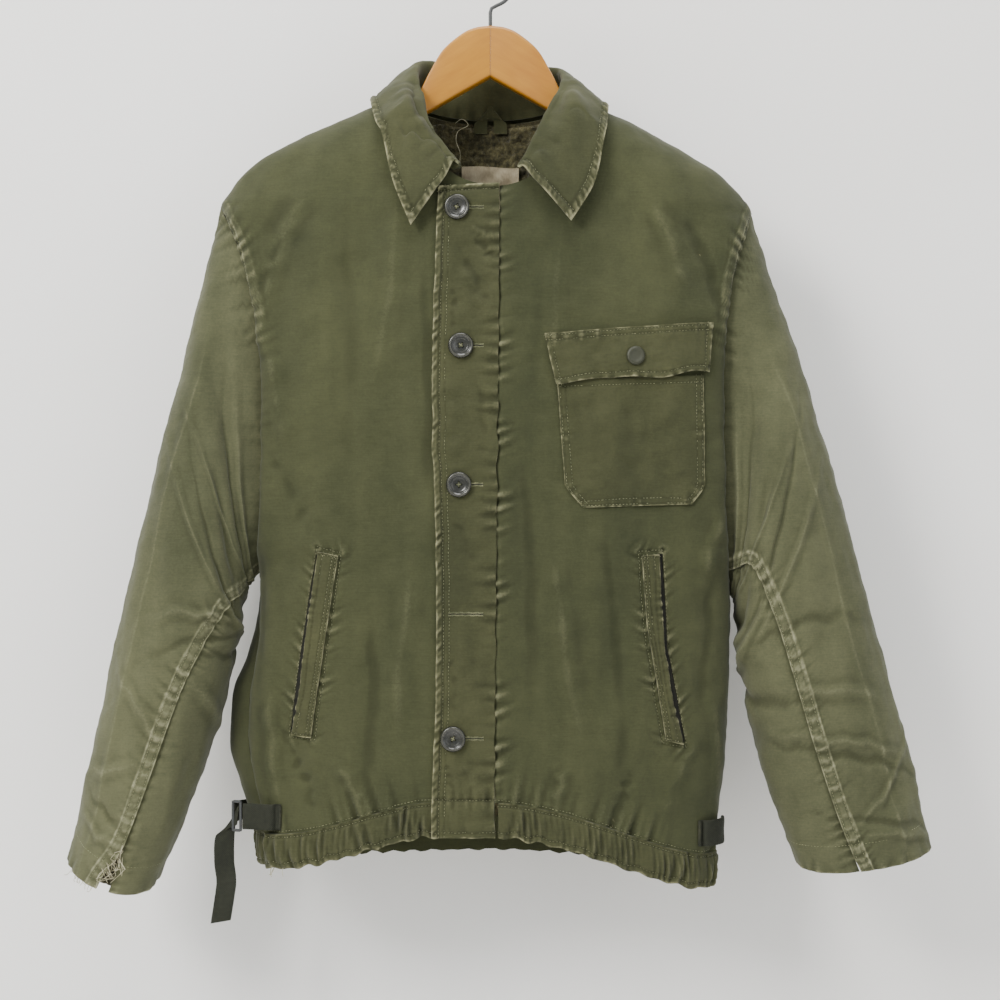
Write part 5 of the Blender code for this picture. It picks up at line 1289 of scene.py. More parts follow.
# %% Cut and sew the fronts
def closure_shift(z):
    """How far the closing edge wanders sideways at a height."""
    trend = np.interp(-z, [0.22, 0.37, 0.50, 0.72, 0.84], [0.0015, 0.0004, -0.0010, -0.0030, -0.0030])
    return trend + 0.00055 * ripple(z, 0.034, 57)


FRONT_COLUMNS, FRONT_ROWS = 142, 346
front_sheets = {}


def front_sheet(side):
    shares = even_shares(side, "front", FRONT_COLUMNS, close=1.4)
    share, down = np.meshgrid(shares, np.linspace(0, 1, FRONT_ROWS), indexing="ij")
    grid = body_surface(side, "front", share, down)
    if side == "left":
        fade = np.exp(-(((grid[..., 0] - LEFT_FRONT_START) / 0.03) ** 2))
        grid[..., 0] += closure_shift(grid[..., 2]) * fade
    sheet = Sheet(grid, outward(grid) * normals_of(grid))
    sheet.crease(FRONT_CREASES[side])
    seam = sheet.edge("last")
    top = int(np.argmin(np.abs(seam[:, 2] + 0.243)))
    low = int(np.argmin(np.abs(seam[:, 2] + 0.590)))
    sheet.felled("last", 0.0125, seed=21, start=top / FRONT_ROWS, end=low / FRONT_ROWS)
    waist = sheet.edge("low")
    sheet.pucker(waist, 0.020, 0.0013, 0.0135, 31, wear=0.16)
    sheet.row_of_stitches(sheet.inset("low", 0.0022), 0.0005)
    for corners in POCKET_FRAMES[side]:
        frame_line = on_front(sheet, spread_line(corners, 90))
        sheet.row_of_stitches(frame_line, 0.0008, groove=0.0011, shade=0.55)
        sheet.pucker(frame_line, 0.009, 0.0005, 0.0100, 41, wear=0.30, slant=0.6)
    mouth = on_front(sheet, spread_line(POCKET_MOUTHS[side], 60))
    away, along = sheet.near(mouth)
    open_by = 0.0011 + 0.0014 * np.sin(np.clip(along / along.max(), 0, 1) * math.pi)
    # Painted shadow: the open mouth of the pocket is painted nearly black.
    sheet.slit += 2.4 * smooth_step(open_by + 0.0012, open_by, away)
    sheet.rise -= 0.0018 * np.exp(-((away / 0.0032) ** 2))
    sheet.wear -= 0.8 * smooth_step(open_by + 0.0012, open_by, away)
    sheet.wear += 0.35 * np.exp(-(((away - open_by - 0.0016) / 0.0009) ** 2))
    if side == "left":
        closing = sheet.edge("first")
        sheet.pucker(closing, 0.011, 0.0009, 0.0110, 51, wear=0.45, slant=0.3)
        away, along = sheet.worn_edge(closing, 0.0012, 0.25)
        sheet.rise -= 0.0016 * np.exp(-((away / 0.0020) ** 2))
        sheet.shade += 0.9 * np.exp(-((away / 0.0012) ** 2))
    sheet.soften(0.00045, 0.034, 61 if side == "left" else 67)
    return sheet


for side in ("right", "left"):
    sheet = front_sheet(side)
    front_sheets[side] = sheet
    made = shell(f"front_panel_{side}", sheet, WALL, shell_cotton, pile_fabric)
    declare(made, sheet, f"front_{side}")


# %% [markdown]
# ## The back
# One wide panel, never seen in the photograph, so it is finished as such a back is: plain, with the
# same long drapes from the shoulder blades, felled armholes, and gathers at the waistband.

# %% Cut and sew the back
BACK_CREASES = [
    CreaseRow(-0.170, -0.245, -0.120, -0.420, 0.012, 0.0016, 0.006),
    CreaseRow(-0.205, -0.290, -0.150, -0.520, 0.010, -0.0014, 0.005),
    CreaseRow(-0.090, -0.560, -0.110, -0.790, 0.011, 0.0015, -0.006),
    CreaseRow(-0.020, -0.420, -0.030, -0.700, 0.013, -0.0012, 0.006),
    CreaseRow(0.030, -0.300, 0.022, -0.560, 0.012, 0.0012, 0.005),
    CreaseRow(0.170, -0.250, 0.120, -0.430, 0.012, 0.0015, -0.006),
    CreaseRow(0.205, -0.330, 0.160, -0.560, 0.010, -0.0014, -0.004),
    CreaseRow(0.080, -0.600, 0.100, -0.800, 0.011, 0.0015, 0.005),
    CreaseRow(0.150, -0.680, 0.180, -0.820, 0.009, -0.0016, 0.003),
    CreaseRow(-0.180, -0.700, -0.200, -0.820, 0.009, 0.0015, 0.003),
]


BACK_HALF_COLUMNS, BACK_ROWS = 82, 226


def back_sheet():
    halves = []
    for side in ("right", "left"):
        shares = even_shares(side, "back", BACK_HALF_COLUMNS, close=0.8)
        share, down = np.meshgrid(shares, np.linspace(0, 1, BACK_ROWS), indexing="ij")
        halves.append(body_surface(side, "back", share, down))
    grid = np.concatenate([halves[0][::-1], halves[1][1:]])
    sheet = Sheet(grid, outward(grid) * normals_of(grid))
    sheet.crease(BACK_CREASES)
    for edge, seed in (("first", 22), ("last", 23)):
        sheet.felled(edge, 0.0125, seed=seed, start=0.17, end=0.66)
    sheet.pucker(sheet.edge("low"), 0.020, 0.0013, 0.0135, 32, wear=0.16)
    sheet.row_of_stitches(sheet.inset("low", 0.0022), 0.0005)
    sheet.soften(0.00045, 0.036, 68)
    return sheet


back = back_sheet()
declare(shell("back_panel", back, WALL, shell_cotton, pile_fabric), back, "back")

# %% [markdown]
# ## The waistband
# The band is cut longer than the waist and drawn up on its own stitching, so it stands in small
# uneven ruffles and its low edge waves. Two rows of stitches cross it, and the fold along its
# bottom has rubbed almost white.

# %% Gather the waistband
def band_sheet(side, face, columns, seed, rows=29):
    shares = even_shares(side, face, columns, HEM_LEVEL)
    share, down = np.meshgrid(shares, np.linspace(0, 1, rows), indexing="ij")
    low = hem_height(side, face, share)
    x, _ = section(side, face, share, low)
    along = lengths_along(np.stack([x[:, -1], 0 * x[:, -1], 0 * x[:, -1]], axis=1))[:, None]
    hang = 0.0014 * ripple(along, 0.020, seed) * down**2
    z = low + (BAND_HEIGHT + 0.0004) * (1 - down) + hang
    x, y = section(side, face, share, z)
    grid = np.stack([x, y, z], axis=-1)
    if (side, face) == ("left", "front"):
        step = PLACKET_TOP * np.exp(-(((grid[..., 0] - LEFT_FRONT_START) / 0.018) ** 2))
        grid[..., 1] -= step
    return grid


def sew_band(sheet, seed):
    down = np.linspace(0, 1, sheet.grid.shape[1])[None, :]
    along = lengths_along(sheet.grid)
    ruffle = ripple(along + 0.006 * down, 0.0115, seed) + 0.7 * ripple(along - 0.004 * down, 0.0060, seed + 1)
    ruffle = ruffle * (0.75 + 0.5 * ripple(along + 0.02 * down, 0.05, seed + 2))
    swell = 0.35 + 0.75 * np.sin(np.clip(down, 0, 1) * math.pi) ** 0.7 + 0.35 * down**3
    sheet.rise += 0.0012 * ruffle * swell + 0.0014 * np.sin(down * math.pi) ** 0.5
    sheet.wear += 0.08 * np.clip(ruffle, 0, 1.3) * swell
    sheet.shade += 0.38 * np.clip(-ruffle, 0, 1.3) * swell
    sheet.row_of_stitches(sheet.inset("top", 0.0030), 0.0010)
    sheet.row_of_stitches(sheet.inset("low", 0.0055), 0.0010)
    sheet.worn_edge(sheet.edge("low"), 0.0020, 0.85, seed + 2)
    sheet.worn_edge(sheet.edge("top"), 0.0010, 0.45, seed + 3)
    sheet.soften(0.0002, 0.012, seed + 4)


band_sheets = {}
for side, seed in (("right", 71), ("left", 81)):
    grid = band_sheet(side, "front", 241, seed)
    sheet = Sheet(grid, outward(grid) * normals_of(grid))
    sew_band(sheet, seed)
    band_sheets[side] = sheet
    made = shell(f"waistband_{side}", sheet, BAND_WALL - 0.001, trim_cotton, shell_cotton, 4)
    declare(made, sheet, f"hem_front_{side}")
halves = [band_sheet(side, "back", 201, 91, rows=25) for side in ("right", "left")]
grid = np.concatenate([halves[0][::-1], halves[1][1:]])
sheet = Sheet(grid, outward(grid) * normals_of(grid))
sew_band(sheet, 91)
band_sheets["back"] = sheet
made = shell("waistband_back", sheet, BAND_WALL - 0.001, trim_cotton, shell_cotton, 4)
declare(made, sheet, "hem_back")

# %% [markdown]
# ## The sleeves
# Each sleeve has two halves, joined at a felled seam that shows all the way down the front. The
# cloth buckles at the elbow and at the cuff, and a pressed fold runs down near the outer side. The
# wearer's right cuff has come unsewn at its seam: it gapes, its pile shows, and it is fraying.

# %% Creases of the sleeves
SLEEVE_CREASES = {
    "right": [
        SleeveFoldRow(0.18, 0.70, 0.05, 0.30, 0.012, 0.0016),
        SleeveFoldRow(0.25, 0.78, 0.06, 0.26, 0.011, -0.0017),
        SleeveFoldRow(0.33, 0.60, -0.04, 0.30, 0.012, 0.0012),
        SleeveFoldRow(0.47, 0.66, 0.05, 0.22, 0.012, -0.0016),
        SleeveFoldRow(0.50, 0.52, 0.03, 0.26, 0.012, 0.0014),
        SleeveFoldRow(0.60, 0.62, -0.05, 0.20, 0.010, 0.0017),
        SleeveFoldRow(0.64, 0.66, -0.05, 0.20, 0.010, -0.0016),
        SleeveFoldRow(0.77, 0.42, 0.04, 0.22, 0.009, 0.0010),
        SleeveFoldRow(0.905, 0.40, 0.015, 0.16, 0.006, -0.0012),
        SleeveFoldRow(0.93, 0.36, 0.010, 0.20, 0.006, 0.0012),
        SleeveFoldRow(0.85, 0.30, -0.02, 0.20, 0.008, 0.0010),
        SleeveFoldRow(0.55, 0.95, 0.05, 0.30, 0.014, 0.0020),
        SleeveFoldRow(0.62, 1.00, -0.04, 0.30, 0.014, -0.0020),
        SleeveFoldRow(0.75, 0.90, 0.04, 0.25, 0.012, 0.0016),
        SleeveFoldRow(0.45, 1.45, 0.05, 0.30, 0.014, 0.0018),
        SleeveFoldRow(0.57, 1.40, -0.05, 0.30, 0.014, -0.0018),
        SleeveFoldRow(0.70, 1.50, 0.03, 0.30, 0.014, 0.0016),
        SleeveFoldRow(0.90, 1.30, 0.02, 0.30, 0.010, -0.0013),
    ],
    "left": [
        SleeveFoldRow(0.17, 0.72, 0.06, 0.28, 0.012, 0.0016),
        SleeveFoldRow(0.24, 0.80, 0.06, 0.26, 0.011, -0.0018),
        SleeveFoldRow(0.36, 0.62, -0.03, 0.26, 0.012, 0.0014),
        SleeveFoldRow(0.46, 0.56, 0.06, 0.24, 0.012, -0.0015),
        SleeveFoldRow(0.53, 0.50, 0.04, 0.26, 0.012, 0.0014),
        SleeveFoldRow(0.62, 0.52, -0.04, 0.22, 0.010, -0.0015),
        SleeveFoldRow(0.72, 0.48, -0.04, 0.22, 0.009, 0.0016),
        SleeveFoldRow(0.80, 0.44, -0.05, 0.26, 0.007, 0.0016),
        SleeveFoldRow(0.83, 0.40, -0.05, 0.26, 0.008, -0.0018),
        SleeveFoldRow(0.88, 0.30, 0.05, 0.22, 0.007, 0.0013),
        SleeveFoldRow(0.93, 0.36, -0.03, 0.24, 0.007, -0.0013),
        SleeveFoldRow(0.96, 0.26, -0.02, 0.20, 0.006, 0.0012),
        SleeveFoldRow(0.58, 0.92, 0.06, 0.26, 0.014, 0.0022),
        SleeveFoldRow(0.66, 0.95, -0.04, 0.26, 0.014, -0.0022),
        SleeveFoldRow(0.45, 1.45, 0.05, 0.30, 0.014, 0.0018),
        SleeveFoldRow(0.57, 1.40, -0.05, 0.30, 0.014, -0.0018),
        SleeveFoldRow(0.72, 1.50, 0.03, 0.30, 0.014, 0.0016),
        SleeveFoldRow(0.90, 1.30, 0.02, 0.30, 0.010, -0.0013),
    ],
}
PRESSED_TURN = {"right": 0.285, "left": 0.30}
CUFF_SLIT = {"right": 0.070, "left": 0.006}
SLIT_START = {"right": 0.925, "left": 0.97}


# %% Cut and sew the sleeves
def sleeve_sheet(side, face, columns, rows):
    share = np.linspace(0, 1, rows)[None, :]
    seam = SLEEVE[side].at("seam_turn", share)
    slit = CUFF_SLIT[side] * smooth_step(SLIT_START[side], 1.0, share)
    part = np.linspace(0, 1, columns)[:, None]
    if face == "front":
        begin, end = OUTER_SEAM_TURN + 0 * seam, seam + 0.0007 - slit
    else:
        begin, end = seam - 0.0007 + 0.25 * slit, 2 + OUTER_SEAM_TURN + 0 * seam
    turn = begin + (end - begin) * part
    share = share + 0 * turn
    grid = sleeve_surface(side, turn, share)
    out = sleeve_outward(side, turn, share)
    calm = smooth_step(0.0, 0.25, part) * smooth_step(0.0, 0.25, 1 - part)
    grid = grid + out * (sleeve_fold_rise(side, turn, share) * calm)[..., None]
    sheet = Sheet(grid, out)
    for number, fold in enumerate(SLEEVE_CREASES[side]):
        away = share - fold.share - fold.slant * (turn - fold.turn) / fold.length
        away = away + 0.003 * ripple(turn, 0.16, number)
        along = np.exp(-(((turn - fold.turn) / fold.length) ** 2))
        bump = np.exp(-((away / fold.width) ** 2)) * along
        sheet.rise += 1.7 * fold.rise * bump * smooth_step(0.06, 0.18, share)
        sheet.wear += 0.14 * np.exp(-((away / fold.width * 3.0) ** 2)) * along * (fold.rise > 0)
        sheet.shade += 0.28 * np.exp(-((away / fold.width * 1.5) ** 2)) * along * (fold.rise < 0)
    return sheet, turn, share


SLEEVE_GRIDS = {"front": (91, 262), "back": (61, 190)}


def sew_sleeve(side, face, seed):
    columns, rows = SLEEVE_GRIDS[face]
    sheet, turn, share = sleeve_sheet(side, face, columns, rows)
    if face == "front":
        pressed = (turn - PRESSED_TURN[side] - 0.012 * ripple(share, 0.3, seed)) * 0.10
        strength = smooth_step(0.10, 0.30, share)
        sheet.rise += 0.0009 * np.exp(-((pressed / 0.0030) ** 2)) * strength
        sheet.wear += 0.20 * np.exp(-((pressed / 0.0010) ** 2)) * strength
        sheet.shade += 0.25 * np.exp(-(((pressed + 0.0025) / 0.0020) ** 2)) * strength
        sheet.felled("last", 0.0120, seed=seed, start=0.06, end=1.0)
    else:
        away, _ = sheet.near(sheet.edge("first"))
        sheet.shade += 0.8 * np.exp(-((away / 0.0030) ** 2))
        sheet.rise -= 0.0010 * np.exp(-((away / 0.0040) ** 2))
        sheet.pucker(sheet.edge("first"), 0.010, 0.0006, 0.0085, seed, 0.15)
    sheet.pucker(sheet.edge("top"), 0.016, 0.0006, 0.0125, seed + 5, wear=0.12)
    away, _ = sheet.near(sheet.edge("low"))
    sheet.rise += 0.0005 * smooth_step(0.030, 0.026, away)
    sheet.row_of_stitches(sheet.inset("low", 0.0270), 0.0002, groove=0.0010, shade=0.05)
    sheet.worn_edge(sheet.edge("low"), 0.0016, 0.60, seed + 6)
    sheet.pucker(sheet.edge("low"), 0.010, 0.0004, 0.014, seed + 7, wear=0.15)
    sheet.soften(0.0006, 0.030, seed + 8)
    made = shell(f"sleeve_{side}_{face}_half", sheet, WALL, sleeve_cotton, pile_fabric)
    declare(made, sheet, f"sleeve_{side}_{face}")
    return sheet


sleeve_sheets = {}
for side, seed in (("right", 101), ("left", 131)):
    for face in ("front", "back"):
        sleeve_sheets[side, face] = sew_sleeve(side, face, seed + (face == "back") * 12)

# %% [markdown]
# ## The collar
# The collar is two layers of cotton turned and topstitched 8 mm in from the edge. Washing has
# shrunk the thread, so the strip outside the stitching is puffed and puckered, and its very edge
# is rubbed white. It stands at the back of the neck, folds over, and falls in two long leaves.


# %% Raise the collar
def smoother(grid, columns, rows):
    """A finer grid through the points of a coarse one."""
    tall = np.stack([spline(grid[:, k], columns) for k in range(grid.shape[1])], axis=1)
    return np.stack([spline(column, rows) for column in tall])


def two_sided(name, sheet, half, finish, edges, radius=0.0018):
    """A piece seen from both sides, with soft rounded edges."""
    away = np.full(sheet.grid.shape[:2], 1.0)
    for side in edges:
        away = np.minimum(away, sheet.near(sheet.edge(side))[0])
    share = np.clip(away / radius, 0, 1)
    thick = half * np.sqrt(np.clip(1 - (1 - share) ** 2, 0.02, 1))
    front = sheet.grid + sheet.out * (thick + sheet.rise)[..., None]
    back = sheet.grid - sheet.out * (thick - 0.6 * sheet.rise)[..., None]
    columns, rows = front.shape[:2]
    count = columns * rows
    flip = (normals_of(front) * sheet.out).sum() > 0
    faces = quads(columns, rows, 0, not flip) + quads(columns, rows, count, flip)
    index = np.arange(count).reshape(columns, rows)
    for line, turned in ((index[0], not flip), (index[-1], flip)):
        for a, b in zip(line[:-1].tolist(), line[1:].tolist()):
            ring = [a, b, b + count, a + count]
            faces.append(ring[::-1] if turned else ring)
    for line, turned in ((index[:, 0], flip), (index[:, -1], not flip)):
        for a, b in zip(line[:-1].tolist(), line[1:].tolist()):
            ring = [a, b, b + count, a + count]
            faces.append(ring[::-1] if turned else ring)
    points = np.concatenate([front.reshape(-1, 3), back.reshape(-1, 3)])
    layers = {"wear": np.tile(sheet.wear.ravel(), 2), "shade": np.tile(sheet.shade.ravel(), 2)}
    made = add_mesh(name, points, faces, [finish], layers)
    sheet.made = made
    return made


def cad_surface(*names):
    """The solids' own surfaces, to be met by rays."""
    points, faces = [], []
    for name in names:
        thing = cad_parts[name]
        start = len(points)
        points += [thing.matrix_world @ v.co for v in thing.data.vertices]
        faces += [[start + i for i in face.vertices] for face in thing.data.polygons]
    return Built(points, faces)


class Built:
    """A surface met by rays, so that what lies on it is made from it."""

    def __init__(self, points, faces):
        self.tree = BVHTree.FromPolygons(points, faces)

    def met(self, start, way):
        return self.tree.ray_cast(Vector(start), Vector(way))[0]


COLLAR_STITCH_IN = 0.0080
body_solids = cad_surface("front_right", "front_left", "back")
rough_collar = seat_fall(body_solids, collar_grid(30, 12), 6)
COLLAR_COLUMNS, COLLAR_ROWS = 265, 68
grid = smoother(rough_collar, COLLAR_COLUMNS, COLLAR_ROWS)
collar = Sheet(grid, normals_of(grid))
down = np.linspace(0, 1, grid.shape[1])[None, :]
on_fall = smooth_step(0.52, 0.62, down)
for side, seed in (("low", 151), ("first", 152), ("last", 153)):
    start = 0.55 if side != "low" else 0.0
    line = collar.inset(side, COLLAR_STITCH_IN, start, 1.0)
    edge = collar.inset(side, 0.0, start, 1.0)
    collar.row_of_stitches(line, 0.0010, groove=0.0012, shade=0.50)
    away, along = collar.near(edge)
    strip = smooth_step(COLLAR_STITCH_IN, COLLAR_STITCH_IN - 0.003, away)
    wrinkle = ripple(along + 0.7 * away, 0.0072, seed) * smooth_step(0.0, 0.002, away)
    collar.rise += strip * (0.0007 + 0.0008 * wrinkle) * on_fall
    collar.wear += strip * (0.10 + 0.18 * np.clip(wrinkle, 0, 1.2))
    collar.shade += strip * 0.45 * np.clip(-wrinkle, 0, 1.2)
    collar.worn_edge(edge, 0.0017, 1.0, seed + 10)
collar.pucker(collar.edge("top"), 0.010, 0.0004, 0.012, 161, 0.1)
collar.soften(0.0006, 0.034, 163)
made = two_sided("collar_leaf", collar, COLLAR_WALL / 2, trim_cotton, ("first", "last", "low"))
declare(made, collar, "collar")

# %% [markdown]
# ## What is sewn on the front
# The storm flap, the chest pocket and the welts are separate layers lying on the fronts. Each is
# laid by reading how far out the front is under it, so it follows every drape below, and then gets
# its own puckers. The storm flap's free edge is the most worn thing on the jacket: its shrunken
# topstitching twists the edge into a pale rope.


# %% Read how far out the cloth below is
class Ground:
    """How far out a stretch of cloth lies at any x and z, smoothed from its fine panels."""

    def __init__(self, grids, x_range, z_range, facing=-1.0, step=0.002, reach=0.5):
        points, faces = [], []
        for grid in grids:
            faces += quads(grid.shape[0], grid.shape[1], sum(len(p) for p in points))
            points.append(grid.reshape(-1, 3))
        tree = BVHTree.FromPolygons(np.concatenate(points).tolist(), faces)
        self.x = np.arange(x_range[0], x_range[1], step)
        self.z = np.arange(z_range[0], z_range[1], step)
        self.facing = facing
        self.y = np.full((len(self.x), len(self.z)), np.nan)
        way = Vector((0, -facing, 0))
        for i, x in enumerate(self.x):
            for k, z in enumerate(self.z):
                hit = tree.ray_cast(Vector((x, facing * reach, z)), way)[0]
                if hit is not None:
                    self.y[i, k] = hit.y
        self.fill()
        for _ in range(3):
            padded = np.pad(self.y, 1, mode="edge")
            self.y = (padded[:-2, 1:-1] + padded[2:, 1:-1] + padded[1:-1, :-2] + padded[1:-1, 2:]) / 4
        self.slope_x, self.slope_z = np.gradient(self.y, step)

    def fill(self):
        """Gives the places that no ray met the mean of their neighbours."""
        for _ in range(60):
            empty = np.isnan(self.y)
            if not empty.any():
                return
            padded = np.pad(self.y, 1, constant_values=np.nan)
            around = [padded[:-2, 1:-1], padded[2:, 1:-1], padded[1:-1, :-2], padded[1:-1, 2:]]
            known = sum(~np.isnan(part) for part in around)
            total = sum(np.nan_to_num(part) for part in around)
            self.y = np.where(empty & (known > 0), total / np.maximum(known, 1), self.y)
        self.y = np.nan_to_num(self.y, nan=float(np.nanmean(self.y)))

    def read(self, layer, x, z):
        i = np.clip((x - self.x[0]) / (self.x[1] - self.x[0]), 0, len(self.x) - 1.001)
        k = np.clip((z - self.z[0]) / (self.z[1] - self.z[0]), 0, len(self.z) - 1.001)
        a, b = i.astype(int), k.astype(int)
        u, v = i - a, k - b
        low = layer[a, b] * (1 - u) + layer[a + 1, b] * u
        high = layer[a, b + 1] * (1 - u) + layer[a + 1, b + 1] * u
        return low * (1 - v) + high * v

    def on(self, x, z, lift):
        """The points at x and z, moved out by lift, and the way out there."""
        x, z = np.broadcast_arrays(np.asarray(x, float), np.asarray(z, float))
        y = self.read(self.y, x, z)
        slope_x, slope_z = self.read(self.slope_x, x, z), self.read(self.slope_z, x, z)
        out = np.stack([-self.facing * slope_x, self.facing + 0 * y, -self.facing * slope_z], axis=-1)
        out = unit(out)
        lift = np.broadcast_to(lift, x.shape)
        return np.stack([x, y, z], axis=-1) + out * lift[..., None], out


front_grids = [front_sheets["right"].surface(), front_sheets["left"].surface()]
under_flap = Ground(
    [front_grids[0], band_sheets["right"].surface()], (-0.075, 0.006), (-0.835, -0.205)
)
front_ground = Ground(front_grids, (-0.235, 0.235), (-0.835, -0.240))
print("ground read:", under_flap.y.shape, front_ground.y.shape)

# %% Lay the storm flap
PlacketRow = namedtuple("PlacketRow", "height left_x right_x")
PLACKET = [
    PlacketRow(-0.824, -0.0545, 0.0066),
    PlacketRow(-0.752, -0.0525, 0.0064),
    PlacketRow(-0.697, -0.0497, 0.0040),
    PlacketRow(-0.600, -0.0492, 0.0010),
    PlacketRow(-0.513, -0.0505, 0.0018),
    PlacketRow(-0.440, -0.0527, 0.0028),
    PlacketRow(-0.330, -0.0515, 0.0055),
    PlacketRow(-0.222, -0.0480, 0.0064),
]
PLACKET_TABLE = Table(PLACKET)
PLACKET_TOP_Z, PLACKET_LOW_Z = -0.2230, -0.824
WAIST_SEAM_Z = -0.7900
PLACKET_CREASES = [
    CreaseRow(-0.018, -0.2600, 0.002, -0.2750, 0.0030, 0.0010, 0.001),
    CreaseRow(-0.014, -0.2720, 0.003, -0.2900, 0.0035, -0.0011, 0.001),
    CreaseRow(-0.030, -0.2780, -0.004, -0.3350, 0.0055, -0.0010, 0.002),
    CreaseRow(-0.024, -0.3000, 0.000, -0.3500, 0.0050, 0.0008, 0.002),
    CreaseRow(-0.034, -0.3150, -0.036, -0.3600, 0.0045, -0.0008, 0.001),
    CreaseRow(-0.036, -0.4000, -0.030, -0.4800, 0.0060, 0.0007, 0.003),
    CreaseRow(-0.012, -0.4000, -0.006, -0.4700, 0.0050, -0.0008, 0.002),
    CreaseRow(-0.036, -0.5250, -0.014, -0.5800, 0.0060, -0.0008, 0.003),
    CreaseRow(-0.030, -0.6300, -0.008, -0.6900, 0.0060, 0.0009, -0.003),
    CreaseRow(-0.038, -0.6500, -0.034, -0.7150, 0.0050, -0.0008, 0.002),
    CreaseRow(-0.026, -0.7500, -0.008, -0.7850, 0.0045, 0.0009, 0.001),
    CreaseRow(-0.040, -0.7550, -0.036, -0.7860, 0.0045, -0.0009, 0.001),
]


def rope_edge(sheet, side, width, wave, height, seed, start=0.0, end=1.0):
    """Shrunken topstitching twists the strip outside it into a rope."""
    edge = sheet.inset(side, 0.0, start, end)
    line = sheet.inset(side, width, start, end)
    sheet.row_of_stitches(line, 0.0011, groove=0.0011, shade=0.60)
    away, along = sheet.near(edge)
    strip = smooth_step(width - 0.0004, width - 0.0028, away)
    strength = 0.70 + 0.45 * ripple(along, 0.11, seed + 3)
    wrinkle = ripple(along + 0.95 * away, wave, seed) * strength
    sheet.rise += strip * (0.0009 + 1.2 * height * wrinkle)
    sheet.wear += strip * (0.10 + 0.24 * np.clip(wrinkle - 0.15, 0, 1.2))
    sheet.shade += strip * 0.55 * np.clip(-wrinkle - 0.1, 0, 1.2)
    sheet.worn_edge(edge, 0.0016, 0.95, seed + 5)


PLACKET_COLUMNS, PLACKET_ROWS = 46, 361
shares = np.linspace(0, 1, PLACKET_COLUMNS)
across, down = np.meshgrid(shares, np.linspace(0, 1, PLACKET_ROWS), indexing="ij")
top = PLACKET_TOP_Z + 0.0035 * across
z = top + (PLACKET_LOW_Z - top) * down
left = PLACKET_TABLE.at("left_x", z) + 0.0004 * ripple(z, 0.045, 171)
x = left + (CLOSURE_X + 0.0009 + closure_shift(z) - left) * across
grid, out = under_flap.on(np.minimum(x, 0.004), z, SEAT_GAP + 0.0006 + 0.0013)
grid[..., 0] += x - np.minimum(x, 0.004)
placket = Sheet(grid, out)
placket.crease(PLACKET_CREASES, wear=0.03)
placket.pucker(placket.edge("last"), 0.013, 0.0008, 0.0145, 172, wear=0.14)
rope_edge(placket, "first", 0.0066, 0.0092, 0.00085, 173)
rope_edge(placket, "top", 0.0050, 0.0080, 0.0005, 174)
second = placket.inset("first", 0.0118)
placket.row_of_stitches(second, 0.0004, groove=0.0012, shade=0.15)
seam_share = (PLACKET_TOP_Z - WAIST_SEAM_Z) / (PLACKET_TOP_Z - PLACKET_LOW_Z)
seam_row = int(seam_share * (PLACKET_ROWS - 1))
placket.row_of_stitches(placket.grid[:, seam_row], 0.0014, groove=0.0014, shade=0.6)
placket.pucker(placket.grid[:, seam_row], 0.010, 0.0007, 0.011, 175, wear=0.16)
placket.row_of_stitches(placket.inset("low", 0.0055), 0.0006)
placket.worn_edge(placket.edge("low"), 0.0018, 0.8, 176)
placket.worn_edge(placket.edge("last"), 0.0010, 0.25, 177)
placket.soften(0.0004, 0.022, 178)
made = two_sided("storm_flap", placket, 0.0013, trim_cotton, ("first", "top", "low"), 0.0016)
declare(made, placket, "placket")

# %% [markdown]
# ## The chest pocket
# A patch with its two lower corners cut off, topstitched twice, and a flap over its mouth. The flap
# has lost its stiffness, so its low edge waves and its corners lift.


# %% Lay the chest pocket, its flap and the welts
def laid_patch(left, right, lift, half, columns, rows, wave=None):
    """A sheet lying on the fronts between a left and a right edge, given from top to low."""
    share = np.linspace(0, 1, columns)[:, None, None]
    flat = spread_line(left, rows)[None] * (1 - share) + spread_line(right, rows)[None] * share
    x, z = flat[..., 0], flat[..., 1]
    extra = 0.0
    if wave is not None:
        down = np.linspace(0, 1, rows)[None, :]
        z = z + wave[0] * ripple(x, 0.052, 181) * down**2
        extra = wave[1] * (0.55 + 0.75 * ripple(x, 0.060, 182)) * down**2.5
    grid, out = front_ground.on(x, z, lift + half)
    grid = grid + out * np.broadcast_to(np.maximum(extra, -0.0004), x.shape)[..., None]
    return Sheet(grid, out)


POCKET_LEFT = [(0.0615, -0.402), (0.0690, -0.499), (0.0740, -0.506), (0.0860, -0.5195)]
POCKET_RIGHT = [(0.1975, -0.397), (0.1985, -0.498), (0.1960, -0.504), (0.1860, -0.5165)]
FLAP_LEFT = [(0.0505, -0.3590), (0.0600, -0.4040)]
FLAP_RIGHT = [(0.2055, -0.3475), (0.2020, -0.3950)]
FLAP_LIFT = SEAT_GAP + PATCH_WALL + 0.0009

pocket = laid_patch(POCKET_LEFT, POCKET_RIGHT, SEAT_GAP + 0.0003, 0.0008, 94, 82)
pocket.crease(
    [
        CreaseRow(0.085, -0.408, 0.094, -0.490, 0.007, 0.0008, 0.002),
        CreaseRow(0.125, -0.410, 0.122, -0.505, 0.009, -0.0007, 0.003),
        CreaseRow(0.165, -0.405, 0.170, -0.495, 0.007, 0.0007, -0.002),
    ],
    wear=0.05,
)
for side in ("first", "last", "low"):
    pocket.row_of_stitches(pocket.inset(side, 0.0020), 0.0004)
    pocket.row_of_stitches(pocket.inset(side, 0.0072), 0.0004, shade=0.2)
    pocket.pucker(pocket.inset(side, 0.0045), 0.006, 0.0003, 0.0085, 183, wear=0.16)
    pocket.worn_edge(pocket.edge(side), 0.0015, 0.95, 184)
pocket.row_of_stitches(pocket.inset("top", 0.0060), 0.0004, shade=0.35)
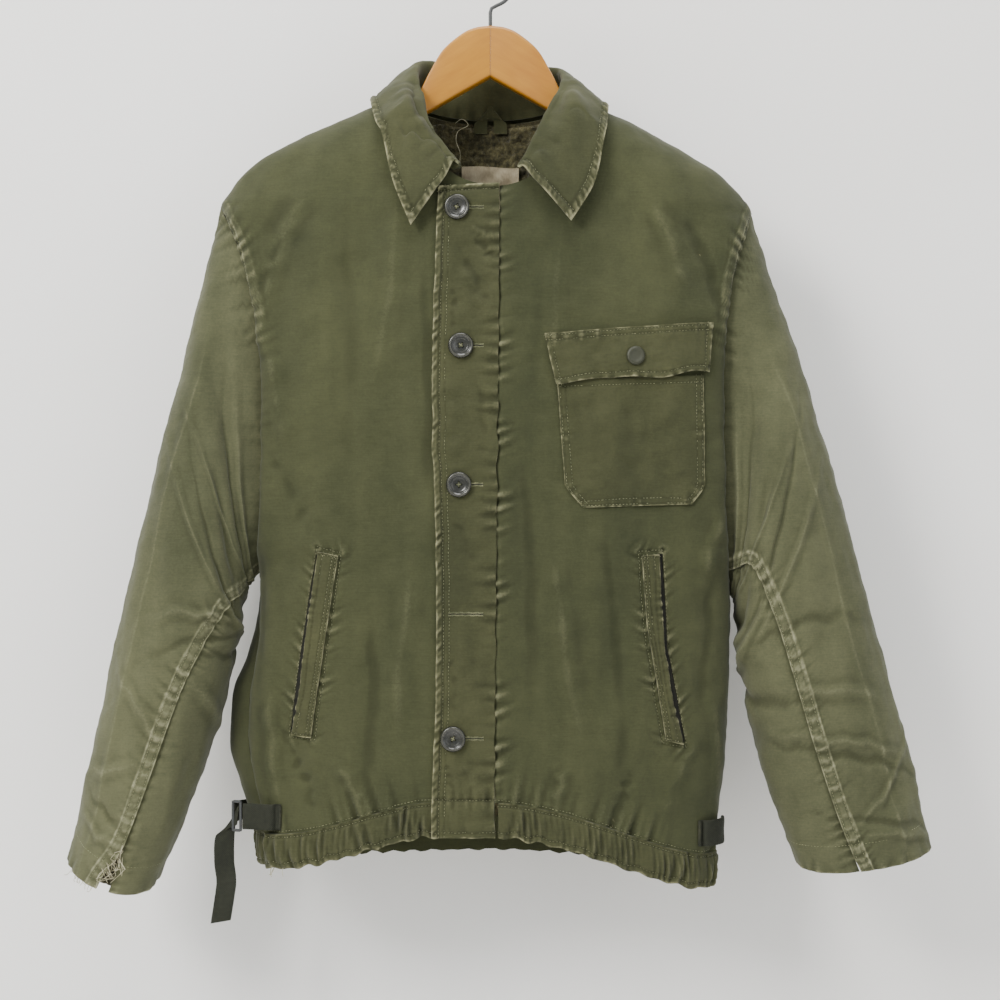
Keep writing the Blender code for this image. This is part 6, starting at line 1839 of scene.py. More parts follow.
pocket.soften(0.0004, 0.024, 185)
made = two_sided("chest_pocket_patch", pocket, 0.0008, trim_cotton, ("first", "last", "low"), 0.0012)
declare(made, pocket, "chest_pocket")

flap = laid_patch(FLAP_LEFT, FLAP_RIGHT, FLAP_LIFT, 0.0013, 132, 44, wave=(0.0016, 0.0022))
for side in ("first", "last", "low"):
    flap.row_of_stitches(flap.inset(side, 0.0050), 0.0006, shade=0.35)
    flap.pucker(flap.edge(side), 0.006, 0.0006, 0.0095, 186, wear=0.25)
    flap.worn_edge(flap.edge(side), 0.0016, 0.95, 187)
for place in (0.0020, 0.0066):
    flap.row_of_stitches(flap.inset("top", place), 0.0006, shade=0.4)
flap.pucker(flap.inset("top", 0.0045), 0.006, 0.0005, 0.0100, 188, wear=0.30)
flap.worn_edge(flap.edge("top"), 0.0014, 0.7, 189)
flap.soften(0.0005, 0.020, 190)
made = two_sided("chest_pocket_cover", flap, 0.0013, trim_cotton, ("first", "last", "low", "top"))
declare(made, flap, "chest_pocket_flap")

def shadow_finish():
    made, shader, flow = start_finish("slit_shadow", Roughness=1.0)
    tone = noise(flow, place_of(flow), 300.0, 2.0)
    plug(flow, shader, Base_Color=tone.between(0.3, 0.7).blend(srgb(16, 16, 11), srgb(28, 27, 19)))
    return made


slit_shadow = shadow_finish()
# Inside each pocket mouth lies a near-black strip: a painted shadow that stands for the shade in the open
# pocket.
for side, way in (("right", -1), ("left", 1)):
    mouth = spread_line(POCKET_MOUTHS[side], 80)
    gape = np.sin(np.linspace(0, 1, 80) * math.pi)[:, None] ** 0.7 * np.array([[way * 0.0022, 0.0]])
    rim = mouth + gape + np.array([[way * 0.0004, 0.0]])
    under = mouth - np.array([[way * 0.0090, 0.0]])
    mouth_shadow_sheet = laid_patch(rim, under, 0.0002, 0.0003, 16, 110)
    made = two_sided(f"pocket_bag_{side}", mouth_shadow_sheet, 0.0003, slit_shadow, ("first", "last"), 0.0004)
    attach(made, "root")
    wide, long = (float(lengths_along(part)[-1].max()) for part in (mouth_shadow_sheet.grid, mouth_shadow_sheet.grid.swapaxes(0, 1)))

welts = {}
for side, first, second in (
    ("right", RIGHT_WELT, RIGHT_WELT_INNER),
    ("left", LEFT_WELT, LEFT_WELT_OUTER),
):
    sheet = laid_patch(first, second, SEAT_GAP + 0.0007, 0.0011, 22, 171)
    mouth = "first" if side == "right" else "last"
    sewn = "last" if side == "right" else "first"
    away, along = sheet.near(sheet.edge(mouth))
    gape = np.exp(-(((along - 0.085) / 0.060) ** 2))
    sheet.rise += 0.0028 * gape * np.exp(-((away / 0.0080) ** 2))
    sheet.row_of_stitches(sheet.inset(mouth, 0.0050), 0.0005, shade=0.3)
    for edge in (sewn, "top", "low"):
        sheet.row_of_stitches(sheet.inset(edge, 0.0020), 0.0007, groove=0.0010, shade=0.6)
    sheet.row_of_stitches(sheet.inset(sewn, 0.0052), 0.0007, groove=0.0010, shade=0.6)
    sheet.pucker(sheet.edge(mouth), 0.005, 0.0004, 0.0090, 191, wear=0.22)
    for edge in (mouth, sewn, "top", "low"):
        sheet.worn_edge(sheet.edge(edge), 0.0013, 0.8, 192)
    sheet.soften(0.0003, 0.015, 193)
    made = two_sided(f"pocket_welt_{side}", sheet, 0.0011, trim_cotton, ("first", "last"), 0.0012)
    declare(made, sheet, f"welt_{side}")
    welts[side] = sheet

# %% [markdown]
# ## Buttons and the snap
# The buttons are turned from dark plastic: a rolled rim, a dish and four holes, sewn on with pale
# thread crossed through them. They are lathed here from a profile, and the holes are cut with a
# Boolean, as a drill would. The fourth of the five is missing, and its buttonhole is empty.

# %% Turn the buttons
BUTTON_RADIUS = 0.0118
ButtonRow = namedtuple("ButtonRow", "name x height turn")
BUTTONS = [
    ButtonRow("button_1", -0.0304, -0.2425, 0.5),
    ButtonRow("button_2", -0.0270, -0.3704, 0.1),
    ButtonRow("button_3", -0.0285, -0.4983, 0.8),
    ButtonRow("button_4", -0.0340, -0.7320, 0.3),
]
BUTTON_PROFILE = [(0.0, 0.0023), (0.0030, 0.0023), (0.0054, 0.0024), (0.0064, 0.0027)]
BUTTON_PROFILE += [(0.0071, 0.0030), (0.0077, 0.0029), (0.0083, 0.0031), (0.0091, 0.0039)]
BUTTON_PROFILE += [(0.0099, 0.0043), (0.0107, 0.0041), (0.0114, 0.0033), (0.0118, 0.0024)]
BUTTON_PROFILE += [(0.0115, 0.0014), (0.0100, 0.0002), (0.0, 0.0)]
HOLE_RADIUS, HOLE_OFFSET = 0.0010, 0.0022


def turned(name, profile, sides=48):
    """A lathed piece round Z from (radius, height) points, as a bmesh."""
    mesh = bmesh.new()
    rings = []
    for radius, height in profile:
        if radius == 0:
            rings.append([mesh.verts.new((0, 0, height))])
            continue
        angles = [2 * math.pi * i / sides for i in range(sides)]
        rings.append([mesh.verts.new((radius * math.cos(a), radius * math.sin(a), height)) for a in angles])
    for upper, lower in zip(rings, rings[1:]):
        for i in range(sides):
            j = (i + 1) % sides
            if len(upper) == 1:
                mesh.faces.new((upper[0], lower[i], lower[j]))
            elif len(lower) == 1:
                mesh.faces.new((upper[i], lower[0], upper[j]))
            else:
                mesh.faces.new((upper[i], lower[i], lower[j], upper[j]))
    bmesh.ops.recalc_face_normals(mesh, faces=mesh.faces)
    return mesh


def as_object(name, mesh, finish, place=None):
    """A bmesh as an object at the origin, with its place in its mesh."""
    data = bpy.data.meshes.new(name)
    if place is not None:
        mesh.transform(place)
    mesh.to_mesh(data)
    mesh.free()
    data.materials.append(finish)
    data.shade_smooth()
    data.set_sharp_from_angle(angle=math.radians(50))
    made = bpy.data.objects.new(name, data)
    bpy.context.scene.collection.objects.link(made)
    return made


def wear_by(made, rule):
    """Writes a made piece's wear from a rule on the places of its points."""
    layer = made.data.attributes.new("wear", "FLOAT", "POINT")
    layer.data.foreach_set("value", [rule(v.co) for v in made.data.vertices])


def stand_on(tree, x, z, way=(0, 1, 0)):
    """The place on a surface at x and z, and a turn that stands a piece's Z out of it."""
    spots = [(0, 0), (0.006, 0), (-0.006, 0), (0, 0.006), (0, -0.006)]
    hits = [tree.ray_cast(Vector((x + a, -0.5, z + b)), Vector(way)) for a, b in spots]
    out = sum((hit[1] if hit[1].y < 0 else -hit[1] for hit in hits), Vector()).normalized()
    place = hits[0][0]
    place.y = min(hit[0].y for hit in hits)
    return place, out


def tree_of(made):
    mesh = made.data
    faces = [face.vertices[:] for face in mesh.polygons]
    return BVHTree.FromPolygons([v.co[:] for v in mesh.vertices], faces)


flap_tree = tree_of(placket.made)
button_places = {}
for row in BUTTONS:
    place, out = stand_on(flap_tree, row.x, row.height)
    matrix = Matrix.Translation(place + out * 0.0003) @ out.to_track_quat("Z", "Y").to_matrix().to_4x4()
    matrix = matrix @ Matrix.Rotation(row.turn, 4, "Z")
    made = as_object(f"shell_{row.name}", turned(row.name, BUTTON_PROFILE), button_plastic)
    cutter = bmesh.new()
    for i in range(4):
        angle = math.pi / 4 + i * math.pi / 2
        spot = Vector((math.cos(angle), math.sin(angle), 0)) * HOLE_OFFSET
        bmesh.ops.create_cone(
            cutter, cap_ends=True, segments=14, radius1=HOLE_RADIUS, radius2=HOLE_RADIUS, depth=0.02,
            matrix=Matrix.Translation(spot),
        )
    drill = as_object("drill", cutter, button_plastic)
    cut = made.modifiers.new("holes", "BOOLEAN")
    cut.object = drill
    cut.solver = "EXACT"
    drilled = bpy.data.meshes.new_from_object(made.evaluated_get(bpy.context.evaluated_depsgraph_get()))
    made.modifiers.clear()
    made.data = drilled
    bpy.data.objects.remove(drill)
    drilled.set_sharp_from_angle(angle=math.radians(50))
    # Paler along the top of the rolled rim.
    wear_by(made, lambda v: 0.62 * math.exp(-(((v.xy.length - 0.0100) / 0.0012) ** 2)) * (v.z > 0.003))
    drilled.transform(matrix)
    made.name = row.name.replace("button", "coat_button")
    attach(made, "root")
    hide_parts(row.name)
    button_places[row.name] = matrix
print("buttons:", len(BUTTONS), "of radius", BUTTON_RADIUS)

# %% Sew each button on with crossed threads
def thread_tube(points, radius, sides=5):
    """Points and faces of a thin tube along a line."""
    line = np.asarray(points, float)
    along = unit(np.gradient(line, axis=0))
    first = unit(np.cross(along, np.array([0.31, 0.17, 0.94])))
    second = np.cross(along, first)
    angles = np.arange(sides) * 2 * math.pi / sides
    ring = first[:, None] * np.cos(angles)[None, :, None] + second[:, None] * np.sin(angles)[None, :, None]
    grid = line[:, None] + ring * radius
    faces = []
    for i in range(len(line) - 1):
        for k in range(sides):
            j = (k + 1) % sides
            faces.append([i * sides + k, i * sides + j, (i + 1) * sides + j, (i + 1) * sides + k])
    faces.append(list(range(sides))[::-1])
    faces.append([(len(line) - 1) * sides + k for k in range(sides)])
    return grid.reshape(-1, 3), faces


def threads(name, lines, radius, finish):
    """Several threads as one piece."""
    points, faces = [], []
    for line in lines:
        more, rings = thread_tube(line, radius)
        start = sum(len(part) for part in points)
        faces += [[start + i for i in ring] for ring in rings]
        points.append(more)
    made = add_mesh(name, np.concatenate(points), faces, [finish], sharp=180)
    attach(made, "root")
    return made


for row in BUTTONS:
    lines = []
    for shift in (-0.0003, 0.0003):
        for turn in (math.pi / 4, 3 * math.pi / 4):
            way = Vector((math.cos(turn), math.sin(turn), 0))
            side = Vector((-way.y, way.x, 0)) * shift
            lift = (0.0008, 0.0026, 0.0031, 0.0026, 0.0008)
            spots = (-1.05, -0.85, 0.0, 0.85, 1.05)
            line = [way * s * HOLE_OFFSET + side + Vector((0, 0, h)) for s, h in zip(spots, lift)]
            lines.append([button_places[row.name] @ p for p in line])
    threads(f"thread_of_{row.name}", lines, 0.00022, sewing_thread)

# %% Turn the pocket's snap
SNAP_AT = (0.1340, -0.3795)
SNAP_PROFILE = [(0.0, 0.0019), (0.0030, 0.0020), (0.0048, 0.0023), (0.0056, 0.0027), (0.0064, 0.0028)]
SNAP_PROFILE += [(0.0074, 0.0025), (0.0083, 0.0018), (0.0087, 0.0010), (0.0086, 0.0), (0.0, 0.0)]
place, out = stand_on(tree_of(flap.made), *SNAP_AT)
matrix = Matrix.Translation(place + out * 0.0001) @ out.to_track_quat("Z", "Y").to_matrix().to_4x4()
snap = as_object("pocket_snap", turned("pocket_snap", SNAP_PROFILE), painted_snap)
wear_by(snap, lambda v: 0.5 * math.exp(-(((v.xy.length - 0.0062) / 0.0008) ** 2)) * (v.z > 0.002))
snap.data.transform(matrix)
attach(snap, "root")
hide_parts("chest_snap")

# %% [markdown]
# ## Straps at the waist
# Woven straps tighten the waist at the side seams. On the wearer's right the strap goes from the
# back through a dark metal slide, doubles over it and hangs loose; on the left only its short tab
# shows. They are ribbons along a smooth path, the same paths as the solids', with rounded edges.


# %% Weave the straps
def ribbon_sheet(path, across, width, columns, rows):
    line = spline(path, rows)
    wide = unit(spline(across, rows))
    along = np.gradient(line, axis=0)
    face = unit(np.cross(along, wide))
    step = np.linspace(-0.5, 0.5, columns)[:, None, None] * width
    grid = line[None] + wide[None] * step
    return Sheet(grid, np.broadcast_to(face[None], grid.shape).copy())


def strap(name, node, path, across, width, half, rows, finish):
    sheet = ribbon_sheet(path, across, width, 15, rows)
    for side in ("first", "last"):
        sheet.worn_edge(sheet.edge(side), 0.0010, 0.45, 201)
    for side in ("top", "low"):
        sheet.worn_edge(sheet.edge(side), 0.0016, 0.55, 202)
    sheet.soften(0.00020, 0.020, 203)
    made = two_sided(name, sheet, half, finish, ("first", "last", "top", "low"), 0.0008)
    declare(made, sheet, node)
    return sheet


def on_body(x, z, lift, face):
    """A point of a strap's path that lies lift away from a face of the solids."""
    facing = FACING[face]
    hit = body_solids.met((x, facing * 0.5, z), (0, -facing, 0))
    return (x, hit.y + facing * lift, z)


RIGHT_ADJUSTER_Z, LEFT_ADJUSTER_Z = -0.8085, -0.8240
TAB_WIDTH, STRAP_WIDTH = 0.024, 0.019
body_solids = cad_surface("front_right", "front_left", "back", "hem_front_right")
z = RIGHT_ADJUSTER_Z
lift = SEAT_GAP + 0.0018
path = [on_body(x, z, lift + 0.0003, "front") for x in (-0.1950, -0.2000)]
path += [(-0.2055, -0.0400, z), (-0.2190, -0.0348, z), (-0.2315, -0.0318, z)]
strap("waist_tab_right", "adjuster_tab_right", path, [(0.02, 0, 1)] * 5, TAB_WIDTH, 0.0013, 60,
      strap_webbing)
path = [
    (-0.2365, -0.0285, z + 0.0010),
    (-0.2430, -0.0265, z - 0.0050),
    (-0.2490, -0.0250, z - 0.0180),
    (-0.2500, -0.0240, z - 0.0420),
    (-0.2480, -0.0240, z - 0.0620),
    (-0.2500, -0.0250, z - 0.0800),
    (-0.2530, -0.0260, z - 0.1000),
]
turn = [(0.10, 0.00, 1.0), (0.45, 0.05, 0.8), (0.90, 0.10, 0.25), (1.0, 0.35, 0.0)]
turn += [(1.0, -0.15, 0.0), (1.0, -0.05, 0.10), (1.0, 0.05, 0.16)]
strap("waist_strap_right", "adjuster_strap_right", path, turn, STRAP_WIDTH, 0.0009, 130,
      strap_webbing)
path = [(-0.2400, -0.0232, z), (-0.2425, -0.0080, z), (-0.2385, 0.0090, z), (-0.2300, 0.0190, z)]
path += [on_body(x, z, lift + 0.0010, "back") for x in (-0.2140, -0.2030)]
strap("waist_tail_right", "adjuster_tail_right", path, [(0, 0, 1)] * 6, STRAP_WIDTH, 0.0009, 70,
      strap_webbing)
z = LEFT_ADJUSTER_Z
path = [on_body(x, z, lift + 0.0003, "front") for x in (0.1950, 0.1990)]
path += [(0.2025, -0.0362, z), (0.2140, -0.0250, z), (0.2195, -0.0130, z), (0.2200, -0.0010, z)]
strap("waist_tab_left", "adjuster_tab_left", path, [(0, 0, 1)] * 6, TAB_WIDTH, 0.0015, 60,
      strap_webbing)


# %% Bend the slide
SLIDE_HALF = 0.0135
centre = np.array([-0.2337, -0.0312, RIGHT_ADJUSTER_Z])
corners = [(0.0, 1.0), (-0.0075, 1.0), (-0.0075, -1.0), (0.0, -1.0), (0.0, 1.0)]
ring = [centre + np.array([dx, 0.0035 * (dx < 0), dz * SLIDE_HALF]) for dx, dz in corners]
ring = np.concatenate([np.linspace(a, b, 8, endpoint=False) for a, b in zip(ring, ring[1:])] + [ring[:1]])
points, faces = thread_tube(ring, 0.0014, 10)
slide = add_mesh("waist_slide", points, faces, [steel_wire], sharp=70)
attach(slide, "root")
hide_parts("adjuster_slide_right")

# %% [markdown]
# ## Inside the neck
# The back of the neck shows the pile lining, a bare cotton label and the locker loop, a folded
# tape that once hung the jacket on a peg. The pile is one thick sheet whose points are pushed out
# into uneven curls; the label stays blank.

# %% Line the neck with pile
LINING_HALF_WIDTH = 0.085
LINING_LOW_Z = -0.300
LINING_WALL = 0.0040
LABEL_SIZE = (0.056, 0.040)
LABEL_TOP_Z = -0.189
inside_back = Ground([back.surface()], (-0.10, 0.10), (-0.315, -0.120), facing=1.0)


def inside_sheet(x, z, sink):
    grid, out = inside_back.on(x, z, -sink)
    return Sheet(grid, -out)


LINING_COLUMNS, LINING_ROWS = 100, 87
x = np.linspace(-LINING_HALF_WIDTH, LINING_HALF_WIDTH, LINING_COLUMNS)[:, None]
share = np.abs(x) / NECK_HALF_WIDTH
top = NECK_SIDE_Z + (BACK_NECK_Z - NECK_SIDE_Z) * np.sqrt(np.maximum(0.0, 1 - share**2))
top = top - 0.004 - 0.020 * smooth_step(0.6, 1.1, share)
z = top + (LINING_LOW_Z - top) * np.linspace(0, 1, LINING_ROWS)[None, :]
lining = inside_sheet(x, z, WALL + SEAT_GAP + 0.0004 + LINING_WALL / 2)
lining.rise += 0.0009 * rumple(lining.grid, 0.0045, 211) + 0.0008 * rumple(lining.grid, 0.013, 212)
made = two_sided("neck_pile", lining, LINING_WALL / 2, pile_fabric, ("first", "last", "top", "low"))
declare(made, lining, "lining_back")

# %% Sew in the label and the locker loop
x = (np.linspace(-0.5, 0.5, 57) * LABEL_SIZE[0])[:, None]
z = np.linspace(LABEL_TOP_Z, LABEL_TOP_Z - LABEL_SIZE[1], 41)[None, :]
label = inside_sheet(x, z, WALL + SEAT_GAP * 2 + 0.0008 + LINING_WALL + 0.0030)
label.rise += 0.0008 * rumple(label.grid, 0.020, 215)
for side in ("first", "last", "top", "low"):
    label.row_of_stitches(label.inset(side, 0.0018), 0.0002, pitch=0.0026, shade=0.1)
made = two_sided("blank_label", label, 0.0004, label_tape, ("first", "last", "top", "low"), 0.0004)
declare(made, label, "neck_label")

LOOP_FOOT_Z = -0.157
lining_tree = tree_of(lining.made)
y = lining_tree.ray_cast(Vector((0.0145, 0, LOOP_FOOT_Z + 0.004)), Vector((0, 1, 0)))[0].y - 0.0014
path = [(-0.0096, y, LOOP_FOOT_Z), (-0.0095, y - 0.0008, -0.1480), (-0.0078, y - 0.0014, -0.1412)]
path += [(-0.0045, y - 0.0017, -0.1375), (0.0, y - 0.0018, -0.1364), (0.0045, y - 0.0017, -0.1375)]
path += [(0.0078, y - 0.0014, -0.1412), (0.0095, y - 0.0008, -0.1480), (0.0096, y, LOOP_FOOT_Z)]
wide = [(1, 0, 0.0), (1, 0, 0.12), (0.8, 0, 0.6), (0.35, 0, 0.94), (0, 0, 1)]
wide += [(-0.35, 0, 0.94), (-0.8, 0, 0.6), (-1, 0, 0.12), (-1, 0, 0.0)]
strap("hanging_loop", "locker_loop", path, wide, 0.0128, 0.0007, 110, trim_cotton)

# %% [markdown]
# ## The hanger
# Two arms of beech are mitred together under the hook and varnished. Each arm is a smooth run of
# rounded sections along the table that the solid was made from, and carries its own grain
# direction, so that the grain turns at the joint as it does in the real thing.

# %% Shape the hanger's arms
HangerRow = namedtuple("HangerRow", "x top low half_thickness y")
HANGER_ARM = [
    HangerRow(0.0002, -0.0610, -0.1102, 0.0072, 0.0060),
    HangerRow(0.0140, -0.0630, -0.1180, 0.0072, 0.0052),
    HangerRow(0.0270, -0.0690, -0.1255, 0.0072, 0.0044),
    HangerRow(0.0450, -0.0845, -0.1360, 0.0072, 0.0032),
    HangerRow(0.0575, -0.1055, -0.1435, 0.0072, 0.0025),
    HangerRow(0.0680, -0.1250, -0.1500, 0.0072, 0.0019),
    HangerRow(0.0800, -0.1375, -0.1570, 0.0070, 0.0012),
    HangerRow(0.1140, -0.1500, -0.1750, 0.0068, -0.0008),
    HangerRow(0.1500, -0.1665, -0.1920, 0.0066, -0.0020),
    HangerRow(0.1800, -0.1825, -0.2060, 0.0064, -0.0028),
    HangerRow(0.2000, -0.1960, -0.2150, 0.0060, -0.0032),
]
EDGE_RADIUS = 0.0034
ARM_STATIONS = 90
ARM_RING = 28
for side in ("right", "left"):
    rows = spline([list(row) for row in HANGER_ARM], ARM_STATIONS)
    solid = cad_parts[f"hanger_arm_{side}"]
    tree = tree_of(solid)
    rings, grain, wear = [], [], []
    for x, top, low, half, y in rows:
        if x > 0.10:
            hit = tree.ray_cast(Vector((SIGN[side] * min(x, 0.199), y, 0.0)), Vector((0, 0, -1)))[0]
            top, low = hit.z, hit.z - (top - low)
        for quarter, (sy, sz) in enumerate([(1, 1), (-1, 1), (-1, -1), (1, -1)]):
            for i in range(7):
                angle = math.pi / 2 * (quarter + i / 6)
                dy = sy * (half - EDGE_RADIUS) + EDGE_RADIUS * math.cos(angle)
                dz = sz * ((top - low) / 2 - EDGE_RADIUS) + EDGE_RADIUS * math.sin(angle)
                x_here = max(x - 0.00016, 0.00003)
                rings.append((SIGN[side] * x_here, y + dy, (top + low) / 2 + dz))
                slope = 0.55
                grain.append((x, dy, (top + low) / 2 + dz + slope * x))
                wear.append(0.55 * math.exp(-(((x - 0.0002) / 0.0007) ** 2)))
    rings = np.array(rings)
    faces = quads(ARM_STATIONS, ARM_RING)
    for i in range(ARM_STATIONS - 1):
        first, following = i * ARM_RING, (i + 1) * ARM_RING
        faces.append([first + ARM_RING - 1, first, following, following + ARM_RING - 1])
    last = (ARM_STATIONS - 1) * ARM_RING
    faces += [list(range(ARM_RING)), list(range(last, last + ARM_RING))[::-1]]
    made = add_mesh(f"beech_arm_{side}", rings, faces, [varnished_beech], {"wear": np.array(wear)}, sharp=60)
    layer = made.data.attributes.new("grain", "FLOAT_VECTOR", "POINT")
    layer.data.foreach_set("vector", np.array(grain, np.float32).ravel())
    tidy = bmesh.new()
    tidy.from_mesh(made.data)
    bmesh.ops.recalc_face_normals(tidy, faces=tidy.faces)
    tidy.to_mesh(made.data)
    tidy.free()
    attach(made, "root")
    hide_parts(f"hanger_arm_{side}")
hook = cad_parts["hanger_hook"]
hook.data.materials.clear()
hook.data.materials.append(steel_wire)

# %% [markdown]
# ## Stitches
# Thousands of stitches are the same small thing over and over, so Geometry Nodes place them. Each
# sewn row above left its line. Points are spread along it, each knowing the way along the seam and
# the way out of the cloth, and the nodes set one short twist of thread on every point.


# %% Build the node tree that sews
def sewing_tree():
    tree = bpy.data.node_groups.new("sewing", "GeometryNodeTree")
    face = tree.interface
    face.new_socket("Geometry", in_out="INPUT", socket_type="NodeSocketGeometry")
    sizes = {"Stitch Length": 0.0026, "Thread Thickness": 0.00055, "Unevenness": 0.18}
    for name, value in sizes.items():
        socket = face.new_socket(name, in_out="INPUT", socket_type="NodeSocketFloat")
        socket.default_value = value
    face.new_socket("Seed", in_out="INPUT", socket_type="NodeSocketInt")
    face.new_socket("Thread", in_out="INPUT", socket_type="NodeSocketMaterial")
    face.new_socket("Geometry", in_out="OUTPUT", socket_type="NodeSocketGeometry")

    def node(kind, **settings):
        made = tree.nodes.new(kind)
        for key, value in settings.items():
            setattr(made, key, value)
        return made

    link = tree.links.new
    given = node("NodeGroupInput")
    bead = node("GeometryNodeMeshUVSphere")
    bead.inputs["Segments"].default_value = 5
    bead.inputs["Rings"].default_value = 4
    bead.inputs["Radius"].default_value = 0.5
    along = node("GeometryNodeInputNamedAttribute", data_type="FLOAT_VECTOR")
    along.inputs["Name"].default_value = "along"
    out = node("GeometryNodeInputNamedAttribute", data_type="FLOAT_VECTOR")
    out.inputs["Name"].default_value = "out"
    first = node("FunctionNodeAlignRotationToVector", axis="X")
    second = node("FunctionNodeAlignRotationToVector", axis="Z", pivot_axis="X")
    link(along.outputs["Attribute"], first.inputs["Vector"])
    link(first.outputs["Rotation"], second.inputs["Rotation"])
    link(out.outputs["Attribute"], second.inputs["Vector"])
    chance = node("FunctionNodeRandomValue", data_type="FLOAT")
    low = node("ShaderNodeMath", operation="SUBTRACT")
    high = node("ShaderNodeMath", operation="ADD")
    for part in (low, high):
        part.inputs[0].default_value = 1.0
        link(given.outputs["Unevenness"], part.inputs[1])
    floats = [s for s in chance.inputs if s.type == "VALUE"]
    link(low.outputs[0], floats[0])
    link(high.outputs[0], floats[1])
    link(given.outputs["Seed"], chance.inputs["Seed"])
    result = [s for s in chance.outputs if s.type == "VALUE" and s.enabled][0]
    length = node("ShaderNodeMath", operation="MULTIPLY")
    link(given.outputs["Stitch Length"], length.inputs[0])
    link(result, length.inputs[1])
    size = node("ShaderNodeCombineXYZ")
    link(length.outputs[0], size.inputs["X"])
    link(given.outputs["Thread Thickness"], size.inputs["Y"])
    link(given.outputs["Thread Thickness"], size.inputs["Z"])
    place = node("GeometryNodeInstanceOnPoints")
    link(given.outputs["Geometry"], place.inputs["Points"])
    link(bead.outputs["Mesh"], place.inputs["Instance"])
    link(second.outputs["Rotation"], place.inputs["Rotation"])
    link(size.outputs["Vector"], place.inputs["Scale"])
    real = node("GeometryNodeRealizeInstances")
    link(place.outputs["Instances"], real.inputs["Geometry"])
    paint = node("GeometryNodeSetMaterial")
    link(real.outputs["Geometry"], paint.inputs["Geometry"])
    link(given.outputs["Thread"], paint.inputs["Material"])
    link(paint.outputs["Geometry"], node("NodeGroupOutput").inputs["Geometry"])
    return tree


SEWING = sewing_tree()


def sew(name, places, along, out, thread, seed, length=0.0026, thickness=0.00055):
    """Runs the sewing tree on points and keeps what it makes as a plain mesh."""
    mesh = bpy.data.meshes.new(name)
    mesh.from_pydata(np.asarray(places).tolist(), [], [])
    for key, values in (("along", along), ("out", out)):
        layer = mesh.attributes.new(key, "FLOAT_VECTOR", "POINT")
        layer.data.foreach_set("vector", np.asarray(values, np.float32).ravel())
    made = bpy.data.objects.new(name, mesh)
    bpy.context.scene.collection.objects.link(made)
    modifier = made.modifiers.new("sewing", "NODES")
    modifier.node_group = SEWING
    wanted = {"Stitch Length": length, "Thread Thickness": thickness, "Seed": seed, "Thread": thread}
    for item in SEWING.interface.items_tree:
        if item.in_out == "INPUT" and item.name in wanted:
            modifier[item.identifier] = wanted[item.name]
    made.data = bpy.data.meshes.new_from_object(made.evaluated_get(bpy.context.evaluated_depsgraph_get()))
    made.modifiers.clear()
    made.data.shade_smooth()
    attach(made, "root")
    return made


def stitch_points(sheet):
    """Places along every sewn row of a sheet, on its made surface."""
    tree = tree_of(sheet.made)
    places, ways, outs = [], [], []
    for line, pitch in sheet.stitches:
        points = even_line(line, pitch)
        if len(points) < 3:
            continue
        tangent = unit(np.gradient(points, axis=0))
        for point, way in zip(points, tangent):
            near, normal = tree.find_nearest(Vector(point))[:2]
            if near is None:
                continue
            places.append(near + normal * 0.00012)
            ways.append(way)
            outs.append(normal)
    return np.array(places), np.array(ways), np.array(outs)


# %% Sew every row
SEWN = {
    "fronts": [front_sheets["right"], front_sheets["left"]],
    "back_rows": [back],
    "waistband_rows": list(band_sheets.values()),
    "sleeves_right": [sleeve_sheets["right", "front"], sleeve_sheets["right", "back"]],
    "sleeves_left": [sleeve_sheets["left", "front"], sleeve_sheets["left", "back"]],
    "collar_rows": [collar],
    "storm_flap_rows": [placket],
    "pocket_rows": [pocket, flap, welts["right"], welts["left"]],
}
for number, (name, sheets) in enumerate(SEWN.items()):
    parts = [stitch_points(sheet) for sheet in sheets]
    places, ways, outs = (np.concatenate([part[k] for part in parts]) for k in range(3))
    made = sew(f"stitches_{name}", places, ways, outs, sewing_thread, number)
    print(f"{name}: {len(places)} stitches")
places, ways, outs = stitch_points(label)
made = sew("stitches_label", places, ways, outs, pale_thread, 31, length=0.0018, thickness=0.0004)

# %% Work the buttonholes
HOLE_END_X = -0.0060
BUTTONHOLES = [(row.x + 0.004, row.height) for row in BUTTONS] + [(-0.0380, -0.6174)]
places, ways, outs, slit_shadow_lines = [], [], [], []
for start_x, height in BUTTONHOLES:
    for x in np.arange(start_x, HOLE_END_X, 0.00085):
        for side in (-1, 1):
            z = height + side * 0.0011 + 0.0002 * math.sin(x * 900)
            hit = flap_tree.ray_cast(Vector((x, -0.5, z)), Vector((0, 1, 0)))
            places.append(hit[0] - Vector((0, 0.00015, 0)))
            ways.append((0.1 * side, 0, 1))
            outs.append((0, -1, 0))
    slit = []
    for x in np.linspace(start_x, HOLE_END_X, 18):
        hit = flap_tree.ray_cast(Vector((x, -0.5, height)), Vector((0, 1, 0)))
        slit.append(hit[0] - Vector((0, 0.00005, 0)))
    slit_shadow_lines.append(slit)
made = sew("buttonhole_stitches", places, ways, outs, sewing_thread, 41, length=0.0019, thickness=0.0007)


# Each buttonhole's cut is a thin near-black thread: a painted shadow in the slit.
made = threads("buttonhole_slits", slit_shadow_lines, 0.00042, slit_shadow)

# %% Show the pile inside the torn cuff
def along_share(line, low, high, count):
    """Points of a line between two shares of its length."""
    lengths = lengths_along(line)
    places = np.linspace(low, high, count) * lengths[-1]
    return np.stack([np.interp(places, lengths, line[:, k]) for k in range(3)], axis=1)


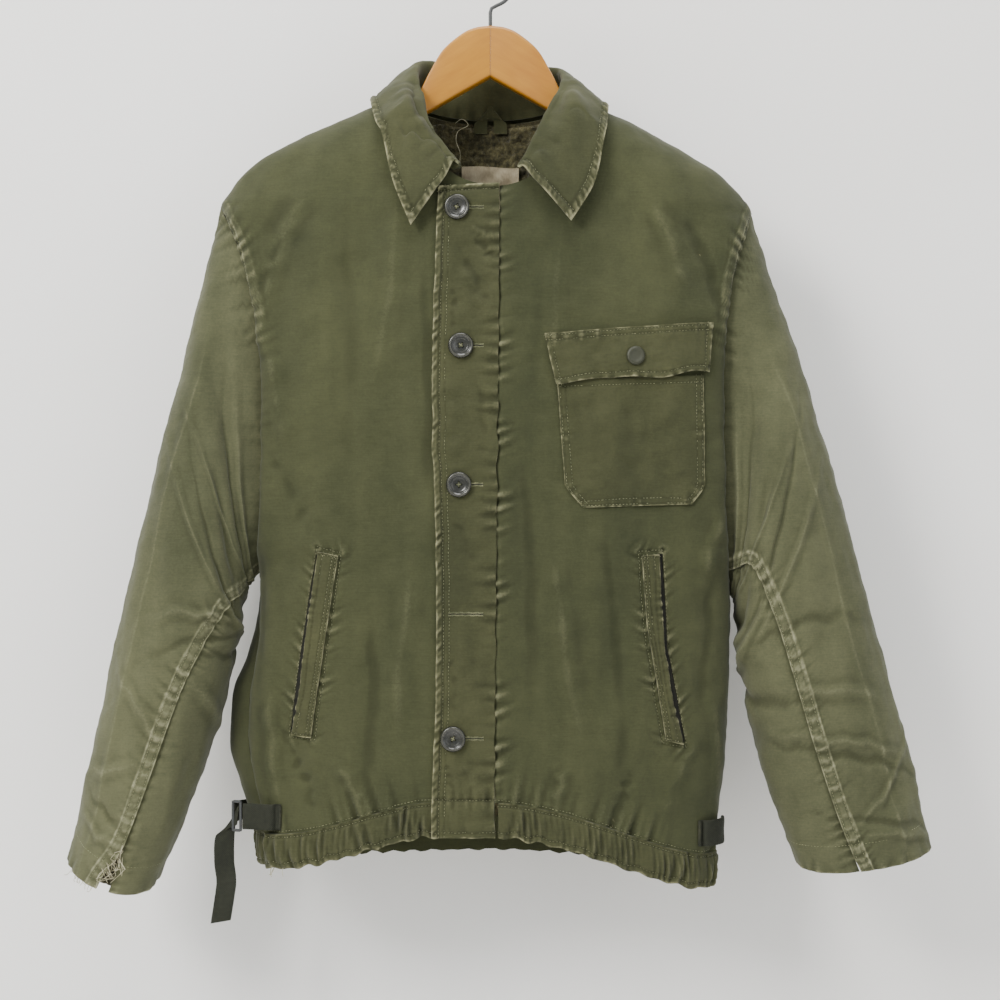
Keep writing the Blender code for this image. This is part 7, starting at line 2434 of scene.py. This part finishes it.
one = along_share(sleeve_sheets["right", "front"].grid[-1], 0.84, 0.985, 40)
two = along_share(sleeve_sheets["right", "back"].grid[0], 0.84, 0.985, 40)
share = np.linspace(-0.9, 1.9, 40)[:, None, None]
grid = one[None] + (two - one)[None] * np.clip(share, 0, 1)
grid = grid + unit(two[-1] - one[-1]) * 0.010 * (np.clip(share, -0.9, 0) + np.clip(share - 1, 0, 0.9))
grid[..., 1] += 0.0075
slit_pile = Sheet(grid, np.tile([0.0, -1.0, 0.0], grid.shape[:2] + (1,)))
slit_pile.rise += 0.0010 * rumple(slit_pile.grid, 0.005, 221)
made = two_sided("cuff_pile", slit_pile, 0.0012, pile_fabric, ("first", "last", "top", "low"))
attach(made, "root")
side_b = float(lengths_along(grid.swapaxes(0, 1))[-1].max())

# %% Let the torn cuff fray
chance = np.random.default_rng(17)
cuff = sleeve_sheets["right", "front"].surface()
other = sleeve_sheets["right", "back"].surface()
lines = []
for number in range(26):
    row = int(cuff.shape[1] * chance.uniform(0.935, 0.998))
    start = cuff[-1, row] + np.array([0, -0.001, 0])
    end = other[0, int(other.shape[1] * chance.uniform(0.93, 0.995))]
    reach = (end - start) * chance.uniform(0.1, 0.9) + chance.normal(size=3) * 0.003
    bow = chance.normal(size=3) * np.array([0.006, 0.003, 0.006]) + np.array([0, -0.003, -0.003])
    line = [start, start + reach * 0.3 + bow * 0.6, start + reach * 0.6 + bow, start + reach]
    lines.append(spline(line, 14))
for number in range(14):
    column = int(cuff.shape[0] * chance.uniform(0.55, 1.0)) - 1
    start = cuff[column, -1]
    drop = np.array([chance.normal() * 0.003, -0.001, -chance.uniform(0.001, 0.0055)])
    lines.append(spline([start, start + drop * 0.5 + chance.normal(size=3) * 0.0012, start + drop], 8))
threads("frayed_cuff", lines, 0.00022, pale_thread)

# %% Leave the loose ends where they hang
spots = [(455, 122), (462, 118), (468, 124), (458, 130), (456, 140), (460, 152), (459, 166)]
PIXEL = 0.00092


def at_pixel(px, py, y):
    """The place that shows at a pixel of a 1000-pixel picture, at a depth y."""
    scale = PIXEL * (y - CAMERA_AT[1]) / 2.0
    return np.array([CAMERA_AT[0] + (px - 500) * scale, y, CAMERA_AT[2] - (py - 500) * scale])


lines = [spline([at_pixel(px, py, 0.022) for px, py in spots], 40)]
start = np.array([-0.205, -0.055, -0.856])
for number in range(5):
    drop = np.array([chance.normal() * 0.004, 0.0, -chance.uniform(0.004, 0.011)])
    side = np.array([chance.uniform(-0.004, 0.02), 0.0, 0.003])
    top = start + side
    middle = top + drop * 0.5 + chance.normal(size=3) * 0.001
    lines.append(spline([top, middle, top + drop], 8))
threads("loose_ends", lines, 0.00026, pale_thread)
